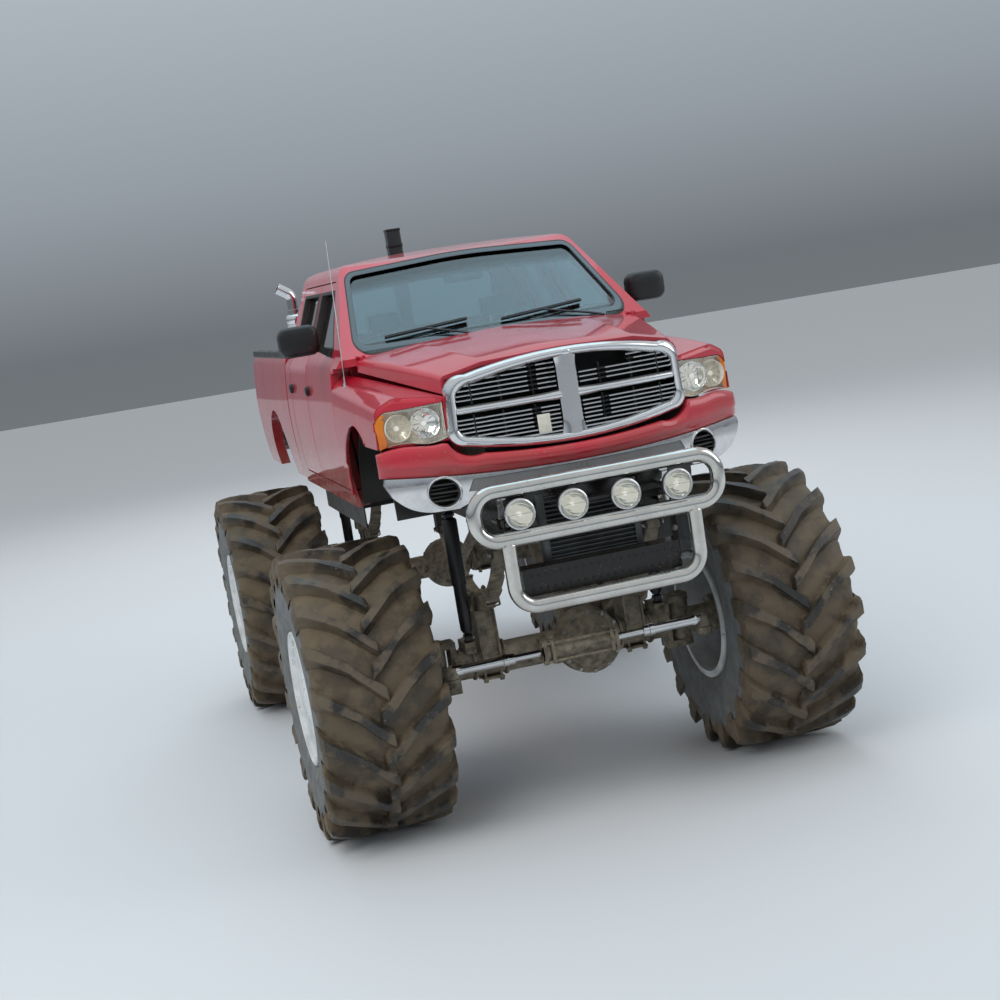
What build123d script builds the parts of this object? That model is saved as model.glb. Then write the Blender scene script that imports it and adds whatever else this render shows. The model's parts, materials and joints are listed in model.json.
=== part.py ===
from build123d import *
import math
import os

# Monster truck: a four-door pickup body on a tall leaf-sprung chassis with bar-lug tyres.
# Millimetres, +Z up, front of the truck towards -Y, its left side towards +X.
# The origin is on the ground, midway between the axles and on the centre line.

os.makedirs("parts", exist_ok=True)

# Wheels and axles
WHEELBASE = 3570.0
TRACK = 2350.0
TYRE_R = 805.0
TYRE_W = 700.0
TYRE_SIDES = 20
TYRE_WALL = 34.0
CONTACT_FLAT = 3.0
LUG_PAIRS = 20
LUG_HEIGHT = 58.0
RIM_R = 350.0
RIM_LIP = 24.0
RIM_WALL = 14.0
BEAD_IN = 40.0
HUB_R = 150.0
KINGPIN_X = 730.0
STEER_ARM = 380.0
AXLE_R = 88.0
DIFF_X = 150.0
DIFF_R = 190.0
FIT = 0.3
RUN = 0.5

# Body: heights above the ground and widths from the centre line
SILL_Z = 1720.0
FLOOR_Z = 1830.0
FLOOR_T = 40.0
DOOR_Z = 1821.0
BELT_Z = 2600.0
ROOF_Z = 3160.0
SILL_X = 932.0
BODY_X = 978.0
BELT_X = 915.0
ROOF_X = 745.0
WALL = 75.0
ROOF_T = 45.0
DOOR_GAP = 6.0
LATCH_GAP = 10.0
GLASS_T = 6.0
ARCH_R = 510.0
ARCH_Z = 1730.0

# Body: lengths from the front axle
NOSE_DY = 955.0
DOOR_DY = 600.0
PILLAR_DY = 1620.0
REAR_DOOR_DY = 2375.0
CAB_END_DY = 2620.0
BED_DY = 2650.0
BED_END_DY = 4600.0
NOSE_R = 1720.0
GRILLE_R = 2600.0
SCREEN_R = 3262.0
SCREEN_SLOPE = 1.475

# Chassis
RAIL_X = 430.0
RAIL_W = 70.0
RAIL_H = 170.0
RAIL_T = 10.0
SPRING_HALF = 640.0
SPRING_RISE = 300.0
LEAF_T = 16.0
LEAF_W = 76.0
LEAVES = 5

# Bars
BULL_R = 38.0
BULL_X = 680.0
BULL_LOW_X = 530.0
LAMP_R = 78.0

FRONT_Y = -WHEELBASE / 2
REAR_Y = WHEELBASE / 2
WHEEL_X = TRACK / 2
HUB_Z = TYRE_R - CONTACT_FLAT
NOSE_Y = FRONT_Y - NOSE_DY
DOOR_Y = FRONT_Y + DOOR_DY
PILLAR_Y = FRONT_Y + PILLAR_DY
REAR_DOOR_Y = FRONT_Y + REAR_DOOR_DY
CAB_Y = FRONT_Y + CAB_END_DY
BED_Y = FRONT_Y + BED_DY
BED_END_Y = FRONT_Y + BED_END_DY
FIREWALL_Y = DOOR_Y - 95.0
RAIL_TOP = FLOOR_Z - 20.0
RAIL_Z = RAIL_TOP - RAIL_H
BULL_Y = NOSE_Y - 195.0


# Shape helpers: a flat outline is a start point and steps, one point for a line, two for an arc
def outline(start, *steps):
    edges = []
    here = start
    for step in steps:
        if len(step) == 1:
            edges.append(Line(here, step[0]))
        else:
            edges.append(ThreePointArc(here, step[0], step[1]))
        here = step[-1]
    if math.dist(here, start) > 0.01:
        edges.append(Line(here, start))
    return make_face(edges)


def polygon(*points):
    return make_face(Polyline(*points, close=True))


def across(face, x0, x1):
    return extrude(Plane.YZ.offset(x0) * face, x1 - x0, dir=(1, 0, 0))


def along(face, y0, y1):
    return extrude(Pos(0, y0, 0) * (Plane.XZ * face), y1 - y0, dir=(0, 1, 0))


def upward(face, z0, z1):
    return extrude(Pos(0, 0, z0) * face, z1 - z0, dir=(0, 0, 1))


def block(x0, x1, y0, y1, z0, z1):
    centre = Pos((x0 + x1) / 2, (y0 + y1) / 2, (z0 + z1) / 2)
    return centre * Box(abs(x1 - x0), abs(y1 - y0), abs(z1 - z0))


def rod(start, end, radius):
    axis = Vector(*end) - Vector(*start)
    plane = Plane(origin=start, z_dir=axis.normalized())
    return extrude(plane * Circle(radius), axis.length)


def flip(shape):
    return mirror(shape, about=Plane.YZ)


def pair(shape):
    return [shape, flip(shape)]


def save(name, *shapes):
    solids = []
    for shape in shapes:
        solids += shape.solids()
    export_step(solids[0] if len(solids) == 1 else Compound(solids), f"parts/{name}.step")


def rounded(x0, x1, z0, z1, r):
    centre = Pos((x0 + x1) / 2, (z0 + z1) / 2)
    return centre * RectangleRounded(x1 - x0, z1 - z0, r)


def polyhedron(faces):
    shell = Shell([Face(Wire.make_polygon([Vector(*p) for p in face])) for face in faces])
    return Solid(shell)


# Tyre: a faceted carcass with slanted lugs, their noses leading when it rolls forward
def ring_point(x, radius, degrees):
    angle = math.radians(degrees)
    return (x, -radius * math.sin(angle), -radius * math.cos(angle))


def make_carcass():
    tread = TYRE_R - LUG_HEIGHT
    side = TYRE_W / 2 - 8.0
    bead = TYRE_W / 2 - BEAD_IN
    hole = (RIM_R + FIT) / math.cos(math.pi / TYRE_SIDES)
    lip = RIM_R + RIM_LIP + 10.0
    profile = [
        (-bead, hole), (-bead, lip), (-side, tread - 190.0), (-side + 12.0, tread - 20.0),
        (side - 12.0, tread - 20.0), (side, tread - 190.0), (bead, lip), (bead, hole),
        (bead - TYRE_WALL, hole), (side - TYRE_WALL, tread - 190.0),
        (side - 2 * TYRE_WALL, tread - 20.0 - TYRE_WALL),
        (-side + 2 * TYRE_WALL, tread - 20.0 - TYRE_WALL),
        (-side + TYRE_WALL, tread - 190.0), (-bead + TYRE_WALL, hole),
    ]
    crown = (0.0, tread)
    profile.insert(4, crown)
    step = 360.0 / TYRE_SIDES
    faces = []
    for k in range(TYRE_SIDES):
        a0 = (k - 0.5) * step
        a1 = a0 + step
        for i, (x0, r0) in enumerate(profile):
            x1, r1 = profile[(i + 1) % len(profile)]
            faces.append([
                ring_point(x0, r0, a0), ring_point(x1, r1, a0),
                ring_point(x1, r1, a1), ring_point(x0, r0, a1),
            ])
    return polyhedron(faces)


def make_lug(side, lead):
    # Columns: x from the centre line, angle behind the nose, outer radius, base radius, half width
    base = TYRE_R - LUG_HEIGHT - 45.0
    stations = [
        (-22.0, 0.0, TYRE_R - 2.0, base, 36.0),
        (150.0, 11.0, TYRE_R, base, 30.0),
        (TYRE_W / 2, 21.0, TYRE_R - 22.0, base - 40.0, 40.0),
    ]
    rings = []
    for x, angle, outer, inner, half in stations:
        spread = math.degrees(half / outer)
        mid = lead + angle
        rings.append([
            ring_point(side * x, outer, mid - spread), ring_point(side * x, outer, mid + spread),
            ring_point(side * x, inner, mid + 1.25 * spread),
            ring_point(side * x, inner, mid - 1.25 * spread),
        ])
    faces = [rings[0][:3], [rings[0][0], rings[0][2], rings[0][3]],
             rings[-1][:3], [rings[-1][0], rings[-1][2], rings[-1][3]]]
    for near, far in zip(rings, rings[1:]):
        for i in range(4):
            j = (i + 1) % 4
            faces.append([near[i], near[j], far[j]])
            faces.append([near[i], far[j], far[i]])
    return polyhedron(faces)


def make_tyre():
    pitch = 360.0 / LUG_PAIRS
    lugs = []
    for k in range(LUG_PAIRS):
        lugs.append(make_lug(1, k * pitch))
        lugs.append(make_lug(-1, (k + 0.5) * pitch))
    tyre = make_carcass().fuse(*lugs)
    reach = TYRE_R + 50.0
    ground = block(-reach, reach, -reach, reach, -reach, -HUB_Z)
    return tyre - ground


# Rim: rolled lips, barrel, a plain outer disc and the hub drum that turns on the spindle
def make_rim():
    half = TYRE_W / 2 - 20.0
    disc = half - 14.0
    bead = TYRE_W / 2 - BEAD_IN + FIT
    lip = RIM_R + RIM_LIP
    inner = RIM_R - RIM_WALL
    profile = outline(
        (-half, inner), ((-half, lip),), ((-bead, lip),), ((-bead, RIM_R),), ((bead, RIM_R),),
        ((bead, lip),), ((half, lip),), ((half, inner),), ((disc, inner),), ((disc - 10.0, 0.0),),
        ((disc - 26.0, 0.0),), ((disc - 26.0, 60.0 + RUN),), ((-150.0, 60.0 + RUN),),
        ((-150.0, HUB_R),), ((disc - 26.0, HUB_R),), ((disc - 16.0, inner),),
    )
    return revolve(profile, Axis.X, 360)


tyre = make_tyre()
rim = make_rim()
WHEELS = {
    "front_left": (1, FRONT_Y), "front_right": (-1, FRONT_Y),
    "rear_left": (1, REAR_Y), "rear_right": (-1, REAR_Y),
}
for name, (side, y) in WHEELS.items():
    place = Pos(side * WHEEL_X, y, HUB_Z)
    save(f"tyre_{name}", place * tyre)
    save(f"rim_{name}", place * (rim if side > 0 else flip(rim)))


# Axles: tube, differential, spring seats, and forks (front) or spindles (rear)
HUB_IN = WHEEL_X - 150.0
FORK_Z = 112.0
FORK_T = 36.0
SPINDLE_R = 60.0
SEAT_Z = HUB_Z + 300.0


def make_axle(y, tube_end, front):
    tube = rod((-tube_end, y, HUB_Z), (tube_end, y, HUB_Z), AXLE_R)
    inward = 1.0 if front else -1.0
    nose_y = y + inward * (DIFF_R + 90.0)
    pieces = [
        Pos(DIFF_X, y, HUB_Z) * Sphere(DIFF_R),
        rod((DIFF_X, y, HUB_Z), (DIFF_X, nose_y, HUB_Z), 75.0),
    ]
    for side in (1, -1):
        x = side * RAIL_X
        pieces.append(block(x - 55, x + 55, y - 80, y + 80, HUB_Z, SEAT_Z - FIT))
        shock_y = y - inward * SHOCK_DY
        pieces.append(block(side * (SHOCK_X - 30), side * (SHOCK_X + 30), shock_y - 30, y,
                            SHOCK_LOW - 60, SHOCK_LOW - FIT)
                      if front else
                      block(side * (SHOCK_X - 30), side * (SHOCK_X + 30), y, shock_y + 30,
                            SHOCK_LOW - 60, SHOCK_LOW - FIT))
        pieces.append(block(side * (SHOCK_X - 30), side * (SHOCK_X + 30), y - 30, y + 30,
                            HUB_Z, SHOCK_LOW - 60 + 1))
    return tube.fuse(*pieces)


SHOCK_X = 560.0
SHOCK_DY = 150.0
SHOCK_LOW = HUB_Z + 150.0
front_axle = make_axle(FRONT_Y, KINGPIN_X - 90.0, True)
fork = []
for side in (1, -1):
    web = block(side * (KINGPIN_X - 110), side * (KINGPIN_X - 76), FRONT_Y - 62, FRONT_Y + 62,
                HUB_Z - FORK_Z - FORK_T, HUB_Z + FORK_Z + FORK_T)
    fork.append(web)
    for low in (HUB_Z + FORK_Z, HUB_Z - FORK_Z - FORK_T):
        ear = block(side * (KINGPIN_X - 110), side * KINGPIN_X, FRONT_Y - 62, FRONT_Y + 62,
                    low, low + FORK_T)
        ear += Pos(side * KINGPIN_X, FRONT_Y, low + FORK_T / 2) * Cylinder(62, FORK_T)
        ear -= Pos(side * KINGPIN_X, FRONT_Y, low + FORK_T / 2) * Cylinder(26 + RUN, 2 * FORK_T)
        fork.append(ear)
rear_axle = make_axle(REAR_Y, HUB_IN - 60.0, False)
rear_axle += rod((-HUB_IN - 90, REAR_Y, HUB_Z), (HUB_IN + 90, REAR_Y, HUB_Z), SPINDLE_R)
save("rear_axle", rear_axle)

# Knuckles: kingpin boss, spindle and a steering arm that points forward
STEER_Y = FRONT_Y - STEER_ARM
ARM_Z = HUB_Z
ARM_T = 36.0
for name, side in (("left", 1), ("right", -1)):
    centre = Pos(side * KINGPIN_X, FRONT_Y, HUB_Z)
    knuckle = centre * Cylinder(56, 2 * FORK_Z - 1.0)
    knuckle += centre * Cylinder(26, 2 * (FORK_Z + FORK_T))
    knuckle += rod((side * KINGPIN_X, FRONT_Y, HUB_Z),
                   (side * (HUB_IN + 90), FRONT_Y, HUB_Z), SPINDLE_R)
    knuckle += rod((side * (HUB_IN - 110), FRONT_Y, HUB_Z), (side * (HUB_IN - 5), FRONT_Y, HUB_Z), 105)
    x0 = side * KINGPIN_X
    arm = block(x0 - 34, x0 + 34, STEER_Y, FRONT_Y - 20, ARM_Z - ARM_T / 2, ARM_Z + ARM_T / 2)
    arm += Pos(x0, STEER_Y, ARM_Z) * Cylinder(44, ARM_T)
    knuckle += arm
    save(f"knuckle_{name}", knuckle)

# Steering: double-ended ram on the axle, sliding rod with an eye above each arm
RAM_Z = ARM_Z + ARM_T / 2 + 42.0
RAM_HALF = 215.0
RAM_R = 48.0
RAM_ROD_R = 20.0
RAM_TRAVEL = 130.0
barrel = rod((-RAM_HALF, STEER_Y, RAM_Z), (RAM_HALF, STEER_Y, RAM_Z), RAM_R)
for x in (-RAM_HALF, RAM_HALF - 34):
    barrel += rod((x, STEER_Y, RAM_Z), (x + 34, STEER_Y, RAM_Z), RAM_R + 14)
barrel -= rod((-RAM_HALF - 5, STEER_Y, RAM_Z), (RAM_HALF + 5, STEER_Y, RAM_Z), RAM_ROD_R + RUN)
save("steering_cylinder", barrel)
for x in (-130.0, 130.0):
    saddle = block(x - 22, x + 22, STEER_Y, FRONT_Y, RAM_Z - RAM_R - 30, RAM_Z + 10)
    saddle -= rod((x - 30, STEER_Y, RAM_Z), (x + 30, STEER_Y, RAM_Z), RAM_R + FIT)
    fork.append(saddle)
save("front_axle", front_axle.fuse(*fork))
tie_in = RAM_HALF + RAM_TRAVEL + 28.0
steering_rod = rod((-tie_in, STEER_Y, RAM_Z), (tie_in, STEER_Y, RAM_Z), RAM_ROD_R)
for side in (1, -1):
    steering_rod += rod((side * tie_in, STEER_Y, RAM_Z), (side * KINGPIN_X, STEER_Y, RAM_Z), 32)
    eye_low = ARM_Z + ARM_T / 2 + 1.0
    eye = rod((side * KINGPIN_X, STEER_Y, eye_low), (side * KINGPIN_X, STEER_Y, RAM_Z + 40), 40)
    steering_rod += eye
save("steering_rod", steering_rod)

# Leaf springs: stacked arcs that rise to the hangers, one pack at each wheel
SPRING_R = (SPRING_HALF ** 2 + SPRING_RISE ** 2) / (2 * SPRING_RISE)


def make_spring(x, y):
    centre_z = SEAT_Z + LEAVES * LEAF_T + SPRING_R
    pack = None
    for k in range(LEAVES):
        reach = SPRING_HALF * (1 - 0.17 * k)
        top = SPRING_R + k * LEAF_T - (1.0 if k else 0.0)
        low = SPRING_R + (k + 1) * LEAF_T
        sweep_angle = math.asin(reach / SPRING_R)
        ends = [(r * math.sin(sweep_angle), centre_z - r * math.cos(sweep_angle)) for r in (top, low)]
        leaf = outline(
            (y - ends[0][0], ends[0][1]), ((y, centre_z - top), (y + ends[0][0], ends[0][1])),
            ((y + ends[1][0], ends[1][1]),), ((y, centre_z - low), (y - ends[1][0], ends[1][1])),
        )
        solid = across(leaf, x - LEAF_W / 2, x + LEAF_W / 2)
        pack = solid if pack is None else pack + solid
    for end in (-1, 1):
        eye_y = y + end * (SPRING_HALF + 8)
        eye_z = centre_z - SPRING_R * math.cos(math.asin(SPRING_HALF / SPRING_R)) + 12
        pack += rod((x - LEAF_W / 2, eye_y, eye_z), (x + LEAF_W / 2, eye_y, eye_z), 30)
    return pack, eye_z


springs = []
for x in (-RAIL_X, RAIL_X):
    for y in (FRONT_Y, REAR_Y):
        pack, EYE_Z = make_spring(x, y)
        springs.append(pack)
save("leaf_springs", *springs)

# Frame: two channel rails, cross members, spring hangers, shock mounts and black sill plates
RAIL_Y0 = NOSE_Y + 90.0
RAIL_Y1 = BED_END_Y - 25.0
inner_rail = RAIL_X - RAIL_W / 2
outer_rail = RAIL_X + RAIL_W / 2
channel = polygon(
    (inner_rail, RAIL_Z), (outer_rail, RAIL_Z), (outer_rail, RAIL_TOP), (inner_rail, RAIL_TOP),
    (inner_rail, RAIL_TOP - RAIL_T), (outer_rail - RAIL_T, RAIL_TOP - RAIL_T),
    (outer_rail - RAIL_T, RAIL_Z + RAIL_T), (inner_rail, RAIL_Z + RAIL_T),
)
rail = along(channel, RAIL_Y0, RAIL_Y1)
SUMP_Z = RAIL_TOP - 60.0
GEARBOX_LOW = RAIL_Z + 30.0
CROSS_MEMBERS = [
    # y, bottom z, top z
    (RAIL_Y0 + 40, RAIL_Z + 25, RAIL_TOP - 25),
    (FRONT_Y - SPRING_HALF + 180, RAIL_Z + 25, RAIL_TOP - 25),
    (FRONT_Y, RAIL_Z + 25, SUMP_Z - FIT),
    (0.0, RAIL_Z + 25, RAIL_TOP - 25),
    (REAR_Y - SPRING_HALF - 60, RAIL_Z + 25, RAIL_TOP - 25),
    (REAR_Y, RAIL_Z + 25, RAIL_TOP - 25),
    (REAR_Y + SPRING_HALF - 60, RAIL_Z + 25, RAIL_TOP - 25),
    (RAIL_Y1 - 40, RAIL_Z + 25, RAIL_TOP - 25),
]
member_x = outer_rail - RAIL_T - FIT
members = [block(-member_x, member_x, y - 35, y + 35, z0, z1) for y, z0, z1 in CROSS_MEMBERS]
SADDLE_Y = FRONT_Y + SPRING_HALF + 85
saddle = block(-outer_rail + 2, outer_rail - 2, SADDLE_Y - 35, SADDLE_Y + 35, RAIL_Z - 40, RAIL_Z - FIT)
saddle += block(-inner_rail + FIT, inner_rail - FIT, SADDLE_Y - 35, SADDLE_Y + 35, RAIL_Z - 40, GEARBOX_LOW - FIT)
for y in (FRONT_Y, REAR_Y):
    for end in (-1, 1):
        eye_y = y + end * (SPRING_HALF + 8)
        cheek = block(RAIL_X - LEAF_W / 2 - 10, RAIL_X + LEAF_W / 2 + 10, eye_y - 34, eye_y + 34,
                      EYE_Z - 20, RAIL_Z + 5)
        slot = block(RAIL_X - LEAF_W / 2 - FIT, RAIL_X + LEAF_W / 2 + FIT, eye_y - 40, eye_y + 40,
                     EYE_Z - 40, EYE_Z + 30 + FIT)
        rail += cheek - slot
SHOCK_TOP = RAIL_Z + 60.0
for y in (FRONT_Y - SHOCK_DY, REAR_Y + SHOCK_DY):
    rail += block(outer_rail - 5, SHOCK_X + 45, y - 40, y + 40, SHOCK_TOP, SHOCK_TOP + 50)
for y in (FIREWALL_Y + 110, 60.0, CAB_Y - 120):
    rail += Pos(RAIL_X, y, (RAIL_TOP + FLOOR_Z) / 2 - 3) * Cylinder(32, FLOOR_Z - RAIL_TOP + 6 - 2 * FIT)
CORE_X = 390.0
CORE_Y = NOSE_Y + 180.0
CORE_TOP = 2380.0
core = block(-CORE_X - 40, CORE_X + 40, CORE_Y - 5, CORE_Y + 65, CORE_TOP, CORE_TOP + 25)
for side in (1, -1):
    core += block(side * CORE_X, side * (CORE_X + 40), CORE_Y - 5, CORE_Y + 65, RAIL_TOP + FIT, CORE_TOP + 5)
SKIRT_X = SILL_X - 40.0
skirt = block(SKIRT_X - 8, SKIRT_X, DOOR_Y + 30, 330, RAIL_Z - 60, SILL_Z - 5)
for y in (-820.0, 90.0):
    skirt += block(outer_rail + FIT, SKIRT_X - 4, y - 30, y + 30, RAIL_Z + 20, RAIL_Z + 70)

# Shock absorbers between the frame mounts and pads on the axles
shocks = []
for side in (1, -1):
    for y in (FRONT_Y - SHOCK_DY, REAR_Y + SHOCK_DY):
        x = side * SHOCK_X
        shock = rod((x, y, SHOCK_LOW), (x, y, SHOCK_TOP - FIT), 22)
        shock += rod((x, y, SHOCK_LOW + 180), (x, y, SHOCK_TOP - 50), 42)
        shocks.append(shock)
save("shock_absorbers", *shocks)

# Engine, gearbox with transfer case, fuel tank and driveshafts
ENGINE_X = 300.0
ENGINE_TOP = 2340.0
GEARBOX_Z = RAIL_Z - 40.0
engine = block(-ENGINE_X, ENGINE_X, FIREWALL_Y - 900, FIREWALL_Y - 40, RAIL_Z + 30, ENGINE_TOP)
engine -= block(-ENGINE_X - 5, ENGINE_X + 5, FIREWALL_Y - 905, FIREWALL_Y - 35, RAIL_Z, RAIL_TOP)
engine += block(-ENGINE_X + 90, ENGINE_X - 90, FIREWALL_Y - 800, FIREWALL_Y - 40, SUMP_Z, RAIL_TOP + 5)
save("engine", engine)
gearbox = block(-170, 170, FIREWALL_Y - 40 + FIT, FIREWALL_Y + 560, GEARBOX_LOW, FLOOR_Z - 10)
transfer = block(-60, 240, FIREWALL_Y + 560, FIREWALL_Y + 800, GEARBOX_Z, FLOOR_Z - 20)
save("gearbox", gearbox + transfer)
TANK_X = 810.0
tank = across(rounded(150, 790, RAIL_Z - 10, FLOOR_Z - FIT, 40), outer_rail + FIT, TANK_X)
save("fuel_tank", tank)

SHAFT_R = 38.0
FRONT_YOKE = (DIFF_X, FRONT_Y + DIFF_R + 90 + FIT, HUB_Z)
REAR_YOKE = (DIFF_X, REAR_Y - DIFF_R - 90 - FIT, HUB_Z)
CASE_Z = GEARBOX_Z + 70
front_case = (DIFF_X, FIREWALL_Y + 560 + 60, GEARBOX_Z - FIT - 60)
rear_case = (DIFF_X, FIREWALL_Y + 800 + FIT + 60, CASE_Z)
front_shaft = rod(FRONT_YOKE, (DIFF_X, FRONT_YOKE[1] + 90, FRONT_YOKE[2]), 60)
front_shaft += rod((DIFF_X, FRONT_YOKE[1] + 60, FRONT_YOKE[2]), front_case, SHAFT_R)
front_shaft += rod(front_case, (front_case[0], front_case[1], GEARBOX_Z - FIT), 60)
rear_shaft = rod((DIFF_X, REAR_YOKE[1] - 90, REAR_YOKE[2]), REAR_YOKE, 60)
rear_shaft += rod(rear_case, (DIFF_X, REAR_YOKE[1] - 60, REAR_YOKE[2]), SHAFT_R)
rear_shaft += rod((DIFF_X, rear_case[1] - 60, CASE_Z), rear_case, 60)
save("driveshafts", front_shaft, rear_shaft)


# Cab section, seen from the front: side bellies, leaning windows and a crowned roof
def body_section(side_in, top_in, bottom):
    corner = (ROOF_X - 33 - 0.85 * side_in, ROOF_Z - 52 - top_in)
    shoulder = (ROOF_X - 105 - side_in, ROOF_Z - 32 - top_in)
    right = [
        ((BODY_X - side_in, (bottom + BELT_Z) / 2 - 40), (BODY_X - 23 - side_in, BELT_Z - 60)),
        ((BELT_X - side_in, BELT_Z),),
        ((ROOF_X - side_in, ROOF_Z - 98 - top_in / 2),),
        (corner, shoulder),
        ((0.0, ROOF_Z - top_in), (-shoulder[0], shoulder[1])),
        ((-corner[0], corner[1]), (side_in - ROOF_X, ROOF_Z - 98 - top_in / 2)),
        ((side_in - BELT_X, BELT_Z),),
        ((side_in + 23 - BODY_X, BELT_Z - 60),),
        ((side_in - BODY_X, (bottom + BELT_Z) / 2 - 40), (side_in - SILL_X, bottom)),
    ]
    return outline((SILL_X - side_in, bottom), *right)


# Everything in front of the curved windscreen, moved back by shift
SCREEN_Y = FRONT_Y + 290.0
SCREEN_Z = BELT_Z + 20.0
SCREEN_LOW = BELT_Z - 60.0


def ahead_of_arc(apex, radius, half, front):
    drop = radius - math.sqrt(radius ** 2 - half ** 2)
    return outline((-half, apex + drop), ((0.0, apex), (half, apex + drop)),
                   ((half, front),), ((-half, front),))


def ahead_of_screen(shift):
    apex = SCREEN_Y + (SCREEN_LOW - SCREEN_Z) * SCREEN_SLOPE + shift
    face = Pos(0, 0, SCREEN_LOW) * ahead_of_arc(apex, SCREEN_R, 1100.0, apex - 1500.0)
    rise = ROOF_Z + 60 - SCREEN_LOW
    lean = Vector(0, SCREEN_SLOPE * rise, rise)
    return extrude(face, lean.length, dir=lean)


REAR_LEAN = 80.0
COWL_Y = SCREEN_Y - 55.0


def cab_side(inset, top_in, bottom, front, low_front):
    return outline(
        (front + inset, bottom), ((front + inset, low_front),), ((COWL_Y - 100 + inset, low_front),),
        ((COWL_Y - 100 + inset, ROOF_Z - 62 - top_in),), ((FRONT_Y + 1000, ROOF_Z - 62 - top_in),),
        ((PILLAR_Y + 50, ROOF_Z - top_in), (CAB_Y - REAR_LEAN - 60, ROOF_Z - 50 - top_in)),
        ((CAB_Y - REAR_LEAN - 22, ROOF_Z - 62 - top_in), (CAB_Y - REAR_LEAN - inset, ROOF_Z - 110)),
        ((CAB_Y - inset, BELT_Z),), ((CAB_Y - inset, bottom),),
    )


def cab_form(side_in, top_in, bottom, inset, shift, low_front):
    form = along(body_section(side_in, top_in, bottom), COWL_Y - 120, CAB_Y + 20)
    side = across(cab_side(inset, top_in, bottom, FIREWALL_Y, low_front), -1100, 1100)
    return (form & side) - ahead_of_screen(shift)


# Doors: lower part square, window frame tapered at the latch edge so that it swings clear
FRAME_TOP = ROOF_Z - 130.0
TAPER = math.tan(math.radians(25.0))
LEAN_X = ROOF_X - BELT_X
LEAN_Z = ROOF_Z - 98.0 - BELT_Z
PILLAR_SLOPE = 1.07


def door_tool(y0, y1, raked, gap, latch):
    low = block(SILL_X - WALL, BODY_X + 30, y0 - gap, y1 + latch, DOOR_Z - gap, BELT_Z - 200)
    low += block(BELT_X - WALL - 20, BODY_X + 30, y0 - gap, y1 + latch, BELT_Z - 200, BELT_Z)
    outer = 90.0
    inner = -WALL - 45.0
    plan = polygon((BELT_X + outer, y0 - gap - 10), (BELT_X + outer, y1 + latch + outer * TAPER),
                   (BELT_X + inner, y1 + latch + inner * TAPER), (BELT_X + inner, y0 - gap - 10))
    lean = Vector(LEAN_X, 0, LEAN_Z)
    high = extrude(Pos(0, 0, BELT_Z) * plan, lean.length, dir=lean)
    rise = FRAME_TOP - BELT_Z
    foot = y0 + 35.0 if raked else y0
    head = foot + rise * PILLAR_SLOPE if raked else y0
    cut = polygon((foot - gap, BELT_Z), (y1 + 200, BELT_Z), (y1 + 200, FRAME_TOP + gap),
                  (head - gap * (0.6 if raked else 1.0), FRAME_TOP + gap))
    high = high & across(cut, 0, 1100)
    return low, high


def window_face(y0, y1, raked, inset):
    low = BELT_Z + 45.0 + inset
    high = FRAME_TOP - 62.0 - inset
    foot = y0 + 125.0 if raked else y0 + 66.0
    head = foot + (high - low) * PILLAR_SLOPE if raked else foot
    clear = inset * (2.6 if raked else 1.0)
    return polygon((foot + clear, low), (y1 - 70 - inset, low), (y1 - 70 - inset, high), (head + clear, high))


DOORS = {
    # name: front edge, rear edge, raked front pillar
    "front": (DOOR_Y, PILLAR_Y, True),
    "rear": (PILLAR_Y + LATCH_GAP, REAR_DOOR_Y, False),
}
SILL_TOP = FLOOR_Z + FLOOR_T
outer_form = cab_form(0, 0, SILL_Z, 0, 0, SCREEN_LOW)
inner_form = cab_form(WALL, ROOF_T, SILL_TOP, 45.0, 66.0, SCREEN_LOW + 30)
under = block(-SILL_X + 82, SILL_X - 82, FIREWALL_Y - 5, CAB_Y + 5, SILL_Z - 5, FLOOR_Z)
cab = outer_form - inner_form - under
plan_front = upward(ahead_of_arc(COWL_Y, SCREEN_R, 1100.0, COWL_Y - 600.0), SCREEN_LOW - 5, BELT_Z + 60)
cab -= plan_front
for side in (1, -1):
    cab -= block(side * (BELT_X - WALL + 8), side * (BODY_X + 20), FIREWALL_Y - 10, DOOR_Y - DOOR_GAP + 1,
                 SILL_Z - 10, SCREEN_LOW - 28)

# Pillars inside the doors: hinge posts at the front and a full ring between the doors
ring_outer = body_section(WALL + DOOR_GAP, ROOF_T - 5, SILL_TOP - 5)
ring_inner = body_section(WALL + DOOR_GAP + 42, ROOF_T + 40, SILL_TOP - 10)
ring_face = ring_outer - ring_inner
pillar_ring = along(ring_face, PILLAR_Y - 40, PILLAR_Y + 50)
low_box = block(-1000, 1000, PILLAR_Y - 60, PILLAR_Y + 80, SILL_TOP - 4, ROOF_Z)
pillar_ring = pillar_ring & low_box
post_face = body_section(WALL + DOOR_GAP, ROOF_T, SILL_TOP - 5) - body_section(WALL + 90, ROOF_T, SILL_TOP - 10)
posts = along(post_face, DOOR_Y - DOOR_GAP, DOOR_Y + 90)
posts = posts & block(-1000, 1000, FIREWALL_Y, DOOR_Y + 90, SILL_TOP - 4, SCREEN_LOW + 10)

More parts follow.
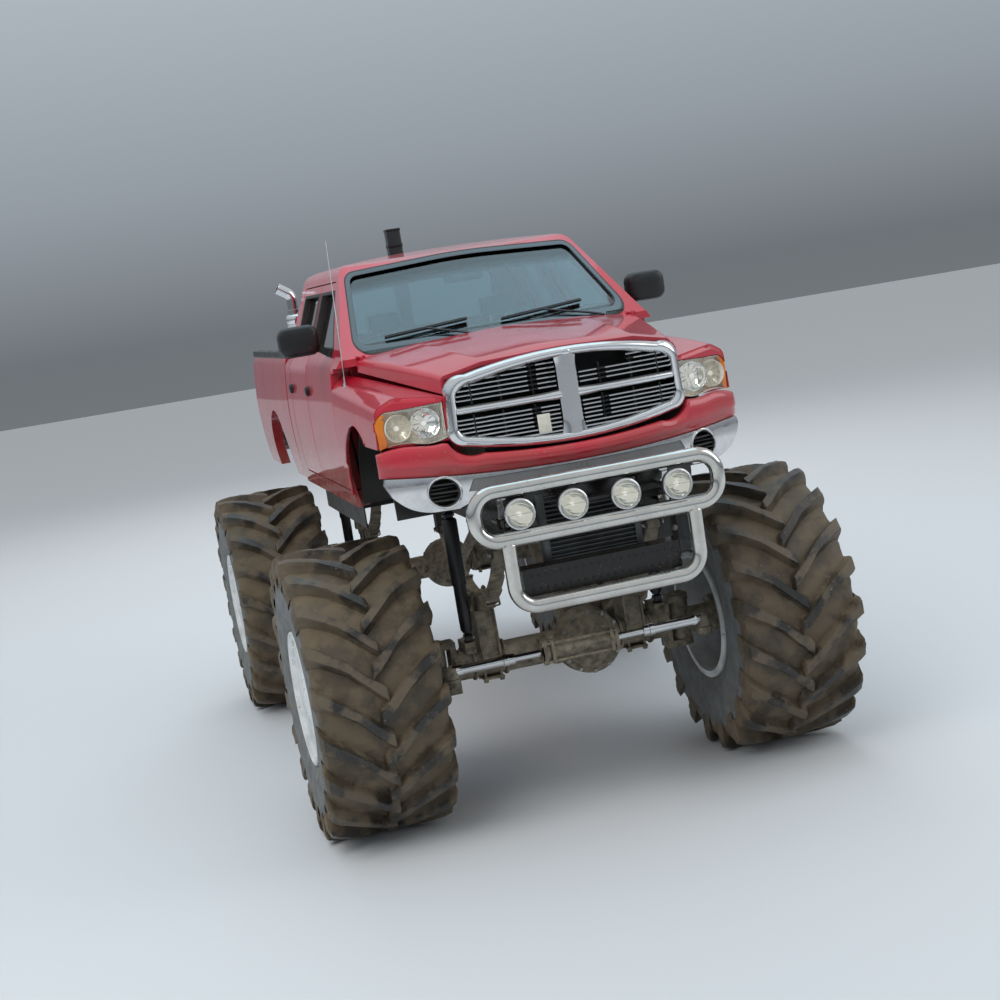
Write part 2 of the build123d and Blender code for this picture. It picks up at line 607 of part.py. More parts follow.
doors = {}
glasses = {}
wall = outer_form - cab_form(WALL, ROOF_T, SILL_Z - 10, 45.0, 66.0, SCREEN_LOW + 30)
glass_band = (along(body_section(WALL / 2 - GLASS_T / 2, ROOF_T / 2, SILL_Z), COWL_Y, CAB_Y)
              - along(body_section(WALL / 2 + GLASS_T / 2, ROOF_T, SILL_Z), COWL_Y - 5, CAB_Y + 5))
for name, (y0, y1, raked) in DOORS.items():
    low, high = door_tool(y0, y1, raked, 0, 0)
    window = across(window_face(y0, y1, raked, 0), 400, 1100)
    door = ((wall & low) + (wall & high)) - window
    doors[name] = door
    glasses[name] = glass_band & across(window_face(y0, y1, raked, FIT), 400, 1100)
    low, high = door_tool(y0, y1, raked, DOOR_GAP, LATCH_GAP)
    for cut in (low, high):
        cab = cab - cut - flip(cut)
cab = cab.fuse(pillar_ring, posts)

SCREEN_X0 = 800.0
SCREEN_X1 = 690.0
SCREEN_TOP = ROOF_Z - 108.0


def screen_face(inset):
    low = BELT_Z + 38.0 + inset
    high = SCREEN_TOP - inset
    return outline((-SCREEN_X0 + inset, low), ((SCREEN_X0 - inset, low),), ((SCREEN_X1 - inset, high),),
                   ((0.0, high + 34.0), (-SCREEN_X1 + inset, high)))


def back_face(inset):
    return rounded(-590 + inset, 590 - inset, BELT_Z + 60 + inset, ROOF_Z - 180 - inset, 60)


cab -= along(screen_face(0), COWL_Y - 200, -300)
cab -= along(back_face(0), CAB_Y - 300, CAB_Y + 50)
HOOD_REAR = COWL_Y - 12.0
HINGE_X = 815.0
HINGE_Y = HOOD_REAR + SCREEN_R - math.sqrt(SCREEN_R ** 2 - HINGE_X ** 2) + 3.5
HINGE_Z = BELT_Z - 12.0
HINGE_R = 11.0
for side in (1, -1):
    for x in (HINGE_X - 18, HINGE_X + 18):
        cab += rod((side * (x - 9), HINGE_Y, HINGE_Z), (side * (x + 9), HINGE_Y, HINGE_Z), HINGE_R)
        cab += block(side * (x - 9), side * (x + 9), HINGE_Y + 7, HINGE_Y + 24, HINGE_Z - 20, HINGE_Z)
    cab -= rod((side * (HINGE_X - 9), HINGE_Y, HINGE_Z), (side * (HINGE_X + 9), HINGE_Y, HINGE_Z), HINGE_R + 4)
    cab += rod((side * (HINGE_X - 18), HINGE_Y, HINGE_Z), (side * (HINGE_X + 18), HINGE_Y, HINGE_Z), 4.0)
save("cab", cab)
screen_slab = along(screen_face(FIT), COWL_Y - 200, -300) & (ahead_of_screen(33) - ahead_of_screen(25))
lean_glass = polygon((CAB_Y - 26, BELT_Z), (CAB_Y - 20, BELT_Z),
                     (CAB_Y - REAR_LEAN - 20, ROOF_Z - 110), (CAB_Y - REAR_LEAN - 26, ROOF_Z - 110))
back_glass = across(lean_glass, -700, 700) & along(back_face(FIT), CAB_Y - 300, CAB_Y + 50)
save("cab_glass", screen_slab, back_glass)

# Mirrors and handles in black plastic
MIRROR_Z = BELT_Z + 120.0
HANDLE_Z = BELT_Z - 210.0


def handle(y):
    knob = Pos(BODY_X - 8, y, HANDLE_Z) * Rotation(0, 90, 0) * Cylinder(32, 44)
    return knob


def mirror_head(y):
    face = rounded(965, 1205, MIRROR_Z - 90, MIRROR_Z + 90, 55)
    head = along(face, y - 60, y + 50)
    arm = block(BELT_X - 5, 1000, y - 25, y + 25, BELT_Z + 6, BELT_Z + 60)
    foot = block(BELT_X - 60, BELT_X + 20, y - 55, y + 55, BELT_Z + 2, BELT_Z + 40)
    return head + arm + foot


for side, word in ((1, "left"), (-1, "right")):
    for name, (y0, y1, raked) in DOORS.items():
        knob = handle(y1 - 90)
        trim = knob - doors[name]
        trim = trim.solids().sort_by(Axis.X)[-1]
        if name == "front":
            head = mirror_head(y0 + 175) - doors[name] - glasses[name]
            head = head.solids().sort_by(SortBy.VOLUME)[-1]
            shapes = [head, trim]
        else:
            shapes = [trim]
        door, glass = doors[name], glasses[name]
        if side < 0:
            door, glass = flip(door), flip(glass)
            shapes = [flip(s) for s in shapes]
        save(f"door_{name}_{word}", door)
        save(f"door_glass_{name}_{word}", glass)
        label = "mirror_and_handle" if name == "front" else "rear_handle"
        save(f"{label}_{word}", *shapes)

# Inside: dashboard with the steering wheel, seats
DASH_Y = FIREWALL_Y + 45.0
dash = across(outline((DASH_Y, BELT_Z - 230), ((DASH_Y + 260, BELT_Z - 250),),
                      ((DASH_Y + 330, BELT_Z - 120),), ((DASH_Y + 290, BELT_Z - 20), (DASH_Y + 150, BELT_Z + 5)),
                      ((DASH_Y, BELT_Z - 10),)), -(BELT_X - WALL - 100), BELT_X - WALL - 100)
WHEEL_AT = (380.0, DASH_Y + 420.0, BELT_Z - 80.0)
wheel_plane = Plane(origin=WHEEL_AT, z_dir=Vector(0, -0.92, 0.39))
steering = wheel_plane * Torus(185, 15)
steering += wheel_plane * Cylinder(50, 40)
for turn in (-20, 90, 200):
    steering += wheel_plane * (Rotation(0, 0, turn) * (Pos(95, 0, 0) * Box(190, 34, 14)))
column = rod((WHEEL_AT[0], DASH_Y + 300, BELT_Z - 130), WHEEL_AT, 30)
save("dashboard", dash.fuse(steering, column))


def make_seat(x, y, width, depth, back, top):
    cushion = across(rounded(y, y + depth, SILL_TOP + 210, SILL_TOP + 350, 50), x - width / 2, x + width / 2)
    base = block(x - width / 2 + 40, x + width / 2 - 40, y + 40, y + depth - 20, SILL_TOP + FIT, SILL_TOP + 215)
    lean = polygon((y + depth - 70, SILL_TOP + 250), (y + depth + 40, SILL_TOP + 250),
                   (y + depth + back + 40, top), (y + depth + back - 50, top))
    rest = across(lean, x - width / 2, x + width / 2)
    return cushion.fuse(base, rest)


seats = [make_seat(x, -650, 520, 480, 110, BELT_Z + 60) for x in (-380, 380)]
seats.append(make_seat(0, 150, 1380, 400, 90, BELT_Z + 40))
for x in (-380, 380):
    seats.append(across(rounded(-95, -25, BELT_Z + 60 + FIT, BELT_Z + 200, 30), x - 120, x + 120))
save("seats", *seats)

# Hood: two sections with a flat-sided flank and a raised centre, cut by the plan of the nose
HOOD_T = 42.0
HOOD_FRONT = NOSE_Y + 95.0
HOOD_STATIONS = [
    # y, half width, flank foot z, edge z, crease x, crease z, centre z
    (NOSE_Y - 20, 588.0, 2350.0, 2435.0, 400.0, 2492.0, 2520.0),
    (COWL_Y + 160, 852.0, 2512.0, 2580.0, 500.0, 2622.0, 2645.0),
]


def hood_section(row, t):
    y, half, foot, edge, crease_x, crease_z, mid = row
    points = outline(
        (half - t, foot - (1 if t else 0)), ((half - t, edge - t),), ((crease_x, crease_z - t),),
        ((0.0, mid - t), (-crease_x, crease_z - t)), ((t - half, edge - t),), ((t - half, foot - (1 if t else 0)),),
    )
    return Pos(0, y, 0) * (Plane.XZ * points)


def section_loft(rows, section, t):
    return loft([section(row, t) for row in rows], ruled=True)


GRILLE_Y = NOSE_Y - 5.0
GRILLE_DEPTH = 90.0
ahead = upward(ahead_of_arc(HOOD_REAR, SCREEN_R, 1000.0, NOSE_Y - 800), 2200, 2800)
behind = upward(ahead_of_arc(GRILLE_Y + GRILLE_DEPTH + FIT, GRILLE_R, 1000.0, NOSE_Y - 800), 2200, 2800)
hood = section_loft(HOOD_STATIONS, hood_section, 0) - section_loft(HOOD_STATIONS, hood_section, HOOD_T)
hood = (hood & ahead) - behind
for side in (1, -1):
    x0 = side * (HINGE_X - 8.5)
    x1 = side * (HINGE_X + 8.5)
    eye = rod((x0, HINGE_Y, HINGE_Z), (x1, HINGE_Y, HINGE_Z), HINGE_R + 1)
    eye += block(x0, x1, HINGE_Y - 40, HINGE_Y, HINGE_Z - 16, HINGE_Z)
    hood += eye - rod((x0, HINGE_Y, HINGE_Z), (x1, HINGE_Y, HINGE_Z), 4.0 + RUN)
save("hood", hood)

# Grille: chrome surround with a cross, and thin slats in its four openings
GRILLE_LOW = 2036.0
GRILLE_TOP = 2514.0
GRILLE_SIDE = 632.0


def grille_face(inset):
    return outline(
        (-570 + inset, 2096.0 + inset), ((0.0, GRILLE_LOW + inset), (570 - inset, 2096.0 + inset)),
        ((628.0 - inset, 2130.0 + inset), (GRILLE_SIDE - inset, 2200.0)),
        ((GRILLE_SIDE - 8 - inset, 2360.0),),
        ((602.0 - inset, 2430.0 - inset), (520.0 - inset, 2456.0 - inset)),
        ((0.0, GRILLE_TOP - inset), (-520.0 + inset, 2456.0 - inset)),
        ((-602.0 + inset, 2430.0 - inset), (8 - GRILLE_SIDE + inset, 2360.0)),
        ((inset - GRILLE_SIDE, 2200.0),), ((-628.0 + inset, 2130.0 + inset), (-570 + inset, 2096.0 + inset)),
    )


def arc_band(apex, depth, radius, half, z0, z1):
    front = ahead_of_arc(apex, radius, half, apex - 400)
    back = ahead_of_arc(apex + depth, radius, half + 1, apex - 399)
    return upward(back - front, z0, z1) & block(-half, half, -9000, 9000, z0, z1)


grille_band = arc_band(GRILLE_Y, GRILLE_DEPTH, GRILLE_R, 700, 1950, 2600)
RIM_W = 48.0
ring = along(grille_face(0) - grille_face(RIM_W), NOSE_Y - 100, NOSE_Y + 300)
BAR_X = 62.0
BAR_Z = 2276.0
BAR_H = 26.0
cross = block(-BAR_X, BAR_X, NOSE_Y - 100, NOSE_Y + 300, GRILLE_LOW + 10, GRILLE_TOP - 10)
cross += block(-GRILLE_SIDE + 10, GRILLE_SIDE - 10, NOSE_Y - 100, NOSE_Y + 300, BAR_Z - BAR_H, BAR_Z + BAR_H)
save("grille_shell", (ring + cross) & grille_band)

SLATS = 7
SLAT_T = 7.0
slat_band = arc_band(GRILLE_Y + 26, 44, GRILLE_R, 660, 1950, 2600)
window = along(grille_face(RIM_W + FIT), NOSE_Y - 100, NOSE_Y + 300)
quarters = []
for side in (-1, 1):
    for z0, z1 in ((GRILLE_LOW + 40, BAR_Z - BAR_H - FIT), (BAR_Z + BAR_H + FIT, GRILLE_TOP - 20)):
        quarter = None
        step = (z1 - z0) / (SLATS + 1)
        upper = z0 > BAR_Z
        for k in range(SLATS):
            z = z0 + (k + 1) * step
            missing = upper and side > 0 and k >= SLATS - 4
            x0 = 330.0 if missing else BAR_X + FIT
            slat = block(side * x0, side * 700, NOSE_Y - 100, NOSE_Y + 300, z - SLAT_T / 2, z + SLAT_T / 2)
            quarter = slat if quarter is None else quarter + slat
        for x in (180.0, 350.0, 500.0):
            top = z1 - step * 3.6 if (upper and side > 0 and x < 300) else z1
            rib = block(side * (x - 4), side * (x + 4), NOSE_Y + 52, NOSE_Y + 300, z0, top)
            quarter += rib
        quarters.append(quarter & slat_band & window)
save("grille_slats", *quarters)

# Front fenders: pontoon loft, hollow, cut by the nose plan, the wheel arch and the lamps
FENDER_T = 40.0
FENDER_STATIONS = [
    # y, inner x, inner z, crest x, crest z, belly x
    (NOSE_Y - 20, 600.0, 2342.0, 850.0, 2352.0, 965.0),
    (DOOR_Y - DOOR_GAP, 885.0, 2500.0, 940.0, 2440.0, BODY_X),
]


def fender_section(row, t):
    y, inner_x, inner_z, crest_x, crest_z, belly = row
    low = SILL_Z - (1 if t else 0)
    face = outline(
        (SILL_X - t, low), ((BODY_X - t, 2080.0), (belly - t, 2230.0)),
        ((belly - t - 8, crest_z - 45 - t), (crest_x, crest_z - t)),
        ((inner_x + (2 if t else 0), inner_z - t),), ((inner_x + (2 if t else 0), inner_z - 60),),
        ((inner_x + 1, inner_z - 62),),
        ((belly - t - 60 - t, 2230.0),), ((SILL_X - t - 60, low),),
    )
    return Pos(0, y, 0) * (Plane.XZ * face)


fender = loft([fender_section(row, 0) for row in FENDER_STATIONS], ruled=True)
nose_plan = upward(ahead_of_arc(NOSE_Y + 5, NOSE_R, 1200.0, NOSE_Y - 800), SILL_Z - 50, 2700)
arch = rod((500, FRONT_Y, ARCH_Z), (1100, FRONT_Y, ARCH_Z), ARCH_R)
fender = fender - nose_plan - arch
fender -= block(400, 1100, NOSE_Y - 200, FRONT_Y, SILL_Z - 20, 2136.5)
fender -= along(grille_face(-8), NOSE_Y - 200, NOSE_Y + 320)


def lamp_face(grow):
    return outline(
        (638.0 - grow, 2152.0 - grow), ((700.0, 2136.0 - grow), (780.0, 2142.0 - grow)),
        ((860.0, 2150.0 - grow), (960.0 + grow, 2130.0 - grow)), ((968.0 + grow, 2240.0),),
        ((940.0 + grow, 2308.0 + grow / 2), (880.0, 2322.0 + grow)), ((638.0 - grow, 2336.0 + grow),),
    )


fender -= along(lamp_face(FIT), NOSE_Y - 200, FRONT_Y)
fender = fender.solids().sort_by(SortBy.VOLUME)[-1]
save("front_fenders", *pair(fender))
lamp = along(lamp_face(0), NOSE_Y - 200, FRONT_Y) & arc_band(NOSE_Y + 2, 110, NOSE_R, 980, 2000, 2500)
lamp -= along(grille_face(-7.0), NOSE_Y - 200, NOSE_Y + 320)
lamp = lamp.solids().sort_by(SortBy.VOLUME)[-1]
save("headlamps", *pair(lamp))

# Bumper: painted cover above, chrome face bar below with fog openings, dull insert between
COVER_Y = NOSE_Y - 42.0
COVER_T = 60.0
cover_face = outline(
    (-966.0, 1985.0 + FIT), ((0.0, 1941.0 + FIT), (966.0, 1985.0 + FIT)), ((985.0, 2112.0),),
    ((860.0, 2136.0), (780.0, 2130.0)), ((700.0, 2126.0), (650.0, 2132.0)),
    ((600.0, 2070.0), (480.0, 2052.0)), ((0.0, 2026.0), (-480.0, 2052.0)),
    ((-600.0, 2070.0), (-650.0, 2132.0)), ((-700.0, 2126.0), (-780.0, 2130.0)),
    ((-860.0, 2136.0), (-985.0, 2112.0)),
)
cover = along(cover_face, COVER_Y - 100, FRONT_Y) & arc_band(COVER_Y, COVER_T, NOSE_R, 985, 1900, 2200)
save("bumper_cover", cover)
CHROME_Y = NOSE_Y - 50.0
CHROME_T = 46.0
FOG_X = 704.0
FOG_Z = 1884.0
FOG_R = 76.0
chrome_face = outline(
    (-966.0, 1985.0), ((0.0, 1941.0), (966.0, 1985.0)), ((975.0, 1950.0),),
    ((900.0, 1840.0), (760.0, 1788.0)), ((640.0, 1790.0),), ((540.0, 1838.0),), ((-540.0, 1838.0),),
    ((-640.0, 1790.0),), ((-760.0, 1788.0),), ((-900.0, 1840.0), (-975.0, 1950.0)),
)
chrome = along(chrome_face, CHROME_Y - 100, FRONT_Y) & arc_band(CHROME_Y, CHROME_T, NOSE_R, 980, 1700, 2100)
insert_face = polygon((-590, 1872), (590, 1872), (560, 1934), (-560, 1934))
pocket = along(insert_face, CHROME_Y - 100, FRONT_Y) & arc_band(CHROME_Y - 40, 60, NOSE_R, 700, 1800, 2000)
chrome -= pocket
for side in (1, -1):
    chrome -= rod((side * FOG_X, CHROME_Y - 100, FOG_Z), (side * FOG_X, FRONT_Y - 400, FOG_Z), FOG_R)
for side in (1, -1):
    chrome += block(side * (RAIL_X - 14), side * (RAIL_X + 30), CHROME_Y + 62, RAIL_Y0 - FIT, RAIL_Z + 65, 1868)
save("front_bumper", chrome)
inset_face = polygon((-590 + FIT, 1872 + FIT), (590 - FIT, 1872 + FIT), (560 - FIT, 1934 - FIT), (-560 + FIT, 1934 - FIT))
insert = along(inset_face, CHROME_Y - 100, FRONT_Y) & arc_band(CHROME_Y + 4, 16 - FIT, NOSE_R, 700, 1800, 2000)
louvres = []
for side in (1, -1):
    ring_cut = along(Pos(side * FOG_X, FOG_Z) * (Circle(FOG_R - FIT) - Circle(FOG_R - 9)), CHROME_Y - 50, FRONT_Y - 300)
    for dz in (-40, 0, 40):
        ring_cut += block(side * FOG_X - FOG_R, side * FOG_X + FOG_R, CHROME_Y, FRONT_Y - 300,
                          FOG_Z + dz - 5, FOG_Z + dz + 5) & along(
            Pos(side * FOG_X, FOG_Z) * Circle(FOG_R - 5), CHROME_Y - 50, FRONT_Y - 300)
    louvre = ring_cut & arc_band(CHROME_Y + 6, 60, NOSE_R, 980, 1700, 2100)
    louvres.append(louvre)
save("bumper_inserts", insert, *louvres)

# Bull bar: two loops of polished tube, with the lamp strip and brackets back to the frame
BAR_MID = 1630.0
LOOP_H = 247.0
BAR_TOP = BAR_MID + LOOP_H
BAR_LOW = 1281.0
BEND = 110.0
upper_x = BULL_X - BULL_R
lower_x = BULL_LOW_X - BULL_R
upper_path = rounded(-upper_x, upper_x, BAR_MID, BAR_TOP, BEND).wire()
lower_path = FilletPolyline((-lower_x, BAR_MID), (-lower_x, BAR_LOW), (lower_x, BAR_LOW),
                            (lower_x, BAR_MID), radius=BEND)
bars = []
for path in (upper_path, lower_path):
    placed = Pos(0, BULL_Y, 0) * (Plane.XZ * path)
    start = placed @ 0
    tangent = placed % 0
    bars.append(sweep(Plane(origin=start, z_dir=tangent) * Circle(BULL_R), path=placed))
STRIP_Z = BAR_MID + BULL_R + 2.0
bull_bar = bars[0] + bars[1]
bull_bar += block(-BULL_X + 60, BULL_X - 60, BULL_Y - 22, BULL_Y + 40, BAR_MID + BULL_R - 8, STRIP_Z)
BRACKET_XS = (25 - RAIL_X, RAIL_X - 25)
for x in BRACKET_XS:
    bull_bar += block(x - 6, x + 6, BULL_Y, BULL_Y + 90, BAR_MID - 20, BAR_MID + 34)
    bull_bar += block(x - 6, x + 6, BULL_Y + 72, RAIL_Y0 - FIT, BAR_MID - 20, BAR_MID + 120)
save("bull_bar", bull_bar)
DRIVE_LAMP_XS = (-416.0, -139.0, 139.0, 416.0)
DRIVE_Z = STRIP_Z + 3.0 + LAMP_R
lamps = []
for x in DRIVE_LAMP_XS:
    lamp = rod((x, BULL_Y - 30, DRIVE_Z), (x, BULL_Y + 34, DRIVE_Z), LAMP_R)
    lamp += rod((x, BULL_Y + 30, DRIVE_Z), (x, BULL_Y + 64, DRIVE_Z), LAMP_R - 26)
    lamp += rod((x, BULL_Y + 10, STRIP_Z + FIT), (x, BULL_Y + 10, DRIVE_Z), 12)
    lamps.append(lamp)
save("driving_lamps", *lamps)

# Coolers behind the bar: finned intercooler, radiator, and the black channel below on its frame
COOLER_X = 270.0
COOLER_Y = NOSE_Y - 10.0
COOLER_LOW = 1450.0 + FIT
comb = [(COOLER_Y + 60, COOLER_LOW), (COOLER_Y + 60, 1800.0)]
FINS = 14
pitch = (1800.0 - COOLER_LOW) / FINS
for k in range(FINS - 1, -1, -1):
    z = COOLER_LOW + k * pitch
    comb += [(COOLER_Y, z + pitch), (COOLER_Y, z + pitch * 0.6), (COOLER_Y + 24, z + pitch * 0.6), (COOLER_Y + 24, z)]
cooler = across(polygon(*comb), -COOLER_X, COOLER_X)
radiator = block(-CORE_X + FIT, CORE_X - FIT, CORE_Y, CORE_Y + 60, RAIL_TOP + 5, CORE_TOP - FIT)
save("coolers", cooler, radiator)
HANG_X = 455.0
hanger = along(polygon((-HANG_X, 1300), (HANG_X, 1300), (HANG_X, RAIL_Z + 60), (HANG_X - 34, RAIL_Z + 60),
                       (HANG_X - 34, 1326), (34 - HANG_X, 1326), (34 - HANG_X, RAIL_Z + 60), (-HANG_X, RAIL_Z + 60)),
               COOLER_Y - 10, COOLER_Y + 24)
plate = across(polygon((COOLER_Y - 95, 1310), (COOLER_Y - 10, 1310), (COOLER_Y - 10, 1318), (COOLER_Y - 87, 1318),
                       (COOLER_Y - 87, 1442), (COOLER_Y - 10, 1442), (COOLER_Y - 10, 1450), (COOLER_Y - 95, 1450)),
               -420, 420)
shelf = block(-HANG_X + 5, HANG_X - 5, COOLER_Y - 12, COOLER_Y + 40, 1430, 1450)
tower = []
for x in (-HANG_X, HANG_X - 34):
    tower.append(block(x, x + 34, COOLER_Y, RAIL_Y0 - FIT, RAIL_Z + 20, RAIL_Z + 60))
save("cooler_frame", hanger.fuse(plate, shelf, *tower), core)

# Wheel liners above the front tyres
liner_ring = Circle(ARCH_R - FIT) - Circle(ARCH_R - 14)
liner = across(Pos(FRONT_Y, ARCH_Z) * liner_ring, outer_rail + 60, 905)
liner = liner & block(0, 1000, FRONT_Y - 700, FRONT_Y + 700, ARCH_Z + 10, 2400)
save("wheel_liners", *pair(liner))

# Wipers and antenna
WIPERS = [
    # pivot x, blade end x near the pivot side, far end x
    (-120.0, -640.0, -150.0),
    (640.0, 40.0, 560.0),
]


def screen_y(x, z):
    drop = SCREEN_R - math.sqrt(SCREEN_R ** 2 - x ** 2)
    return SCREEN_Y + drop + (z - SCREEN_Z) * SCREEN_SLOPE


wipers = []
for pivot_x, low_x, high_x in WIPERS:
    low_z = BELT_Z + 62
    high_z = BELT_Z + 96
    low = (low_x, screen_y(low_x, low_z) - 26, low_z)
    high = (high_x, screen_y(high_x, high_z) - 26, high_z)
    mid = tuple((a + b) / 2 for a, b in zip(low, high))
    foot_z = BELT_Z + 4
    pivot = (pivot_x, screen_y(pivot_x, foot_z) - 22, foot_z)
    wiper = rod(low, high, 9)
    wiper += rod(pivot, (mid[0], mid[1] - 10, mid[2] + 6), 8)
    wiper += rod((pivot_x, pivot[1], BELT_Z - 40), (pivot_x, pivot[1], foot_z + 3), 12)
    wipers.append(wiper - outer_form)
save("wipers", *[w.solids().sort_by(SortBy.VOLUME)[-1] for w in wipers])
ANTENNA = (-925.0, DOOR_Y - 262.0)
MAST_TOP = ROOF_Z + 100.0
mast = rod((ANTENNA[0], ANTENNA[1], 2440), (ANTENNA[0] + 40, ANTENNA[1] + 90, MAST_TOP), 4)
base = rod((ANTENNA[0], ANTENNA[1], 2396), (ANTENNA[0], ANTENNA[1], 2470), 14)
save("antenna", (mast + base) - flip(fender))

# Bed: double side walls, floor, head board, wheel housings, and the drop tailgate
BED_WALL = WALL
BED_FLOOR = 1995.0
BED_FLOOR_T = 30.0
RAIL_CAP = 50.0
bed_top = BELT_Z - 15.0
TAIL_X = 745.0
TAIL_T = 58.0
GATE_Y = BED_END_Y - 20.0
GATE_Z = BED_FLOOR + 20.0
PIN_R = 8.0


def bed_section(inset, low, top):
    return outline(
        (SILL_X - inset, low), ((BODY_X - inset, 2120.0), (BODY_X - 23 - inset, BELT_Z - 60)),
        ((BODY_X - 38 - inset, top),), ((inset + 38 - BODY_X, top),), ((inset + 23 - BODY_X, BELT_Z - 60),),
        ((inset - BODY_X, 2120.0), (inset - SILL_X, low)),
    )


bed = along(bed_section(0, SILL_Z + 20, bed_top), BED_Y, BED_END_Y)
bed -= along(bed_section(BED_WALL, SILL_Z, bed_top + 50), BED_Y - 5, BED_END_Y + 5)
bed_in = BODY_X - BED_WALL
bed += block(-SILL_X + 80, SILL_X - 80, BED_Y, BED_END_Y - TAIL_T - 16, BED_FLOOR, BED_FLOOR + BED_FLOOR_T)
bed += block(-bed_in + 10, bed_in - 10, BED_Y, BED_Y + 50, BED_FLOOR, bed_top)
for side in (1, -1):
    corner = block(side * TAIL_X, side * (bed_in - 30), BED_END_Y - TAIL_T - 30, BED_END_Y, BED_FLOOR - 20, bed_top)
    corner -= rod((side * (TAIL_X - 5), GATE_Y, GATE_Z), (side * (TAIL_X + 28), GATE_Y, GATE_Z), PIN_R + RUN)
    bed += corner & along(bed_section(2, SILL_Z, bed_top), BED_Y, BED_END_Y)
    bed -= rod((side * 604, REAR_Y, ARCH_Z - 30), (side * 1100, REAR_Y, ARCH_Z - 30), ARCH_R - 15)
    house = block(side * 590, side * (bed_in - 30), REAR_Y - 560, REAR_Y + 560, BED_FLOOR, 2270)
    house -= block(side * 604, side * 1100, REAR_Y - 546, REAR_Y + 546, BED_FLOOR - 10, 2256)
    bed += house
for y in (BED_Y + 150, BED_Y + 620, REAR_Y + 320, BED_END_Y - 160):
    bed += block(-560, 560, y - 35, y + 35, BED_FLOOR - 45, BED_FLOOR + 1)
    for x in (-RAIL_X, RAIL_X):
        bed += block(x - 32, x + 32, y - 32, y + 32, RAIL_TOP + FIT, BED_FLOOR - 40)
save("bed", bed)
TAIL_Y = BED_END_Y - TAIL_T
tail = block(-TAIL_X + DOOR_GAP, TAIL_X - DOOR_GAP, TAIL_Y, BED_END_Y, BED_FLOOR - 5, bed_top)
tail -= along(rounded(-480, 480, BED_FLOOR + 150, bed_top - 130, 30), BED_END_Y - 8, BED_END_Y + 5)
tail += block(-TAIL_X + DOOR_GAP, TAIL_X - DOOR_GAP, TAIL_Y - 10, BED_END_Y, bed_top, bed_top + RAIL_CAP)
tail += rod((-TAIL_X - 22, GATE_Y, GATE_Z), (TAIL_X + 22, GATE_Y, GATE_Z), PIN_R)
save("tailgate", tail)

# Black caps on the bed sides and its head board
caps = []
cap_x0 = bed_in - 14
cap_x1 = BODY_X - 30
for side in (1, -1):
    caps.append(block(side * cap_x0, side * cap_x1, BED_Y, BED_END_Y, bed_top + FIT, bed_top + RAIL_CAP))
caps.append(block(-cap_x0 + 20, cap_x0 - 20, BED_Y, BED_Y + 60, bed_top + FIT, bed_top + RAIL_CAP))
save("bed_rails", *caps)

# Tail lamps in the rear corners of the bed
TAIL_LAMP_Z = (2230.0, 2530.0)
skin = along(bed_section(-3, SILL_Z, bed_top) - bed_section(45, SILL_Z - 10, bed_top + 10),
             BED_END_Y + FIT, BED_END_Y + 24)
tail_lamps = []
for side in (1, -1):
    tail_lamps.append(skin & block(side * 800, side * 1100, BED_END_Y, BED_END_Y + 60, *TAIL_LAMP_Z))
save("tail_lamps", *tail_lamps)

# Rear bumper with its step, and the square hitch receiver under it
BUMP_X = 900.0
BUMP_Y = BED_END_Y + 60.0
bump_face = outline((BUMP_Y, 1800.0), ((BUMP_Y + 78, 1812.0),), ((BUMP_Y + 94, 1870), (BUMP_Y + 84, 1940.0)),
                    ((BUMP_Y, 1950.0),))
rear_bumper = across(bump_face, -BUMP_X, BUMP_X)
for side in (1, -1):
    rear_bumper += block(side * (inner_rail + 10), side * (outer_rail - 10), RAIL_Y1 + FIT, BUMP_Y + 5,
                         RAIL_Z + 40, RAIL_TOP + 20)
save("rear_bumper", rear_bumper)
HITCH = 63.0
HITCH_Z = RAIL_Z + 62.0
HITCH_END = BULL_R - BULL_Y
hitch = block(-HITCH / 2 - 6, HITCH / 2 + 6, RAIL_Y1 - 40, HITCH_END, HITCH_Z - HITCH / 2 - 6, HITCH_Z + HITCH / 2 + 6)
hitch -= block(-HITCH / 2 + 6, HITCH / 2 - 6, RAIL_Y1 + 60, HITCH_END + 5, HITCH_Z - HITCH / 2 + 6, HITCH_Z + HITCH / 2 - 6)
hitch -= rod((-100, HITCH_END - 60, HITCH_Z), (100, HITCH_END - 60, HITCH_Z), 8.0)
members[-1] += hitch
save("frame", *pair(rail), *members, saddle, *pair(skirt))

# Exhaust stacks in the front corners of the bed, and the square post between them
STACK_X = 795.0
STACK_Y = BED_Y + 250.0
STACK_TOP = 3096.0
MUFFLER_TOP = 2880.0
stacks = []
for side in (1, -1):
    x = side * STACK_X
    stack = rod((x, STACK_Y, BED_FLOOR + BED_FLOOR_T + FIT), (x, STACK_Y, MUFFLER_TOP), 62)
    path = Pos(x, STACK_Y, 0) * (Plane.XZ * FilletPolyline(
        (0, MUFFLER_TOP - 5), (0, STACK_TOP - 80), (side * 90, STACK_TOP - 20), radius=60))
    stack += sweep(Plane(origin=path @ 0, z_dir=path % 0) * Circle(38), path=path)
    stacks.append(stack)
save("exhaust_stacks", *stacks)
POST = 100.0
POST_TOP = 3370.0
post = block(-POST / 2, POST / 2, STACK_Y - POST / 2, STACK_Y + POST / 2, BED_FLOOR + BED_FLOOR_T + FIT, POST_TOP)
save("air_post", post)
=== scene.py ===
"""A monster truck: a lifted four-door pickup on bar-lug tyres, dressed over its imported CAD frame.

Metres, +Z up, front towards -Y, the truck's left towards +X, origin on the ground between the axles.
"""

from __future__ import annotations

import json
import logging
import math
from dataclasses import dataclass
from enum import Enum
from typing import Sequence

import bmesh
import bpy
from mathutils import Matrix, Vector, noise

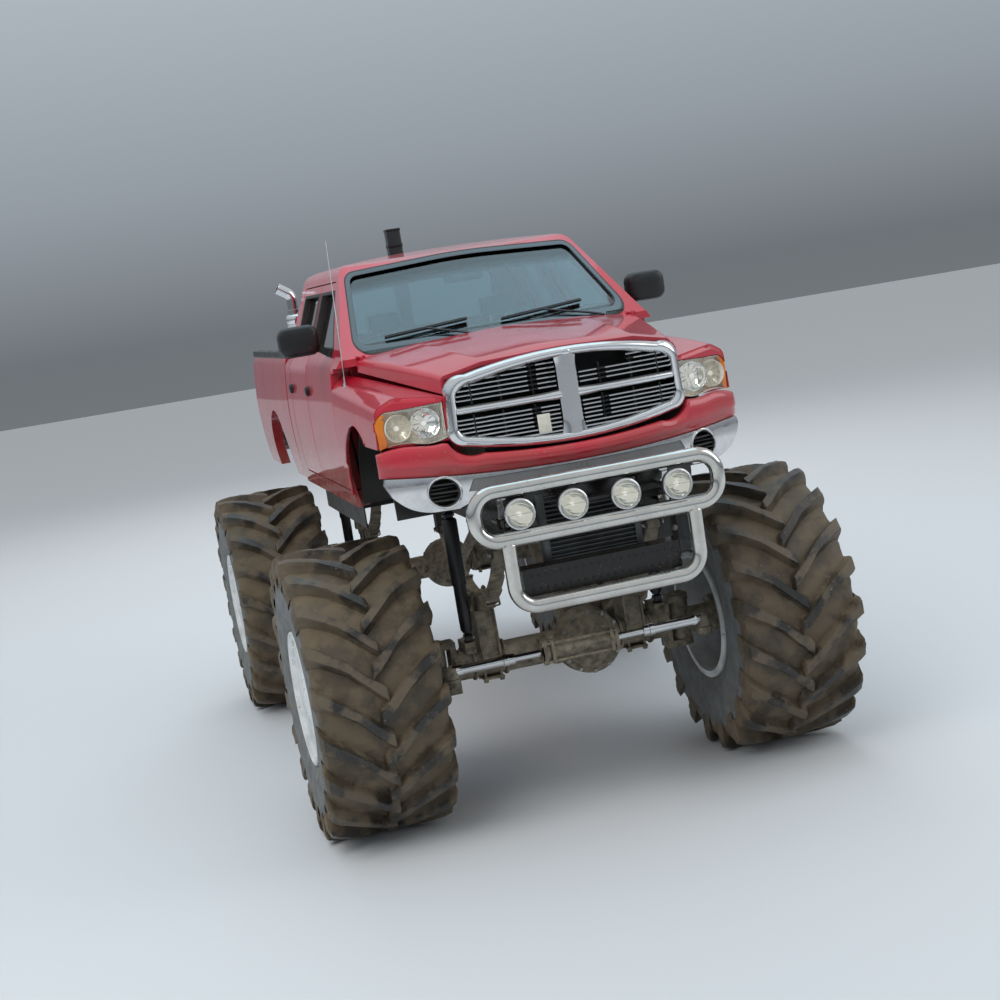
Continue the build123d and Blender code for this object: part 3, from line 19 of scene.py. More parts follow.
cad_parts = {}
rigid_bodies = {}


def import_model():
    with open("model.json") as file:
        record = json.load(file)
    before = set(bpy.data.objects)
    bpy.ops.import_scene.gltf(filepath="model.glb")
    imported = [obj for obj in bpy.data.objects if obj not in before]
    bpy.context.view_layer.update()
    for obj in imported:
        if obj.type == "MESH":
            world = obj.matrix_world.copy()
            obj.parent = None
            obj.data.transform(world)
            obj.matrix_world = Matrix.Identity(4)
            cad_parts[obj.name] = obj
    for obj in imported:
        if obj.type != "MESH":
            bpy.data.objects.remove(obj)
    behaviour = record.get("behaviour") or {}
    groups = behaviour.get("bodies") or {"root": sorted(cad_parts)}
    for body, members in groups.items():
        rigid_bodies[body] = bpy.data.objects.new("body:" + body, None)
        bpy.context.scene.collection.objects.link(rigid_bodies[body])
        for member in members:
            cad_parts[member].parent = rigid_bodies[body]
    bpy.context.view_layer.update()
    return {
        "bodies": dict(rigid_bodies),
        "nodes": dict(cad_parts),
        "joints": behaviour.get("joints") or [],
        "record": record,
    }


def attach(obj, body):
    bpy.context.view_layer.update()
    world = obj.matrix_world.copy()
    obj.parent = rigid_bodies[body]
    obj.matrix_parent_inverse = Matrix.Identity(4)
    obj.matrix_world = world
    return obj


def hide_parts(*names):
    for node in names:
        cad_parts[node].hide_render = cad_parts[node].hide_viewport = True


LOG = logging.getLogger("monster_truck")
Socket = bpy.types.NodeSocket
Flat = Sequence[tuple[float, float]]
Shape = tuple[Sequence[Vector], Sequence[Sequence[int]]]

FRONT_Y = -1.785
REAR_Y = 1.785
HUB_Z = 0.802
WHEEL_X = 1.175
SIDES = (("left", 1.0), ("right", -1.0))
ORIGIN, ACROSS, BACK, UP = (Vector(axis) for axis in ((0, 0, 0), (1, 0, 0), (0, 1, 0), (0, 0, 1)))
# Points closer than this are one point
MERGE = 1e-5


class Pattern(Enum):
    """How a repeated shape is laid out."""

    RING = "ring"
    ROW = "row"
    POINTS = "points"


def colour(code: str) -> tuple[float, float, float, float]:
    """Turn an sRGB hex code into a linear colour.

    Args:
        code: six hex digits, with or without a leading #.

    Returns:
        Red, green and blue, linear, and a full alpha.
    """
    digits = code.lstrip("#")
    linear = []
    for start in (0, 2, 4):
        value = int(digits[start:start + 2], 16) / 255.0
        linear.append(value / 12.92 if value <= 0.04045 else ((value + 0.055) / 1.055) ** 2.4)
    return linear[0], linear[1], linear[2], 1.0


def add(tree: bpy.types.NodeTree, kind: str, settings: dict | None = None,
        inputs: dict | None = None) -> bpy.types.Node:
    """Add a node with its settings, values and links.

    Args:
        tree: the node tree that gets it.
        kind: the node's type name.
        settings: properties of the node.
        inputs: by socket name or number, a socket to link from or a value.

    Returns:
        The new node.
    """
    node = tree.nodes.new(kind)
    for key, value in (settings or {}).items():
        setattr(node, key, value)
    for key, value in (inputs or {}).items():
        if isinstance(value, bpy.types.NodeSocket):
            tree.links.new(value, node.inputs[key])
        else:
            node.inputs[key].default_value = value
    return node


@dataclass(frozen=True)
class Dirt:
    """A coat of dried dust and splashes over a finish.

    The coat thickens below a height and breaks up in patches of a real size.
    """

    code: str = "#8d7659"
    low: float = 1.7
    high: float = 2.5
    most: float = 0.75
    least: float = 0.05
    patch_mm: float = 90.0
    spots: float = 0.3
    spot_mm: float = 14.0
    up: float = 0.15
    edge: float = 0.18


@dataclass(frozen=True)
class Finish:
    """A material: a real base with its gloss, grain and dirt."""

    name: str
    code: str
    second: str = ""
    metallic: float = 0.0
    roughness: float = 0.5
    rough_change: float = 0.1
    ior: float = 1.5
    coat: float = 0.0
    coat_rough: float = 0.06
    sheen: float = 0.0
    glow: float = 0.0
    clear: float = 0.0
    grain_mm: float = 0.0
    grain: float = 0.0
    patch_mm: float = 120.0
    dirt: Dirt | None = None
    attribute: str = ""
    worn: str = ""
    worn_rough: float = 0.85

    def make(self) -> bpy.types.Material:
        """Build the material, once.

        Returns:
            The material, shared by every piece with this finish.
        """
        known = bpy.data.materials.get(self.name)
        if known:
            return known
        material = bpy.data.materials.new(self.name)
        material.use_nodes = True
        tree = material.node_tree
        tree.nodes.clear()
        out = add(tree, "ShaderNodeOutputMaterial")
        place = add(tree, "ShaderNodeTexCoord").outputs["Object"]
        shader = add(tree, "ShaderNodeBsdfPrincipled", inputs={
            "Metallic": self.metallic, "IOR": 1.5 if self.metallic else self.ior,
            "Coat Weight": self.coat, "Coat Roughness": self.coat_rough,
            "Sheen Weight": self.sheen, "Transmission Weight": self.clear,
        })
        tint, rough = self._base(tree, place)
        if self.attribute:
            tint, rough = self._worn(tree, tint, rough)
        if self.dirt:
            tint, rough, cover = self._dirt(tree, place, tint, rough)
            if self.metallic:
                keep = add(tree, "ShaderNodeMath", {"operation": "MULTIPLY_ADD"},
                           {0: cover, 1: -self.metallic, 2: self.metallic})
                tree.links.new(keep.outputs[0], shader.inputs["Metallic"])
        tree.links.new(tint, shader.inputs["Base Color"])
        tree.links.new(rough, shader.inputs["Roughness"])
        # A painted glow in the finish's own colour
        if self.glow:
            shader.inputs["Emission Color"].default_value = colour(self.code)
            shader.inputs["Emission Strength"].default_value = self.glow
        if self.grain:
            tree.links.new(self._bump(tree, place), shader.inputs["Normal"])
        tree.links.new(shader.outputs[0], out.inputs["Surface"])
        return material

    def _noise(self, tree: bpy.types.NodeTree, place: Socket, size_mm: float, detail: float = 4.0) -> Socket:
        """A noise pattern whose features are about size_mm across."""
        return add(tree, "ShaderNodeTexNoise", {}, {
            "Vector": place, "Scale": 1000.0 / size_mm, "Detail": detail, "Roughness": 0.6,
        }).outputs["Fac"]

    def _base(self, tree: bpy.types.NodeTree, place: Socket) -> tuple[Socket, Socket]:
        """The clean colour and roughness, both with slow patches."""
        patch = self._noise(tree, place, self.patch_mm)
        spread = add(tree, "ShaderNodeMapRange", {}, {0: patch, 1: 0.35, 2: 0.65}).outputs[0]
        mix = add(tree, "ShaderNodeMix", {"data_type": "RGBA"},
                  {0: spread, 6: colour(self.code), 7: colour(self.second or self.code)}).outputs[2]
        rough = add(tree, "ShaderNodeMapRange", {}, {
            0: patch, 1: 0.3, 2: 0.7, 3: max(self.roughness - self.rough_change, 0.01),
            4: min(self.roughness + self.rough_change, 1.0),
        }).outputs[0]
        return mix, rough

    def _worn(self, tree: bpy.types.NodeTree, tint: Socket, rough: Socket) -> tuple[Socket, Socket]:
        """Blend towards the second colour where the mesh's own attribute says so."""
        share = add(tree, "ShaderNodeAttribute", {"attribute_name": self.attribute}).outputs["Fac"]
        mix = add(tree, "ShaderNodeMix", {"data_type": "RGBA"}, {0: share, 6: tint, 7: colour(self.worn)})
        level = add(tree, "ShaderNodeMix", {}, {0: share, 2: rough, 3: self.worn_rough})
        return mix.outputs[2], level.outputs[0]

    def _dirt(self, tree: bpy.types.NodeTree, place: Socket, tint: Socket,
              rough: Socket) -> tuple[Socket, Socket, Socket]:
        """Lay the coat of dirt over the finish.

        Returns:
            Colour, roughness and the share that is covered.
        """
        dirt = self.dirt
        height = add(tree, "ShaderNodeSeparateXYZ", {}, {0: place}).outputs["Z"]
        depth = add(tree, "ShaderNodeMapRange", {}, {
            0: height, 1: dirt.low, 2: dirt.high, 3: dirt.most, 4: dirt.least,
        }).outputs[0]
        cloud = self._noise(tree, place, dirt.patch_mm, 6.0)
        broken = add(tree, "ShaderNodeMapRange", {}, {
            0: cloud, 1: 0.5 - dirt.edge, 2: 0.5 + dirt.edge, 3: 0.09, 4: 1.6}).outputs[0]
        film = add(tree, "ShaderNodeMath", {"operation": "MULTIPLY"}, {0: depth, 1: broken}).outputs[0]
        facing = add(tree, "ShaderNodeSeparateXYZ", {}, {
            0: add(tree, "ShaderNodeNewGeometry").outputs["Normal"]}).outputs["Z"]
        lying = add(tree, "ShaderNodeMath", {"operation": "MULTIPLY", "use_clamp": True}, {0: facing, 1: dirt.up})
        film = add(tree, "ShaderNodeMath", {"operation": "ADD"}, {0: film, 1: lying.outputs[0]}).outputs[0]
        cells = add(tree, "ShaderNodeTexVoronoi", {}, {
            "Vector": place, "Scale": 1000.0 / (dirt.spot_mm * 3.0), "Randomness": 1.0}).outputs["Distance"]
        dots = add(tree, "ShaderNodeMapRange", {}, {0: cells, 1: 0.16, 2: 0.24, 3: 1.0, 4: 0.0}).outputs[0]
        gate = add(tree, "ShaderNodeMapRange", {}, {
            0: self._noise(tree, place, dirt.spot_mm * 16.0), 1: 0.5, 2: 0.62}).outputs[0]
        dots = add(tree, "ShaderNodeMath", {"operation": "MULTIPLY"}, {0: dots, 1: gate}).outputs[0]
        dots = add(tree, "ShaderNodeMath", {"operation": "MULTIPLY"}, {0: dots, 1: dirt.spots}).outputs[0]
        cover = add(tree, "ShaderNodeMath", {"operation": "MAXIMUM", "use_clamp": True},
                    {0: film, 1: dots}).outputs[0]
        soil = add(tree, "ShaderNodeMix", {"data_type": "RGBA"}, {
            0: cloud, 6: colour(dirt.code), 7: colour(shade(dirt.code, 0.72))}).outputs[2]
        mix = add(tree, "ShaderNodeMix", {"data_type": "RGBA"}, {0: cover, 6: tint, 7: soil}).outputs[2]
        level = add(tree, "ShaderNodeMix", {}, {0: cover, 2: rough, 3: 0.88}).outputs[0]
        return mix, level, cover

    def _bump(self, tree: bpy.types.NodeTree, place: Socket) -> Socket:
        """A fine raised grain, as moulding or sand casting leaves it."""
        height = self._noise(tree, place, self.grain_mm, 3.0)
        return add(tree, "ShaderNodeBump", {}, {
            "Height": height, "Strength": self.grain, "Distance": self.grain_mm / 4000.0}).outputs[0]


def shade(code: str, share: float) -> str:
    """Darken (below 1) or lighten (above 1) a hex colour by a share."""
    digits = code.lstrip("#")
    parts = [min(int(int(digits[i:i + 2], 16) * share), 255) for i in (0, 2, 4)]
    return "#%02x%02x%02x" % tuple(parts)


BODY_DUST = Dirt(low=1.75, high=2.15, most=0.42, least=0.02, patch_mm=160.0, spots=0.5, spot_mm=12.0, up=0.02)
AXLE_MUD = Dirt(code="#aea28b", low=0.5, high=1.9, most=0.72, least=0.25, patch_mm=45.0, spots=0.4, up=0.35)
WHEEL_MUD = Dirt(code="#6f5c45", low=0.2, high=1.6, most=0.3, least=0.12, patch_mm=110.0, spots=0.95, spot_mm=9.0)

# Two-stage enamel: a deep cherry base under clear lacquer that mirrors the light
CHERRY_ENAMEL = Finish("cherry_enamel", "#b4082a", "#aa0626", 0.0, 0.42, 0.05, coat=0.85, coat_rough=0.05,
                       patch_mm=500.0, dirt=BODY_DUST)
# Hard chrome plate on steel: a near mirror with road film low down
CHROME_PLATE = Finish("chrome_plate", "#e3e4e6", "#dcdee0", 1.0, 0.045, 0.025,
                      dirt=Dirt(low=1.75, high=2.2, most=0.16, least=0.0, patch_mm=70.0, spots=0.25, spot_mm=8.0))
# Polished stainless tube: bright but softer than chrome
STAINLESS = Finish("polished_stainless", "#d6d4cf", "#cac8c3", 1.0, 0.075, 0.03,
                   dirt=Dirt(low=1.2, high=1.9, most=0.07, least=0.0, patch_mm=60.0, spots=0.3, spot_mm=7.0,
                             up=0.04))
# Moulded tyre rubber: black, still wet in places, under clay that lies thickest between the lugs
TYRE_RUBBER = Finish("tyre_rubber", "#202123", "#17181a", 0.0, 0.28, 0.12, grain_mm=9.0, grain=0.8,
                     patch_mm=60.0, attribute="clay", worn="#6b5c45",
                     dirt=Dirt(code="#86765f", low=0.1, high=1.6, most=0.46, least=0.30, patch_mm=170.0, spots=0.9,
                               spot_mm=8.0, up=0.05, edge=0.06))
# The same rubber on the flat walls, bleached by a film of dry dust
SIDEWALL = Finish("dusty_sidewall", "#6f7578", "#565c60", 0.0, 0.8, 0.08, grain_mm=5.0, grain=0.3, patch_mm=80.0,
                  dirt=Dirt(code="#8b8171", low=0.1, high=1.6, most=0.40, least=0.20, patch_mm=60.0, spots=0.5,
                            spot_mm=10.0, up=0.1, edge=0.10))
# Brush-painted steel disc: white with mud spatter
WHEEL_WHITE = Finish("wheel_white_enamel", "#dfe2e3", "#d3d6d6", 0.0, 0.4, 0.1, grain_mm=9.0, grain=0.05,
                     dirt=WHEEL_MUD)
# Sand-cast and forged steel caked with dried mud
AXLE_STEEL = Finish("muddy_cast_steel", "#4b463f", "#39352f", 0.3, 0.65, 0.15, grain_mm=7.0, grain=0.5,
                    dirt=AXLE_MUD)
# Chassis black: satin paint under dust
CHASSIS_BLACK = Finish("chassis_black", "#1b1b1c", "#232222", 0.0, 0.5, 0.12, grain_mm=6.0, grain=0.2,
                       dirt=Dirt(code="#7c6f5b", low=1.2, high=1.9, most=0.14, least=0.03, patch_mm=60.0, up=0.08))
# Sprayed paint on plain steel, satin or glossy
SATIN_BLACK = Finish("satin_black_paint", "#101011", "#18181a", 0.0, 0.42, 0.1, grain_mm=4.0, grain=0.1)
GLOSS_BLACK = Finish("gloss_black_panel", "#0b0b0c", "#121214", 0.0, 0.22, 0.08,
                     dirt=Dirt(low=1.3, high=2.0, most=0.03, least=0.01, patch_mm=40.0, spots=0.75, spot_mm=5.0,
                               up=0.05))
# Painted shade: a near-black matt sheet standing for the dark inside of a hole or opening
PAINTED_HOLE_SHADE = Finish("hole_shadow", "#060606", "#090908", 0.0, 0.9, 0.05)
# Moulded ABS with a fine leather grain
BLACK_ABS = Finish("black_abs", "#121315", "#191a1c", 0.0, 0.42, 0.08, grain_mm=2.5, grain=0.35,
                   dirt=Dirt(code="#6a5f50", low=1.7, high=2.3, most=0.12, least=0.0, patch_mm=90.0, up=0.02))
# The same moulding in grey, weathered outside and clean inside the cab
GREY_ABS = Finish("grey_abs", "#6f7377", "#666a6e", 0.0, 0.55, 0.1, grain_mm=2.5, grain=0.3,
                  dirt=Dirt(low=1.7, high=2.1, most=0.25, least=0.1, patch_mm=50.0))
INTERIOR_ABS = Finish("interior_abs", "#3d4043", "#35383b", 0.0, 0.65, 0.08, grain_mm=2.5, grain=0.4)
# Cast aluminium core, bead-blasted look
CAST_ALUMINIUM = Finish("dull_aluminium", "#5d6061", "#4c4f50", 0.8, 0.45, 0.1, grain_mm=4.0, grain=0.3,
                        dirt=Dirt(code="#6f6455", low=1.2, high=2.0, most=0.12, least=0.03, patch_mm=50.0, up=0.03))
# Sand-cast iron, rough and dark under oily dust
CAST_IRON = Finish("cast_iron", "#3b3a39", "#302f2e", 0.6, 0.7, 0.1, grain_mm=5.0, grain=0.5,
                   dirt=Dirt(low=1.6, high=2.3, most=0.5, least=0.2, patch_mm=90.0, up=0.3))
# Laminated glass, blue-green, darkening to a shade band where the mesh says so
WINDOW_GLASS = Finish("laminated_glass", "#b4d3db", "#b4d3db", 0.0, 0.02, 0.01, ior=1.7, clear=1.0,
                      attribute="shade", worn="#1e2a30", worn_rough=0.02)
# Toughened side glass, grey through and through: a tint of painted shade for the dark cab seen through it
SHADE_TINTED_GLASS = Finish("smoked_glass", "#8fa0a2", "#8fa0a2", 0.0, 0.02, 0.01, ior=1.45, clear=1.0)
# The fired black border of the windscreen: glass over black enamel
BLACK_GLASS = Finish("black_glass_border", "#151f26", "#17222a", 0.0, 0.03, 0.01, ior=1.85)
# Extruded rubber round the glass, matt with a soft shine
GLASS_RUBBER = Finish("window_rubber", "#101112", "#17181a", 0.0, 0.5, 0.08, grain_mm=4.0, grain=0.1,
                      dirt=Dirt(low=2.3, high=3.0, most=0.12, least=0.03, patch_mm=60.0, spots=0.2, up=0.04))
# Aged polycarbonate: clear with a yellow cast, strongest towards the outer end
LENS_CLEAR = Finish("clear_polycarbonate", "#fefefc", "#fffffe", 0.0, 0.03, 0.02, ior=1.3, clear=1.0, patch_mm=60.0)
LENS_YELLOW = Finish("yellowed_polycarbonate", "#fcf9ef", "#fdfbf5", 0.0, 0.07, 0.04, ior=1.3, clear=0.96,
                     patch_mm=40.0)
LENS_WARM = Finish("warm_lamp_glass", "#fefdf8", "#fdfbf2", 0.0, 0.04, 0.02, ior=1.35, clear=1.0, patch_mm=40.0)
# Clear ribbed plastic over a white inner, as a reversing lamp looks unlit
LENS_MILK = Finish("reversing_lens", "#e3e3df", "#d8d8d2", 0.0, 0.15, 0.05, coat=0.5)
# A lamp's bowl gone milky, and the frosted glass of its bulb, which glows: a painted glow standing in for light
# inside the lamp
OLD_REFLECTOR = Finish("aged_reflector", "#f2efe6", "#e6e1d2", 0.22, 0.25, 0.1, patch_mm=30.0)
GLOWING_BULB_GLASS = Finish("bulb_glass", "#f4f4f0", "#ffffff", 0.0, 0.05, 0.02, glow=0.35)
# Sun-bleached card without words
PALE_CARD = Finish("pale_card", "#d9d6cc", "#c9c4b4", 0.0, 0.8, 0.05, patch_mm=30.0)
# Coloured lamp plastics, glossy and half clear; the amber one carries a faint painted glow
AMBER_LENS = Finish("amber_lens", "#f08a1c", "#f29b2e", 0.0, 0.12, 0.04, ior=1.5, clear=0.55, glow=0.05)
RED_LENS = Finish("red_lens", "#a30d10", "#8d090c", 0.0, 0.12, 0.04, ior=1.5, clear=0.4, coat=1.0)
# Vapour-coated aluminium: a clean mirror
MIRROR_COAT = Finish("reflector_aluminium", "#f4f4f2", "#efefec", 1.0, 0.06, 0.03)
# Bolts dulled by weather, and rods ground bright
ZINC_STEEL = Finish("zinc_plated_steel", "#9b9a95", "#8a8781", 1.0, 0.38, 0.1, grain_mm=2.0, grain=0.1)
BRIGHT_ROD = Finish("ground_steel_rod", "#d5d6d6", "#cacbcb", 1.0, 0.12, 0.03)
# Pressed felt over the visors
HEADLINER = Finish("grey_headliner", "#8b8e90", "#7e8183", 0.0, 0.9, 0.05, sheen=0.2, grain_mm=2.0, grain=0.4)
# Cut pile, a dull dark grey with dry dust near the floor
CARPET = Finish("cut_pile_carpet", "#2b2d2f", "#232527", 0.0, 0.95, 0.03, sheen=0.3, grain_mm=3.0, grain=0.6,
                dirt=Dirt(low=1.6, high=2.2, most=0.12, least=0.02, patch_mm=120.0, spots=0.2))
# Flat-woven cloth over foam, with a woven cord along its seams
SEAT_PIPING = Finish("seat_piping", "#2d2f31", "#27292b", 0.0, 0.8, 0.05, grain_mm=1.5, grain=0.4)
SEAT_CLOTH = Finish("seat_cloth", "#55585c", "#4b4e52", 0.0, 0.9, 0.05, sheen=0.4, grain_mm=2.0, grain=0.6)


class Truck:
    """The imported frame, and how a finished piece joins it."""

    def __init__(self, frame: dict) -> None:
        """Keep the frame's nodes and bodies."""
        self.nodes: dict[str, bpy.types.Object] = frame["nodes"]
        self.bodies: dict[str, bpy.types.Object] = frame["bodies"]

    def paint(self, node: str, finish: Finish) -> None:
        """Give a CAD node its material in every slot."""
        data = self.nodes[node].data
        if not data.materials:
            data.materials.append(finish.make())
        for index in range(len(data.materials)):
            data.materials[index] = finish.make()

    def place(self, piece: bpy.types.Object, slot: str, *replaced: str, body: str = "chassis") -> None:
        """Ride a finished piece on a body and hide what it stands for."""
        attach(piece, body)
        if replaced:
            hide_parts(*replaced)
        LOG.info("%s on %s: %d faces", piece.name, body, len(piece.data.polygons))


def new_piece(name: str, mesh: bpy.types.Mesh, *finishes: Finish, smooth: float | None = 35.0) -> bpy.types.Object:
    """Link a mesh as an object with its finishes.

    Args:
        name: the piece's name.
        mesh: its mesh, already in place.
        finishes: one for each material index used.
        smooth: edges sharper than this angle in degrees stay sharp, None leaves flat faces.

    Returns:
        The new object.
    """
    piece = bpy.data.objects.new(name, mesh)
    bpy.context.scene.collection.objects.link(piece)
    index = [face.material_index for face in mesh.polygons]
    mesh.materials.clear()
    mesh.polygons.foreach_set("material_index", [i if i < len(finishes) else 0 for i in index])
    for finish in finishes:
        mesh.materials.append(finish.make())
    if smooth is not None:
        mesh.shade_smooth()
        mesh.set_sharp_from_angle(angle=math.radians(smooth))
    return piece


def mesh_from(name: str, points: Sequence[Sequence[float]], faces: Sequence[Sequence[int]]) -> bpy.types.Mesh:
    """Make a mesh from points and faces, merged and with its faces turned outwards."""
    mesh = bpy.data.meshes.new(name)
    mesh.from_pydata([tuple(p) for p in points], [], [tuple(f) for f in faces])
    shape = bmesh.new()
    shape.from_mesh(mesh)
    bmesh.ops.remove_doubles(shape, verts=shape.verts, dist=MERGE)
    bmesh.ops.recalc_face_normals(shape, faces=shape.faces)
    shape.to_mesh(mesh)
    shape.free()
    return mesh


def weighted(piece: bpy.types.Object) -> bpy.types.Object:
    """Bake weighted normals into a piece so that its flat faces stay flat beside its rounded edges."""
    modifier = piece.modifiers.new("even", "WEIGHTED_NORMAL")
    modifier.keep_sharp = True
    modifier.weight = 80
    return baked(piece)


def baked(piece: bpy.types.Object) -> bpy.types.Object:
    """Apply a piece's modifiers to its mesh."""
    bpy.context.view_layer.update()
    graph = bpy.context.evaluated_depsgraph_get()
    mesh = bpy.data.meshes.new_from_object(piece.evaluated_get(graph))
    piece.modifiers.clear()
    piece.data = mesh
    return piece


def softened(truck: Truck, node: str, finish: Finish, width: float, segments: int = 2,
             name: str = "", sharp: float = 28.0) -> bpy.types.Object:
    """Copy a CAD node and round its edges as pressed or moulded ones are.

    Args:
        truck: the frame.
        node: the CAD node.
        finish: the piece's material.
        width: how far each rounding reaches, in metres.
        segments: faces across each rounding.
        name: the piece's name, or the node's with _skin.
        sharp: edges above this angle in degrees are rounded.

    Returns:
        The new piece, not yet riding.
    """
    mesh = truck.nodes[node].data.copy()
    shape = bmesh.new()
    shape.from_mesh(mesh)
    bmesh.ops.remove_doubles(shape, verts=shape.verts, dist=3 * MERGE)
    bmesh.ops.dissolve_limit(shape, angle_limit=math.radians(0.8), verts=shape.verts, edges=shape.edges,
                             delimit={"NORMAL"})
    edges = [e for e in shape.edges if e.is_manifold and e.calc_face_angle(0.0) > math.radians(sharp)]
    bmesh.ops.bevel(shape, geom=edges, offset=width, segments=segments, profile=0.5, affect="EDGES",
                    clamp_overlap=True, loop_slide=True)
    bmesh.ops.remove_doubles(shape, verts=shape.verts, dist=MERGE)
    bmesh.ops.triangulate(shape, faces=[f for f in shape.faces if len(f.verts) > 4])
    shape.to_mesh(mesh)
    shape.free()
    piece = new_piece(name or f"{node}_skin", mesh, finish, smooth=40.0)
    return weighted(piece)


def swept(path: Sequence[Vector], section: Flat, up: Vector, closed: bool = False) -> Shape:
    """Carry a flat closed section along a path, with square ends.

    Args:
        path: the points to follow.
        section: its outline, sideways and upwards.
        up: the direction that the section's second number follows.
        closed: whether the path is a ring.

    Returns:
        Points and faces.
    """
    rows = []
    count = len(path)
    for i, here in enumerate(path):
        before = path[(i - 1) % count] if closed or i > 0 else here
        after = path[(i + 1) % count] if closed or i < count - 1 else here
        ahead = (after - before).normalized()
        side = ahead.cross(up).normalized()
        rise = side.cross(ahead).normalized()
        rows.append([here + side * a + rise * b for a, b in section])
    points, faces = grid(rows, closed=True, ring=closed)
    return points, faces if closed else faces + ends(rows)


def circle(radius: float, count: int) -> list[tuple[float, float]]:
    """Points of a circle, anticlockwise."""
    return [(radius * math.cos(2 * math.pi * k / count), radius * math.sin(2 * math.pi * k / count))
            for k in range(count)]


def spun(profile: Flat, centre: Vector, axis: Vector, count: int, closed: bool = True) -> Shape:
    """Turn a profile of (along, radius) points about an axis.

    Args:
        profile: points along the axis and out from it.
        centre: where the axis starts.
        axis: its direction.
        count: steps round.
        closed: whether the profile is a loop.

    Returns:
        Points and faces.
    """
    axis = axis.normalized()
    side = axis.orthogonal().normalized()
    rise = axis.cross(side)
    rows = []
    for k in range(count):
        angle = 2 * math.pi * k / count
        out = side * math.cos(angle) + rise * math.sin(angle)
        rows.append([centre + axis * a + out * r for a, r in profile])
    return grid(rows, closed, ring=True)


def rounded_path(points: Sequence[Vector], radius: float | Sequence[float], steps: int = 6,
                 closed: bool = False) -> list[Vector]:
    """Round a path's corners with arcs.

    Args:
        points: the corners in order.
        radius: one radius for every corner, or one for each point.
        steps: faces along each arc.
        closed: whether the path is a ring.

    Returns:
        The points of the rounded path.
    """
    result: list[Vector] = []
    count = len(points)
    for i, here in enumerate(points):
        if not closed and i in (0, count - 1):
            result.append(here)
            continue
        size = radius if isinstance(radius, (int, float)) else radius[i]
        before, after = points[(i - 1) % count], points[(i + 1) % count]
        back, ahead = (before - here).normalized(), (after - here).normalized()
        half = back.angle(ahead) / 2
        cut = size / math.tan(half)
        start, end = here + back * cut, here + ahead * cut
        middle = here + (back + ahead).normalized() * (size / math.sin(half))
        first, last = start - middle, end - middle
        turn = first.angle(last)
        for k in range(steps + 1):
            share = k / steps
            a, b = math.sin((1 - share) * turn), math.sin(share * turn)
            result.append(middle + (first * a + last * b) / math.sin(turn))
    return result


def traced(start: tuple[float, float], *steps: tuple, count: int = 10) -> list[tuple[float, float]]:
    """Follow a flat outline of lines (one point) and arcs (two points), as the source draws it.

    Args:
        start: the first point.
        steps: each a tuple of the next point, or of an arc's middle and end.
        count: pieces in each arc.

    Returns:
        The outline's points, without the start repeated.
    """
    points = [start]
    for step in steps:
        here = Vector(points[-1])
        if len(step) == 1:
            points.append(step[0])
            continue
        mid, end = Vector(step[0]), Vector(step[1])
        a, b = mid - here, end - here
        cross = 2 * (a.x * b.y - a.y * b.x)
        off = Vector(((b.y * a.length_squared - a.y * b.length_squared) / cross,
                      (a.x * b.length_squared - b.x * a.length_squared) / cross))
        centre = here + off
        first = math.atan2(here.y - centre.y, here.x - centre.x)
        via = (math.atan2(mid.y - centre.y, mid.x - centre.x) - first) % (2 * math.pi)
        last = (math.atan2(end.y - centre.y, end.x - centre.x) - first) % (2 * math.pi)
        if via > last:
            last -= 2 * math.pi
        for k in range(1, count + 1):
            angle = first + last * k / count
            points.append((centre.x + off.length * math.cos(angle), centre.y + off.length * math.sin(angle)))
    if math.dist(points[0], points[-1]) < MERGE:
        points.pop()
    return points


def within(value: float) -> float:
    """A value held between nought and one."""
    return max(0.0, min(1.0, value))


def arc_y(apex: float, radius: float, x: float) -> float:
    """How far back a plan arc lies at a distance from the centre line."""
    return apex + radius - math.sqrt(max(radius ** 2 - x ** 2, 0.0))


def grid(rows: Sequence[Sequence[Sequence[float]]], closed: bool = False, ring: bool = False) -> Shape:
    """Join rows of points with four-sided faces.

    Args:
        rows: rows of equal length.
        closed: whether each row is a loop.
        ring: whether the last row joins the first.

    Returns:
        Points and faces.
    """
    size = len(rows[0])
    points = [Vector(p) for row in rows for p in row]
    faces = []
    for i in range(len(rows) if ring else len(rows) - 1):
        n = (i + 1) % len(rows)
        for k in range(size if closed else size - 1):
            m = (k + 1) % size
            faces.append([i * size + k, i * size + m, n * size + m, n * size + k])
    return points, faces


def ends(rows: Sequence[Sequence[Sequence[float]]]) -> list[list[int]]:
    """The faces that fill the first and the last of a grid's closed rows, both turned outwards."""
    size = len(rows[0])
    last = (len(rows) - 1) * size
    return [list(range(size))[::-1], [last + k for k in range(size)]]


def capped(rows: Sequence[Sequence[Sequence[float]]]) -> Shape:
    """Join closed rows and fill the first and the last."""
    points, faces = grid(rows, closed=True)
    first, last = ends(rows)
    return points, faces + [first[::-1], last]


def prism(outline: Flat, axis: str, low: float, high: float) -> Shape:
    """Extrude a flat outline along x, y or z."""
    def at(a: float, b: float, depth: float) -> tuple[float, float, float]:
        return {"x": (depth, a, b), "y": (a, depth, b), "z": (a, b, depth)}[axis]
    return capped([[at(a, b, depth) for a, b in outline] for depth in (low, high)])


def carved(piece: bpy.types.Object, *tools: Shape) -> bpy.types.Object:
    """Cut shapes out of a closed piece."""
    cutters = []
    for number, (points, faces) in enumerate(tools):
        cutter = bpy.data.objects.new(f"cutter_{number}", mesh_from("cutter", points, faces))
        bpy.context.scene.collection.objects.link(cutter)
        cut = piece.modifiers.new(f"cut_{number}", "BOOLEAN")
        cut.operation, cut.solver, cut.object = "DIFFERENCE", "EXACT", cutter
        cutters.append(cutter)
    baked(piece)
    for cutter in cutters:
        bpy.data.objects.remove(cutter)
    return piece


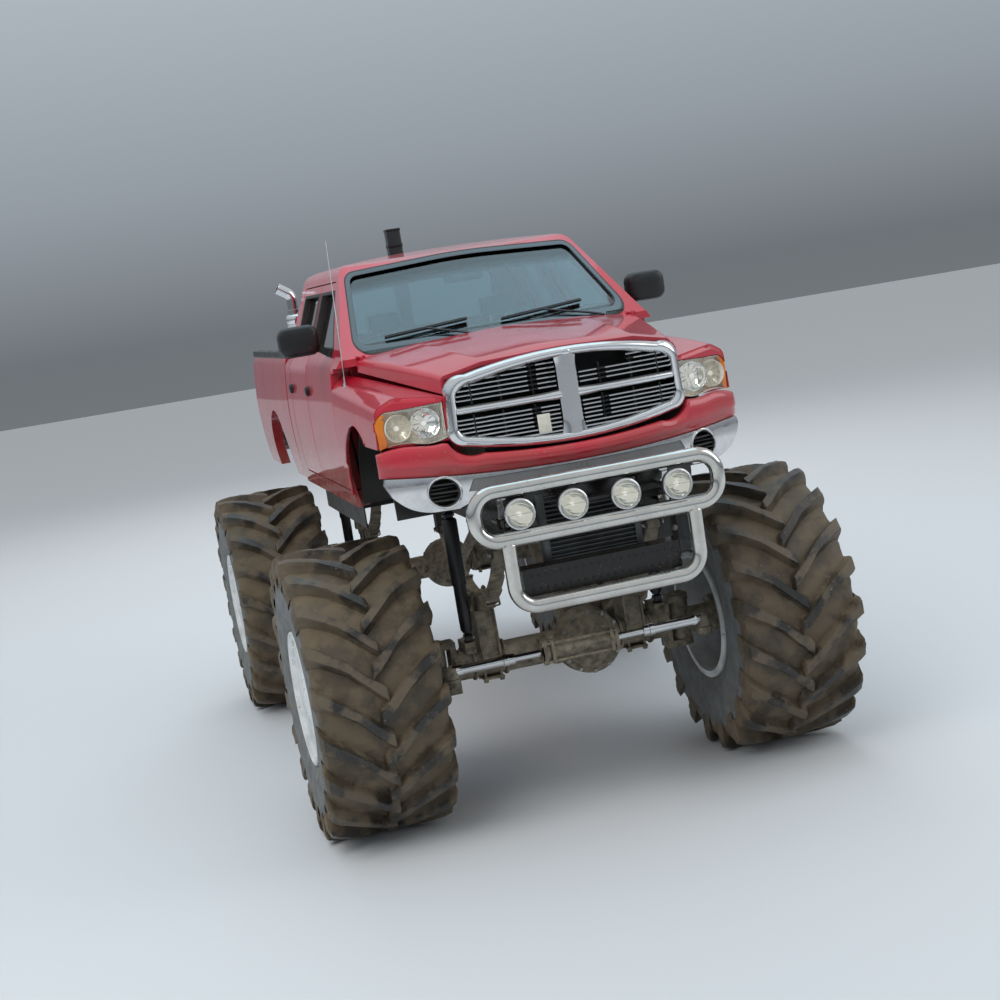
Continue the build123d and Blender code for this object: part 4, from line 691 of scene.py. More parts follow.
def thickened(piece: bpy.types.Object, depth: float, where: float = -1.0, even: bool = True) -> bpy.types.Object:
    """Give a sheet a wall behind its face (where -1) or to both sides of it (0)."""
    wall = piece.modifiers.new("wall", "SOLIDIFY")
    wall.thickness, wall.offset, wall.use_even_offset = depth, where, even
    return baked(piece)


def both_sides(piece: bpy.types.Object) -> bpy.types.Object:
    """Add a piece's mirror image across the centre line."""
    twin = piece.copy()
    twin.data = piece.data.copy()
    twin.data.transform(Matrix.Scale(-1, 4, ACROSS))
    twin.data.flip_normals()
    bpy.context.scene.collection.objects.link(twin)
    return joined(piece.name, piece, twin)


def smoothed(piece: bpy.types.Object, angle: float = 35.0) -> bpy.types.Object:
    """Shade a piece smoothly up to an angle, with even normals."""
    piece.data.shade_smooth()
    piece.data.set_sharp_from_angle(angle=math.radians(angle))
    return weighted(piece)


def bolts(name: str, places: Sequence[Sequence[float]], axis: Sequence[float], radius: float,
          finish: Finish) -> bpy.types.Object:
    """Hexagon heads on washers at a list of places.

    Args:
        name: the piece's name.
        places: where each washer lies.
        axis: which way the heads stand.
        radius: of a head.
        finish: their material.

    Returns:
        One piece with all of them.
    """
    out = Vector(axis)
    head = Soup()
    head.spin([(-0.001, radius * 1.5), (radius * 0.22, radius * 1.45), (radius * 0.22, 0.0001)], ORIGIN, out, 14)
    head.spin([(radius * 0.2, radius), (radius * 0.85, radius), (radius * 1.0, radius * 0.8),
               (radius * 1.0, 0.0001)], ORIGIN, out, 6)
    return repeated(name, head.mesh(f"{name}_head"), Pattern.POINTS, 0, finish, points=places)


class Soup:
    """Loose shapes gathered into one mesh, each with its material index."""

    def __init__(self) -> None:
        """Start empty."""
        self.points: list[Vector] = []
        self.faces: list[list[int]] = []
        self.index: list[int] = []

    def put(self, shape: Shape, material: int = 0) -> "Soup":
        """Add a shape's points and faces."""
        points, faces = shape
        start = len(self.points)
        self.points += [Vector(p) for p in points]
        self.faces += [[start + i for i in face] for face in faces]
        self.index += [material] * len(faces)
        return self

    def box(self, low: Sequence[float], high: Sequence[float], material: int = 0) -> "Soup":
        """Add a box between two corners."""
        xs, ys, zs = zip(low, high)
        points = [Vector((x, y, z)) for x in xs for y in ys for z in zs]
        faces = [[0, 1, 3, 2], [4, 6, 7, 5], [0, 4, 5, 1], [2, 3, 7, 6], [0, 2, 6, 4], [1, 5, 7, 3]]
        return self.put((points, faces), material)

    def tube(self, path: Sequence[Vector], radius: float, count: int = 12, material: int = 0,
             closed: bool = False) -> "Soup":
        """Add a round tube along a path."""
        ahead = (path[1] - path[0]).normalized()
        up = UP if abs(ahead.z) < 0.9 else BACK
        return self.put(swept(path, circle(radius, count), up, closed), material)

    def spin(self, profile: Flat, centre: Vector, axis: Vector, count: int, material: int = 0,
             closed: bool = False) -> "Soup":
        """Add a profile turned about an axis."""
        return self.put(spun(profile, centre, axis, count, closed), material)

    def piece(self, name: str, *finishes: Finish, bevel: float = 0.0, segments: int = 2,
              smooth: float | None = 35.0) -> bpy.types.Object:
        """Turn the soup into a linked piece with its finishes."""
        return new_piece(name, self.mesh(name, bevel, segments), *finishes, smooth=smooth)

    def mesh(self, name: str, bevel: float = 0.0, segments: int = 2) -> bpy.types.Mesh:
        """Turn the soup into a mesh with outward faces, its sharp edges rounded if asked."""
        mesh = bpy.data.meshes.new(name)
        mesh.from_pydata([tuple(p) for p in self.points], [], self.faces)
        mesh.polygons.foreach_set("material_index", self.index)
        shape = bmesh.new()
        shape.from_mesh(mesh)
        bmesh.ops.remove_doubles(shape, verts=shape.verts, dist=1e-6)
        bmesh.ops.recalc_face_normals(shape, faces=shape.faces)
        if bevel:
            edges = [e for e in shape.edges if e.is_manifold and e.calc_face_angle(0.0) > math.radians(32)]
            bmesh.ops.bevel(shape, geom=edges, offset=bevel, segments=segments, profile=0.5, affect="EDGES",
                            clamp_overlap=True)
        shape.to_mesh(mesh)
        shape.free()
        return mesh


def repeated(name: str, template: bpy.types.Mesh, pattern: Pattern, count: int, finish: Finish,
             step: Sequence[float] = (0, 0, 0), start: Sequence[float] = (0, 0, 0),
             centre: Sequence[float] = (0, 0, 0), points: Sequence[Sequence[float]] = ()) -> bpy.types.Object:
    """Repeat a mesh with Geometry Nodes and turn the result into a plain mesh.

    Args:
        name: the piece's name.
        template: the mesh to repeat, placed about the origin.
        pattern: ring, row or points.
        count: how many.
        finish: the material set at the tree's end.
        step: turn between neighbours in radians (ring) or their offset (row).
        start: turn of the first (ring) or its place (row).
        centre: the ring's centre.
        points: the places for the points pattern.

    Returns:
        The plain piece.
    """
    source = bpy.data.objects.new(f"{name}_template", template)
    bpy.context.scene.collection.objects.link(source)
    tree = bpy.data.node_groups.new(f"{name}_layout", "GeometryNodeTree")
    for label, kind, way in (("Geometry", "NodeSocketGeometry", "INPUT"), ("Shape", "NodeSocketObject", "INPUT"),
                             ("Count", "NodeSocketInt", "INPUT"), ("Step", "NodeSocketVector", "INPUT"),
                             ("Start", "NodeSocketVector", "INPUT"), ("Centre", "NodeSocketVector", "INPUT"),
                             ("Finish", "NodeSocketMaterial", "INPUT"),
                             ("Geometry", "NodeSocketGeometry", "OUTPUT")):
        tree.interface.new_socket(label, in_out=way, socket_type=kind)
    entry = add(tree, "NodeGroupInput").outputs
    shape = add(tree, "GeometryNodeObjectInfo", {}, {"Object": entry["Shape"]}).outputs["Geometry"]
    turn: Socket | None = None
    if pattern is Pattern.POINTS:
        places = entry["Geometry"]
    elif pattern is Pattern.ROW:
        places = add(tree, "GeometryNodeMeshLine", {"mode": "OFFSET"}, {
            "Count": entry["Count"], "Start Location": entry["Start"], "Offset": entry["Step"]}).outputs[0]
    else:
        places = add(tree, "GeometryNodeMeshLine", {"mode": "OFFSET"}, {
            "Count": entry["Count"], "Start Location": entry["Centre"], "Offset": (0, 0, 0)}).outputs[0]
        number = add(tree, "GeometryNodeInputIndex").outputs[0]
        scaled = add(tree, "ShaderNodeVectorMath", {"operation": "SCALE"}, {0: entry["Step"], "Scale": number})
        turn = add(tree, "ShaderNodeVectorMath", {"operation": "ADD"},
                   {0: scaled.outputs[0], 1: entry["Start"]}).outputs[0]
    inputs = {"Points": places, "Instance": shape}
    if turn is not None:
        inputs["Rotation"] = turn
    copies = add(tree, "GeometryNodeInstanceOnPoints", {}, inputs).outputs[0]
    real = add(tree, "GeometryNodeRealizeInstances", {}, {0: copies}).outputs[0]
    done = add(tree, "GeometryNodeSetMaterial", {}, {"Geometry": real, "Material": entry["Finish"]}).outputs[0]
    add(tree, "NodeGroupOutput", {}, {0: done})
    holder = bpy.data.meshes.new(name)
    holder.from_pydata([tuple(p) for p in points], [], [])
    piece = bpy.data.objects.new(name, holder)
    bpy.context.scene.collection.objects.link(piece)
    modifier = piece.modifiers.new("layout", "NODES")
    modifier.node_group = tree
    values = {"Shape": source, "Count": count, "Step": tuple(step), "Start": tuple(start),
              "Centre": tuple(centre), "Finish": finish.make()}
    for item in tree.interface.items_tree:
        if item.in_out == "INPUT" and item.name in values:
            modifier[item.identifier] = values[item.name]
    baked(piece)
    bpy.data.objects.remove(source)
    piece.data.shade_smooth()
    piece.data.set_sharp_from_angle(angle=math.radians(35))
    return piece


def joined(name: str, *pieces: bpy.types.Object) -> bpy.types.Object:
    """Join pieces into the first one and rename it."""
    with bpy.context.temp_override(active_object=pieces[0], selected_editable_objects=list(pieces),
                                   selected_objects=list(pieces)):
        bpy.ops.object.join()
    pieces[0].name = name
    return pieces[0]


@dataclass
class Tyres:
    """Four agricultural bar-lug tyres, the look that makes the truck."""

    radius: float = 0.805
    tread: float = 0.747
    half: float = 0.342
    bead: float = 0.31
    rim: float = 0.3515
    lugs: int = 20
    steps: int = 120
    # Clay: where it starts, how much lies on the walls, its lumps (per metre, weight) and its heights in metres
    clean: float = 0.63
    film: float = 0.12
    top: float = 0.80
    lumps: tuple[tuple[float, float], ...] = ((11, 1.0), (27, 0.55), (61, 0.30))
    grit: float = 0.0012
    on_lugs: float = 0.0035
    more_between: float = 0.0030
    stations: tuple[tuple[float, float, float, float, float], ...] = (
        # x, degrees behind the nose, top radius, half width at the top, foot radius
        (-0.030, -2.2, 0.792, 0.028, 0.735),
        (-0.022, -0.6, 0.802, 0.034, 0.735),
        (0.010, 1.2, 0.803, 0.034, 0.735),
        (0.060, 4.6, 0.804, 0.031, 0.735),
        (0.150, 11.0, 0.804, 0.029, 0.735),
        (0.230, 15.2, 0.802, 0.031, 0.730),
        (0.300, 18.4, 0.796, 0.035, 0.720),
        (0.338, 20.2, 0.784, 0.038, 0.700),
        (0.350, 21.0, 0.752, 0.040, 0.660),
        (0.351, 21.4, 0.700, 0.036, 0.640),
        (0.342, 21.6, 0.655, 0.024, 0.600),
    )

    def ring_point(self, x: float, radius: float, degrees: float) -> Vector:
        """A point about the hub, its angle from the ground contact towards the front."""
        angle = math.radians(degrees)
        return Vector((x, -radius * math.sin(angle), -radius * math.cos(angle)))

    def profile(self) -> list[tuple[float, float]]:
        """The carcass from bead to bead outside and back inside."""
        outer = [(self.bead, self.rim), (self.bead + 0.004, 0.372), (self.bead + 0.003, 0.378), (0.322, 0.392),
                 (0.333, 0.430), (0.340, 0.455), (0.3385, 0.460), (0.3445, 0.520), (self.half + 0.004, 0.585),
                 (0.343, 0.640), (0.336, 0.690), (0.322, 0.716), (0.295, 0.732), (0.2, 0.742), (0.09, 0.746)]
        over = outer + [(0.0, self.tread)] + [(-x, r) for x, r in reversed(outer)]
        inner = [(-0.276, self.rim), (-0.306, 0.56), (-0.27, 0.70), (0.27, 0.70), (0.306, 0.56), (0.276, self.rim)]
        return over + inner

    def lug(self) -> bpy.types.Mesh:
        """One lug of the left row, about the hub, its nose at the bottom."""
        rows = []
        flank = ((0.0, 1.62), (0.45, 1.22), (0.86, 1.0), (1.0, 0.86))
        around = [(share, -spread) for share, spread in flank] + list(reversed(flank))
        for x, angle, top, half, foot in self.stations:
            wide = math.degrees(half / top)
            rows.append([self.ring_point(x, foot + (top - foot) * share, angle + wide * spread)
                         for share, spread in around])
        first, last = ends(rows)
        points, faces = grid(rows, closed=True)
        return mesh_from("lug", points, [first, *faces, last])

    def carcass(self) -> bpy.types.Object:
        """The smooth casing with its sidewall rings."""
        points, faces = spun(self.profile(), ORIGIN, ACROSS, self.steps)
        return new_piece("carcass", mesh_from("carcass", points, faces), TYRE_RUBBER)

    def build(self, truck: Truck) -> None:
        """Build one tyre with its dried clay, then set a copy at each wheel."""
        pitch = 2 * math.pi / self.lugs
        left = self.lug()
        right = left.copy()
        right.transform(Matrix.Scale(-1, 4, ACROSS))
        right.flip_normals()
        first = repeated("lugs_a", left, Pattern.RING, self.lugs, TYRE_RUBBER, step=(pitch, 0, 0))
        second = repeated("lugs_b", right, Pattern.RING, self.lugs, TYRE_RUBBER, step=(pitch, 0, 0),
                          start=(pitch / 2, 0, 0))
        whole = joined("tyre_master", self.carcass(), first, second)
        net = whole.modifiers.new("net", "SUBSURF")
        net.subdivision_type, net.levels, net.render_levels = "SIMPLE", 1, 1
        baked(whole)
        self.crust(whole.data)
        self.flatten(whole.data)
        for name, (x, y) in wheel_places().items():
            mesh = whole.data.copy()
            mesh.transform(Matrix.Translation((x, y, HUB_Z)))
            for face in mesh.polygons:
                face.material_index = 1 if self.is_wall(face.center - Vector((x, y, HUB_Z))) else 0
            piece = new_piece(f"bar_lug_tyre_{name}", mesh, TYRE_RUBBER, SIDEWALL, smooth=38.0)
            truck.place(piece, "tyre", f"tyre_{name}", body=f"wheel_{name}")
        bpy.data.objects.remove(whole)

    def is_wall(self, place: Vector) -> bool:
        """Whether a face's middle lies on the casing's side, inside the lugs' feet."""
        radius = math.hypot(place.y, place.z)
        return abs(place.x) > 0.30 and radius < 0.665 and abs(place.x) < 0.3465

    def flatten(self, mesh: bpy.types.Mesh) -> None:
        """Press the lugs flat where they meet the ground."""
        for vertex in mesh.vertices:
            vertex.co.z = max(vertex.co.z, -HUB_Z)

    def crust(self, mesh: bpy.types.Mesh) -> None:
        """Raise crusts of dried clay, and write on each point how much clay lies there: most between the lugs."""
        layer = mesh.attributes.new("clay", "FLOAT", "POINT")
        values, moved = [], []
        for vertex in mesh.vertices:
            place = vertex.co
            radius = math.hypot(place.y, place.z)
            if radius < self.clean:
                values.append(self.film)
                moved.append(place.copy())
                continue
            lump = sum(weight * noise.noise(place * per_metre) for per_metre, weight in self.lumps)
            thick = within((lump - 0.02) / 0.30)
            between = within((self.top - radius) / 0.06)
            values.append(0.40 * between + 0.10 * thick)
            rough = self.grit * noise.noise(place * 95)
            moved.append(place + vertex.normal * (thick * (self.on_lugs + self.more_between * between) + rough))
        layer.data.foreach_set("value", values)
        for vertex, place in zip(mesh.vertices, moved):
            vertex.co = place


def wheel_places() -> dict[str, tuple[float, float]]:
    """Each wheel's name and hub centre."""
    return {f"{end}_{side}": (sign * WHEEL_X, y)
            for end, y in (("front", FRONT_Y), ("rear", REAR_Y)) for side, sign in SIDES}


@dataclass
class Rims:
    """Plain white steel discs close behind a rolled lip."""

    half: float = 0.33
    lip: float = 0.374
    bed: float = 0.3497
    hub: float = 0.150

    def profile(self) -> list[tuple[float, float]]:
        """The rim's section, outer side towards +X."""
        return [(self.half - 0.004, self.lip), (self.half, self.lip - 0.004), (self.half, self.lip - 0.012),
                (self.half - 0.006, self.lip - 0.018), (self.half - 0.012, 0.345), (self.half - 0.014, 0.332),
                (self.half - 0.026, 0.322), (self.half - 0.030, 0.300), (self.half - 0.026, 0.262),
                (self.half - 0.020, 0.240), (self.half - 0.022, 0.18), (self.half - 0.016, 0.118),
                (self.half - 0.010, 0.108), (self.half - 0.010, 0.0001), (self.half - 0.040, 0.0001),
                (self.half - 0.040, self.hub), (-0.15, self.hub), (-0.15, self.hub - 0.04),
                (self.half - 0.044, self.hub - 0.04), (self.half - 0.044, self.hub), (self.half - 0.034, 0.336),
                (-self.half, 0.336), (-self.half, self.lip - 0.006), (-self.half + 0.004, self.lip),
                (-0.3103, self.lip), (-0.3103, self.bed), (0.3103, self.bed), (0.3103, self.lip)]

    def build(self, truck: Truck) -> None:
        """Build each wheel's rim with its valve and hub nuts inside."""
        nut = self.nut()
        for name, (x, y) in wheel_places().items():
            side = 1.0 if x > 0 else -1.0
            place = Vector((x, y, HUB_Z))
            points, faces = spun(self.profile(), place, Vector((side, 0, 0)), 96)
            body = new_piece("rim", mesh_from("rim", points, faces), WHEEL_WHITE)
            nuts = repeated("nuts", nut, Pattern.RING, 10, WHEEL_WHITE, step=(2 * math.pi / 10, 0, 0),
                            centre=(x - side * 0.152, y, HUB_Z))
            valve = Soup().tube([place + Vector((side * (self.half - 0.03), 0.0, 0.29)),
                                 place + Vector((side * (self.half + 0.006), 0.0, 0.285))], 0.006)
            stem = valve.piece("valve", WHEEL_WHITE)
            piece = joined(f"disc_rim_{name}", body, nuts, stem)
            truck.place(piece, "white_paint", f"rim_{name}", body=f"wheel_{name}")

    def nut(self) -> bpy.types.Mesh:
        """One hub nut, its axis along X, out at the bolt circle."""
        points, faces = spun([(-0.014, 0.0001), (-0.014, 0.015), (0.01, 0.017), (0.01, 0.0001)],
                             Vector((0, 0, 0.128)), ACROSS, 6, closed=False)
        return mesh_from("nut", points, faces)


def stage_and_camera() -> None:
    """Set the floor, the backdrop light, the lamps and the photograph's camera."""
    scene = bpy.context.scene
    scene.view_settings.view_transform = "Standard"
    floor = bpy.data.meshes.new("floor")
    reach = 60.0
    floor.from_pydata([(-reach, -reach, 0), (reach, -reach, 0), (reach, reach, 0), (-reach, reach, 0)], [],
                      [(0, 1, 2, 3)])
    ground = bpy.data.objects.new("floor", floor)
    scene.collection.objects.link(ground)
    pale = bpy.data.materials.new("pale_floor")
    pale.use_nodes = True
    pale.node_tree.nodes["Principled BSDF"].inputs["Base Color"].default_value = colour("#c4c6c8")
    pale.node_tree.nodes["Principled BSDF"].inputs["Roughness"].default_value = 0.8
    floor.materials.append(pale)
    world = bpy.data.worlds.new("studio")
    world.use_nodes = True
    scene.world = world
    tree = world.node_tree
    tree.nodes.clear()
    height = add(tree, "ShaderNodeSeparateXYZ", {}, {
        0: add(tree, "ShaderNodeTexCoord").outputs["Generated"]}).outputs["Z"]
    ramp = add(tree, "ShaderNodeValToRGB", {}, {0: add(tree, "ShaderNodeMapRange", {}, {
        0: height, 1: -0.3, 2: 1.0}).outputs[0]})
    stops = ramp.color_ramp.elements
    stops[0].position, stops[0].color = 0.0, colour("#a4a8ac")
    stops[1].position, stops[1].color = 1.0, colour("#ffffff")
    for place, code in ((0.225, "#858b91"), (0.29, "#b2bbc4"), (0.42, "#dde8f1"), (0.62, "#f0f8ff")):
        stops.new(place).color = colour(code)
    back = add(tree, "ShaderNodeBackground", {}, {"Color": ramp.outputs["Color"], "Strength": 0.66})
    add(tree, "ShaderNodeOutputWorld", {}, {"Surface": back.outputs[0]})
    for name, place, size, power, tint in (("key", (-9.0, -9.0, 14.0), 12.0, 1700.0, "#ffffff"),
                                           ("fill", (12.0, -6.0, 8.0), 9.0, 480.0, "#ffffff"),
                                           ("back", (2.0, 13.0, 11.0), 10.0, 700.0, "#ffffff"),
                                           ("sky", (0.0, 1.5, 12.5), 12.0, 520.0, "#a4d6ec")):
        lamp = bpy.data.lights.new(name, "AREA")
        lamp.size = size
        lamp.energy = power
        lamp.color = colour(tint)[:3]
        holder = bpy.data.objects.new(name, lamp)
        scene.collection.objects.link(holder)
        holder.visible_glossy = name in ("fill", "sky")
        holder.location = place
        holder.rotation_euler = (Vector((0, 0, 1.5)) - Vector(place)).to_track_quat("-Z", "Y").to_euler()
    view = bpy.data.cameras.new("photograph")
    view.lens = 60.53
    view.sensor_width = 36.0
    view.clip_end = 200.0
    camera = bpy.data.objects.new("photograph", view)
    scene.collection.objects.link(camera)
    right, up, back_axis = (Vector((0.95537, -0.25142, -0.15505)), Vector((0.18180, 0.08677, 0.97949)),
                            Vector((-0.23281, -0.96398, 0.12861)))
    turn = Matrix((right, up, back_axis)).transposed()
    camera.matrix_world = Matrix.Translation((-2.420, -10.890, 2.896)) @ turn.to_4x4()
    scene.camera = camera


@dataclass
class Bodywork:
    """The painted panels, each rounded as pressed steel is."""

    panels: tuple[tuple[str, str, float], ...] = (
        ("tailgate", "tailgate", 0.005), ("cab", "chassis", 0.006), ("bed", "chassis", 0.005),
        ("door_front_left", "door_front_left", 0.005), ("door_front_right", "door_front_right", 0.005),
        ("door_rear_left", "door_rear_left", 0.005), ("door_rear_right", "door_rear_right", 0.005),
    )

    def build(self, truck: Truck) -> None:
        """Replace each painted CAD panel by its rounded skin."""
        for node, body, width in self.panels:
            piece = softened(truck, node, CHERRY_ENAMEL, width)
            truck.place(piece, "red_paint", node, body=body)


NOSE_Y = -2.740
GRILLE_Y = -2.745
COVER_Y = -2.782
CHROME_Y = -2.790
NOSE_R = 1.720
GRILLE_R = 2.600
SCREEN_R = 3.262
# A plane in front of every panel, where cutters start
AHEAD_OF_ALL = -2.95


@dataclass
class Hood:
    """The hood panel: a raised centre between soft creases, flanks down to the fenders, ribs below."""

    front: tuple[float, ...] = (-2.760, 0.588, 2.350, 2.437, 0.400, 2.494, 2.523)
    rear: tuple[float, ...] = (-1.390, 0.852, 2.512, 2.582, 0.500, 2.624, 2.648)
    front_apex: float = -2.6547
    rear_apex: float = -1.562
    stations: int = 30
    depth: float = 0.022

    def section(self, y: float) -> list[Vector]:
        """The panel's outline across the truck at a distance."""
        share = (y - self.front[0]) / (self.rear[0] - self.front[0])
        half, foot, edge, crease, crest, mid = (a + (b - a) * share for a, b in zip(self.front[1:], self.rear[1:]))
        swell = 0.010 * math.sin(math.pi * within(share))
        curl = 0.012 * max(0.0, 1.0 - (y - self.front_apex) / 0.11) ** 2
        low = foot - swell + curl
        outline = ((-half, low), (-half, edge), (-crease, crest), (0.0, mid), (crease, crest), (half, edge),
                   (half, low))
        corners = [Vector((x, y, z + swell - curl)) for x, z in outline]
        path = rounded_path(corners, (0, 0.030, 0.16, 2.0, 0.16, 0.030, 0), 7)
        fine: list[Vector] = []
        for number, (a, b) in enumerate(zip(path, path[1:])):
            cuts = 6 if number % 8 == 0 else 1
            fine += [a.lerp(b, k / cuts) for k in range(cuts)]
        return fine + [path[-1]]

    def rows(self) -> list[list[Vector]]:
        """Points over the panel, from the grille back to the cowl."""
        sizes = len(self.section(self.front_apex))
        rows = []
        for k in range(self.stations + 1):
            share = (k / self.stations) ** 1.15
            row = []
            for j in range(sizes):
                y = self.front_apex
                for _ in range(4):
                    x = self.section(y)[j].x
                    near = arc_y(self.front_apex, GRILLE_R, x)
                    far = arc_y(self.rear_apex, SCREEN_R, x)
                    y = near + (far - near) * share
                point = self.section(y)[j]
                row.append(Vector((point.x, y, point.z)))
            rows.append(row)
        return rows

    def build(self, truck: Truck) -> None:
        """Build the skin with its wall, inner ribs and hinge straps."""
        rows = self.rows()
        skin = new_piece("hood_skin", mesh_from("hood_skin", *grid(rows)), CHERRY_ENAMEL)
        thickened(skin, self.depth)
        smoothed(skin, 50.0)
        ribs = Soup()
        hat = [(-0.035, 0.0), (-0.022, -0.020), (0.022, -0.020), (0.035, 0.0)]
        last = len(rows[0]) - 1
        for j in (last // 4, last // 2, last - last // 4):
            path = [rows[k][j] - Vector((0, 0, self.depth)) for k in range(2, len(rows) - 2)]
            ribs.put(swept(path, hat, UP))
        for k in (3, 14, len(rows) - 4):
            path = [p - Vector((0, 0, self.depth)) for p in rows[k][14:-14]]
            ribs.put(swept(path, hat, UP))
        for side in (1, -1):
            ribs.box((side * 0.8065, -1.497, 2.572), (side * 0.8235, -1.455, 2.588))
        frame = ribs.piece("hood_ribs", CHERRY_ENAMEL, bevel=0.002, segments=1)
        truck.place(joined("hood_panel", skin, frame), "red_paint", "hood", body="hood")


def lamp_outline(grow: float) -> list[tuple[float, float]]:
    """The left headlamp's edge seen from the front."""
    return traced((0.638 - grow, 2.152 - grow), ((0.700, 2.136 - grow), (0.780, 2.142 - grow)),
                  ((0.860, 2.150 - grow), (0.960 + grow, 2.130 - grow)), ((0.968 + grow, 2.240),),
                  ((0.940 + grow, 2.308 + grow / 2), (0.880, 2.322 + grow)), ((0.638 - grow, 2.336 + grow),))


def grille_outline(inset: float, count: int = 12) -> list[tuple[float, float]]:
    """The grille surround's edge seen from the front, moved in by inset."""
    return traced((-0.570 + inset, 2.096 + inset), ((0.0, 2.036 + inset), (0.570 - inset, 2.096 + inset)),
                  ((0.628 - inset, 2.130 + inset), (0.632 - inset, 2.200)), ((0.624 - inset, 2.360),),
                  ((0.602 - inset, 2.430 - inset), (0.520 - inset, 2.456 - inset)),
                  ((0.0, 2.514 - inset), (-0.520 + inset, 2.456 - inset)),
                  ((-0.602 + inset, 2.430 - inset), (-0.624 + inset, 2.360)), ((-0.632 + inset, 2.200),),
                  ((-0.628 + inset, 2.130 + inset), (-0.570 + inset, 2.096 + inset)), count=count)


@dataclass
class Fenders:
    """Front fenders: a pontoon with a soft crest over the lamp and the wheel opening."""

    front: tuple[float, ...] = (-2.760, 0.594, 2.347, 0.850, 2.358, 0.965)
    rear: tuple[float, ...] = (-1.191, 0.880, 2.508, 0.940, 2.444, 0.978)
    arch_y: float = FRONT_Y
    arch_z: float = 1.730
    arch_r: float = 0.510

    def section(self, share: float) -> list[Vector]:
        """The outline from the sill up, over the crest and in to the hood."""
        y, inner_x, inner_z, crest_x, crest_z, belly = (a + (b - a) * share for a, b in zip(self.front, self.rear))
        lift = 0.024 * math.sin(math.pi * within(share) ** 0.7)
        outline = ((0.932, 1.720), (0.966, 1.900), (0.978, 2.080), (belly + 0.002, 2.230),
                   (belly - 0.006, crest_z - 0.035), (crest_x + 0.004, crest_z + lift), (inner_x, inner_z),
                   (inner_x, inner_z - 0.060))
        corners = [Vector((x, y, z)) for x, z in outline]
        tight = 0.060 - 0.03 * (share * 0.5)
        return rounded_path(corners, (0, 0.4, 0.4, 0.4, tight, tight, 0.010, 0), 6)

    def at(self, y: float) -> list[Vector]:
        """The section at a distance along the truck."""
        return self.section((y - self.front[0]) / (self.rear[0] - self.front[0]))

    def rows(self) -> list[list[Vector]]:
        """Points over the panel, from the curved nose back to the door."""
        rows = []
        for k in range(41):
            row = []
            for j in range(len(self.section(0.0))):
                y = self.front[0]
                for _ in range(4):
                    x = self.at(y)[j].x
                    near = arc_y(NOSE_Y + 0.005, NOSE_R, x)
                    y = near + (self.rear[0] - near) * k / 40
                place = self.at(y)[j]
                row.append(Vector((max(place.x, 0.640 - max(0.0, y + 2.66) * 0.5), place.y, place.z)))
            rows.append(row)
        return rows

    def plate(self) -> bpy.types.Object:
        """The painted face round the lamp, closing the fender's front up to the lamp's edge."""
        rows = []
        for k in range(33):
            x = 0.614 + 0.344 * k / 32
            y = arc_y(NOSE_Y + 0.005, NOSE_R, x)
            edge = self.at(y)
            top = 2.30
            for a, b in zip(edge, edge[1:]):
                if min(a.x, b.x) <= x <= max(a.x, b.x) and min(a.z, b.z) > 2.24:
                    top = a.z + (b.z - a.z) * (x - a.x) / (b.x - a.x + 1e-9) - 0.004
            rows.append([(x, y + 0.008, 2.139 + (top - 2.139) * v / 8) for v in range(9)])
        plate = new_piece("lamp_plate", mesh_from("lamp_plate", *grid(rows)), CHERRY_ENAMEL)
        thickened(plate, 0.010, 0.0, False)
        return carved(plate, prism(lamp_outline(0.0025), "y", AHEAD_OF_ALL, -2.2))

    def build(self, truck: Truck) -> None:
        """Build one fender, cut its openings, roll the wheel lip and mirror it."""
        skin = new_piece("fender_skin", mesh_from("fender", *grid(self.rows())), CHERRY_ENAMEL)
        thickened(skin, 0.018)
        arch = [(self.arch_y + a, self.arch_z + b) for a, b in circle(self.arch_r, 96)]
        block = [(0.4, AHEAD_OF_ALL), (1.1, AHEAD_OF_ALL), (1.1, FRONT_Y), (0.4, FRONT_Y)]
        carved(skin, prism(arch, "x", 0.5, 1.1), prism(block, "z", 1.65, 2.1365),
               prism(lamp_outline(0.003), "y", AHEAD_OF_ALL, -2.392))
        smoothed(skin, 32.0)
        lip = Soup()
        path = []
        for k in range(49):
            angle = math.radians(172 - 170 * k / 48)
            y = self.arch_y - self.arch_r * math.cos(angle)
            z = self.arch_z + self.arch_r * math.sin(angle)
            if y < FRONT_Y and z < 2.142:
                continue
            best = min(self.at(y)[:40], key=lambda p: abs(p.z - z))
            path.append(Vector((best.x - 0.004, y, z)))
        lip.tube(path, 0.008, 8)
        rolled = lip.piece("lip", CHERRY_ENAMEL)
        whole = both_sides(joined("front_fender_skins", skin, rolled, self.plate()))
        truck.place(whole, "red_paint", "front_fenders")


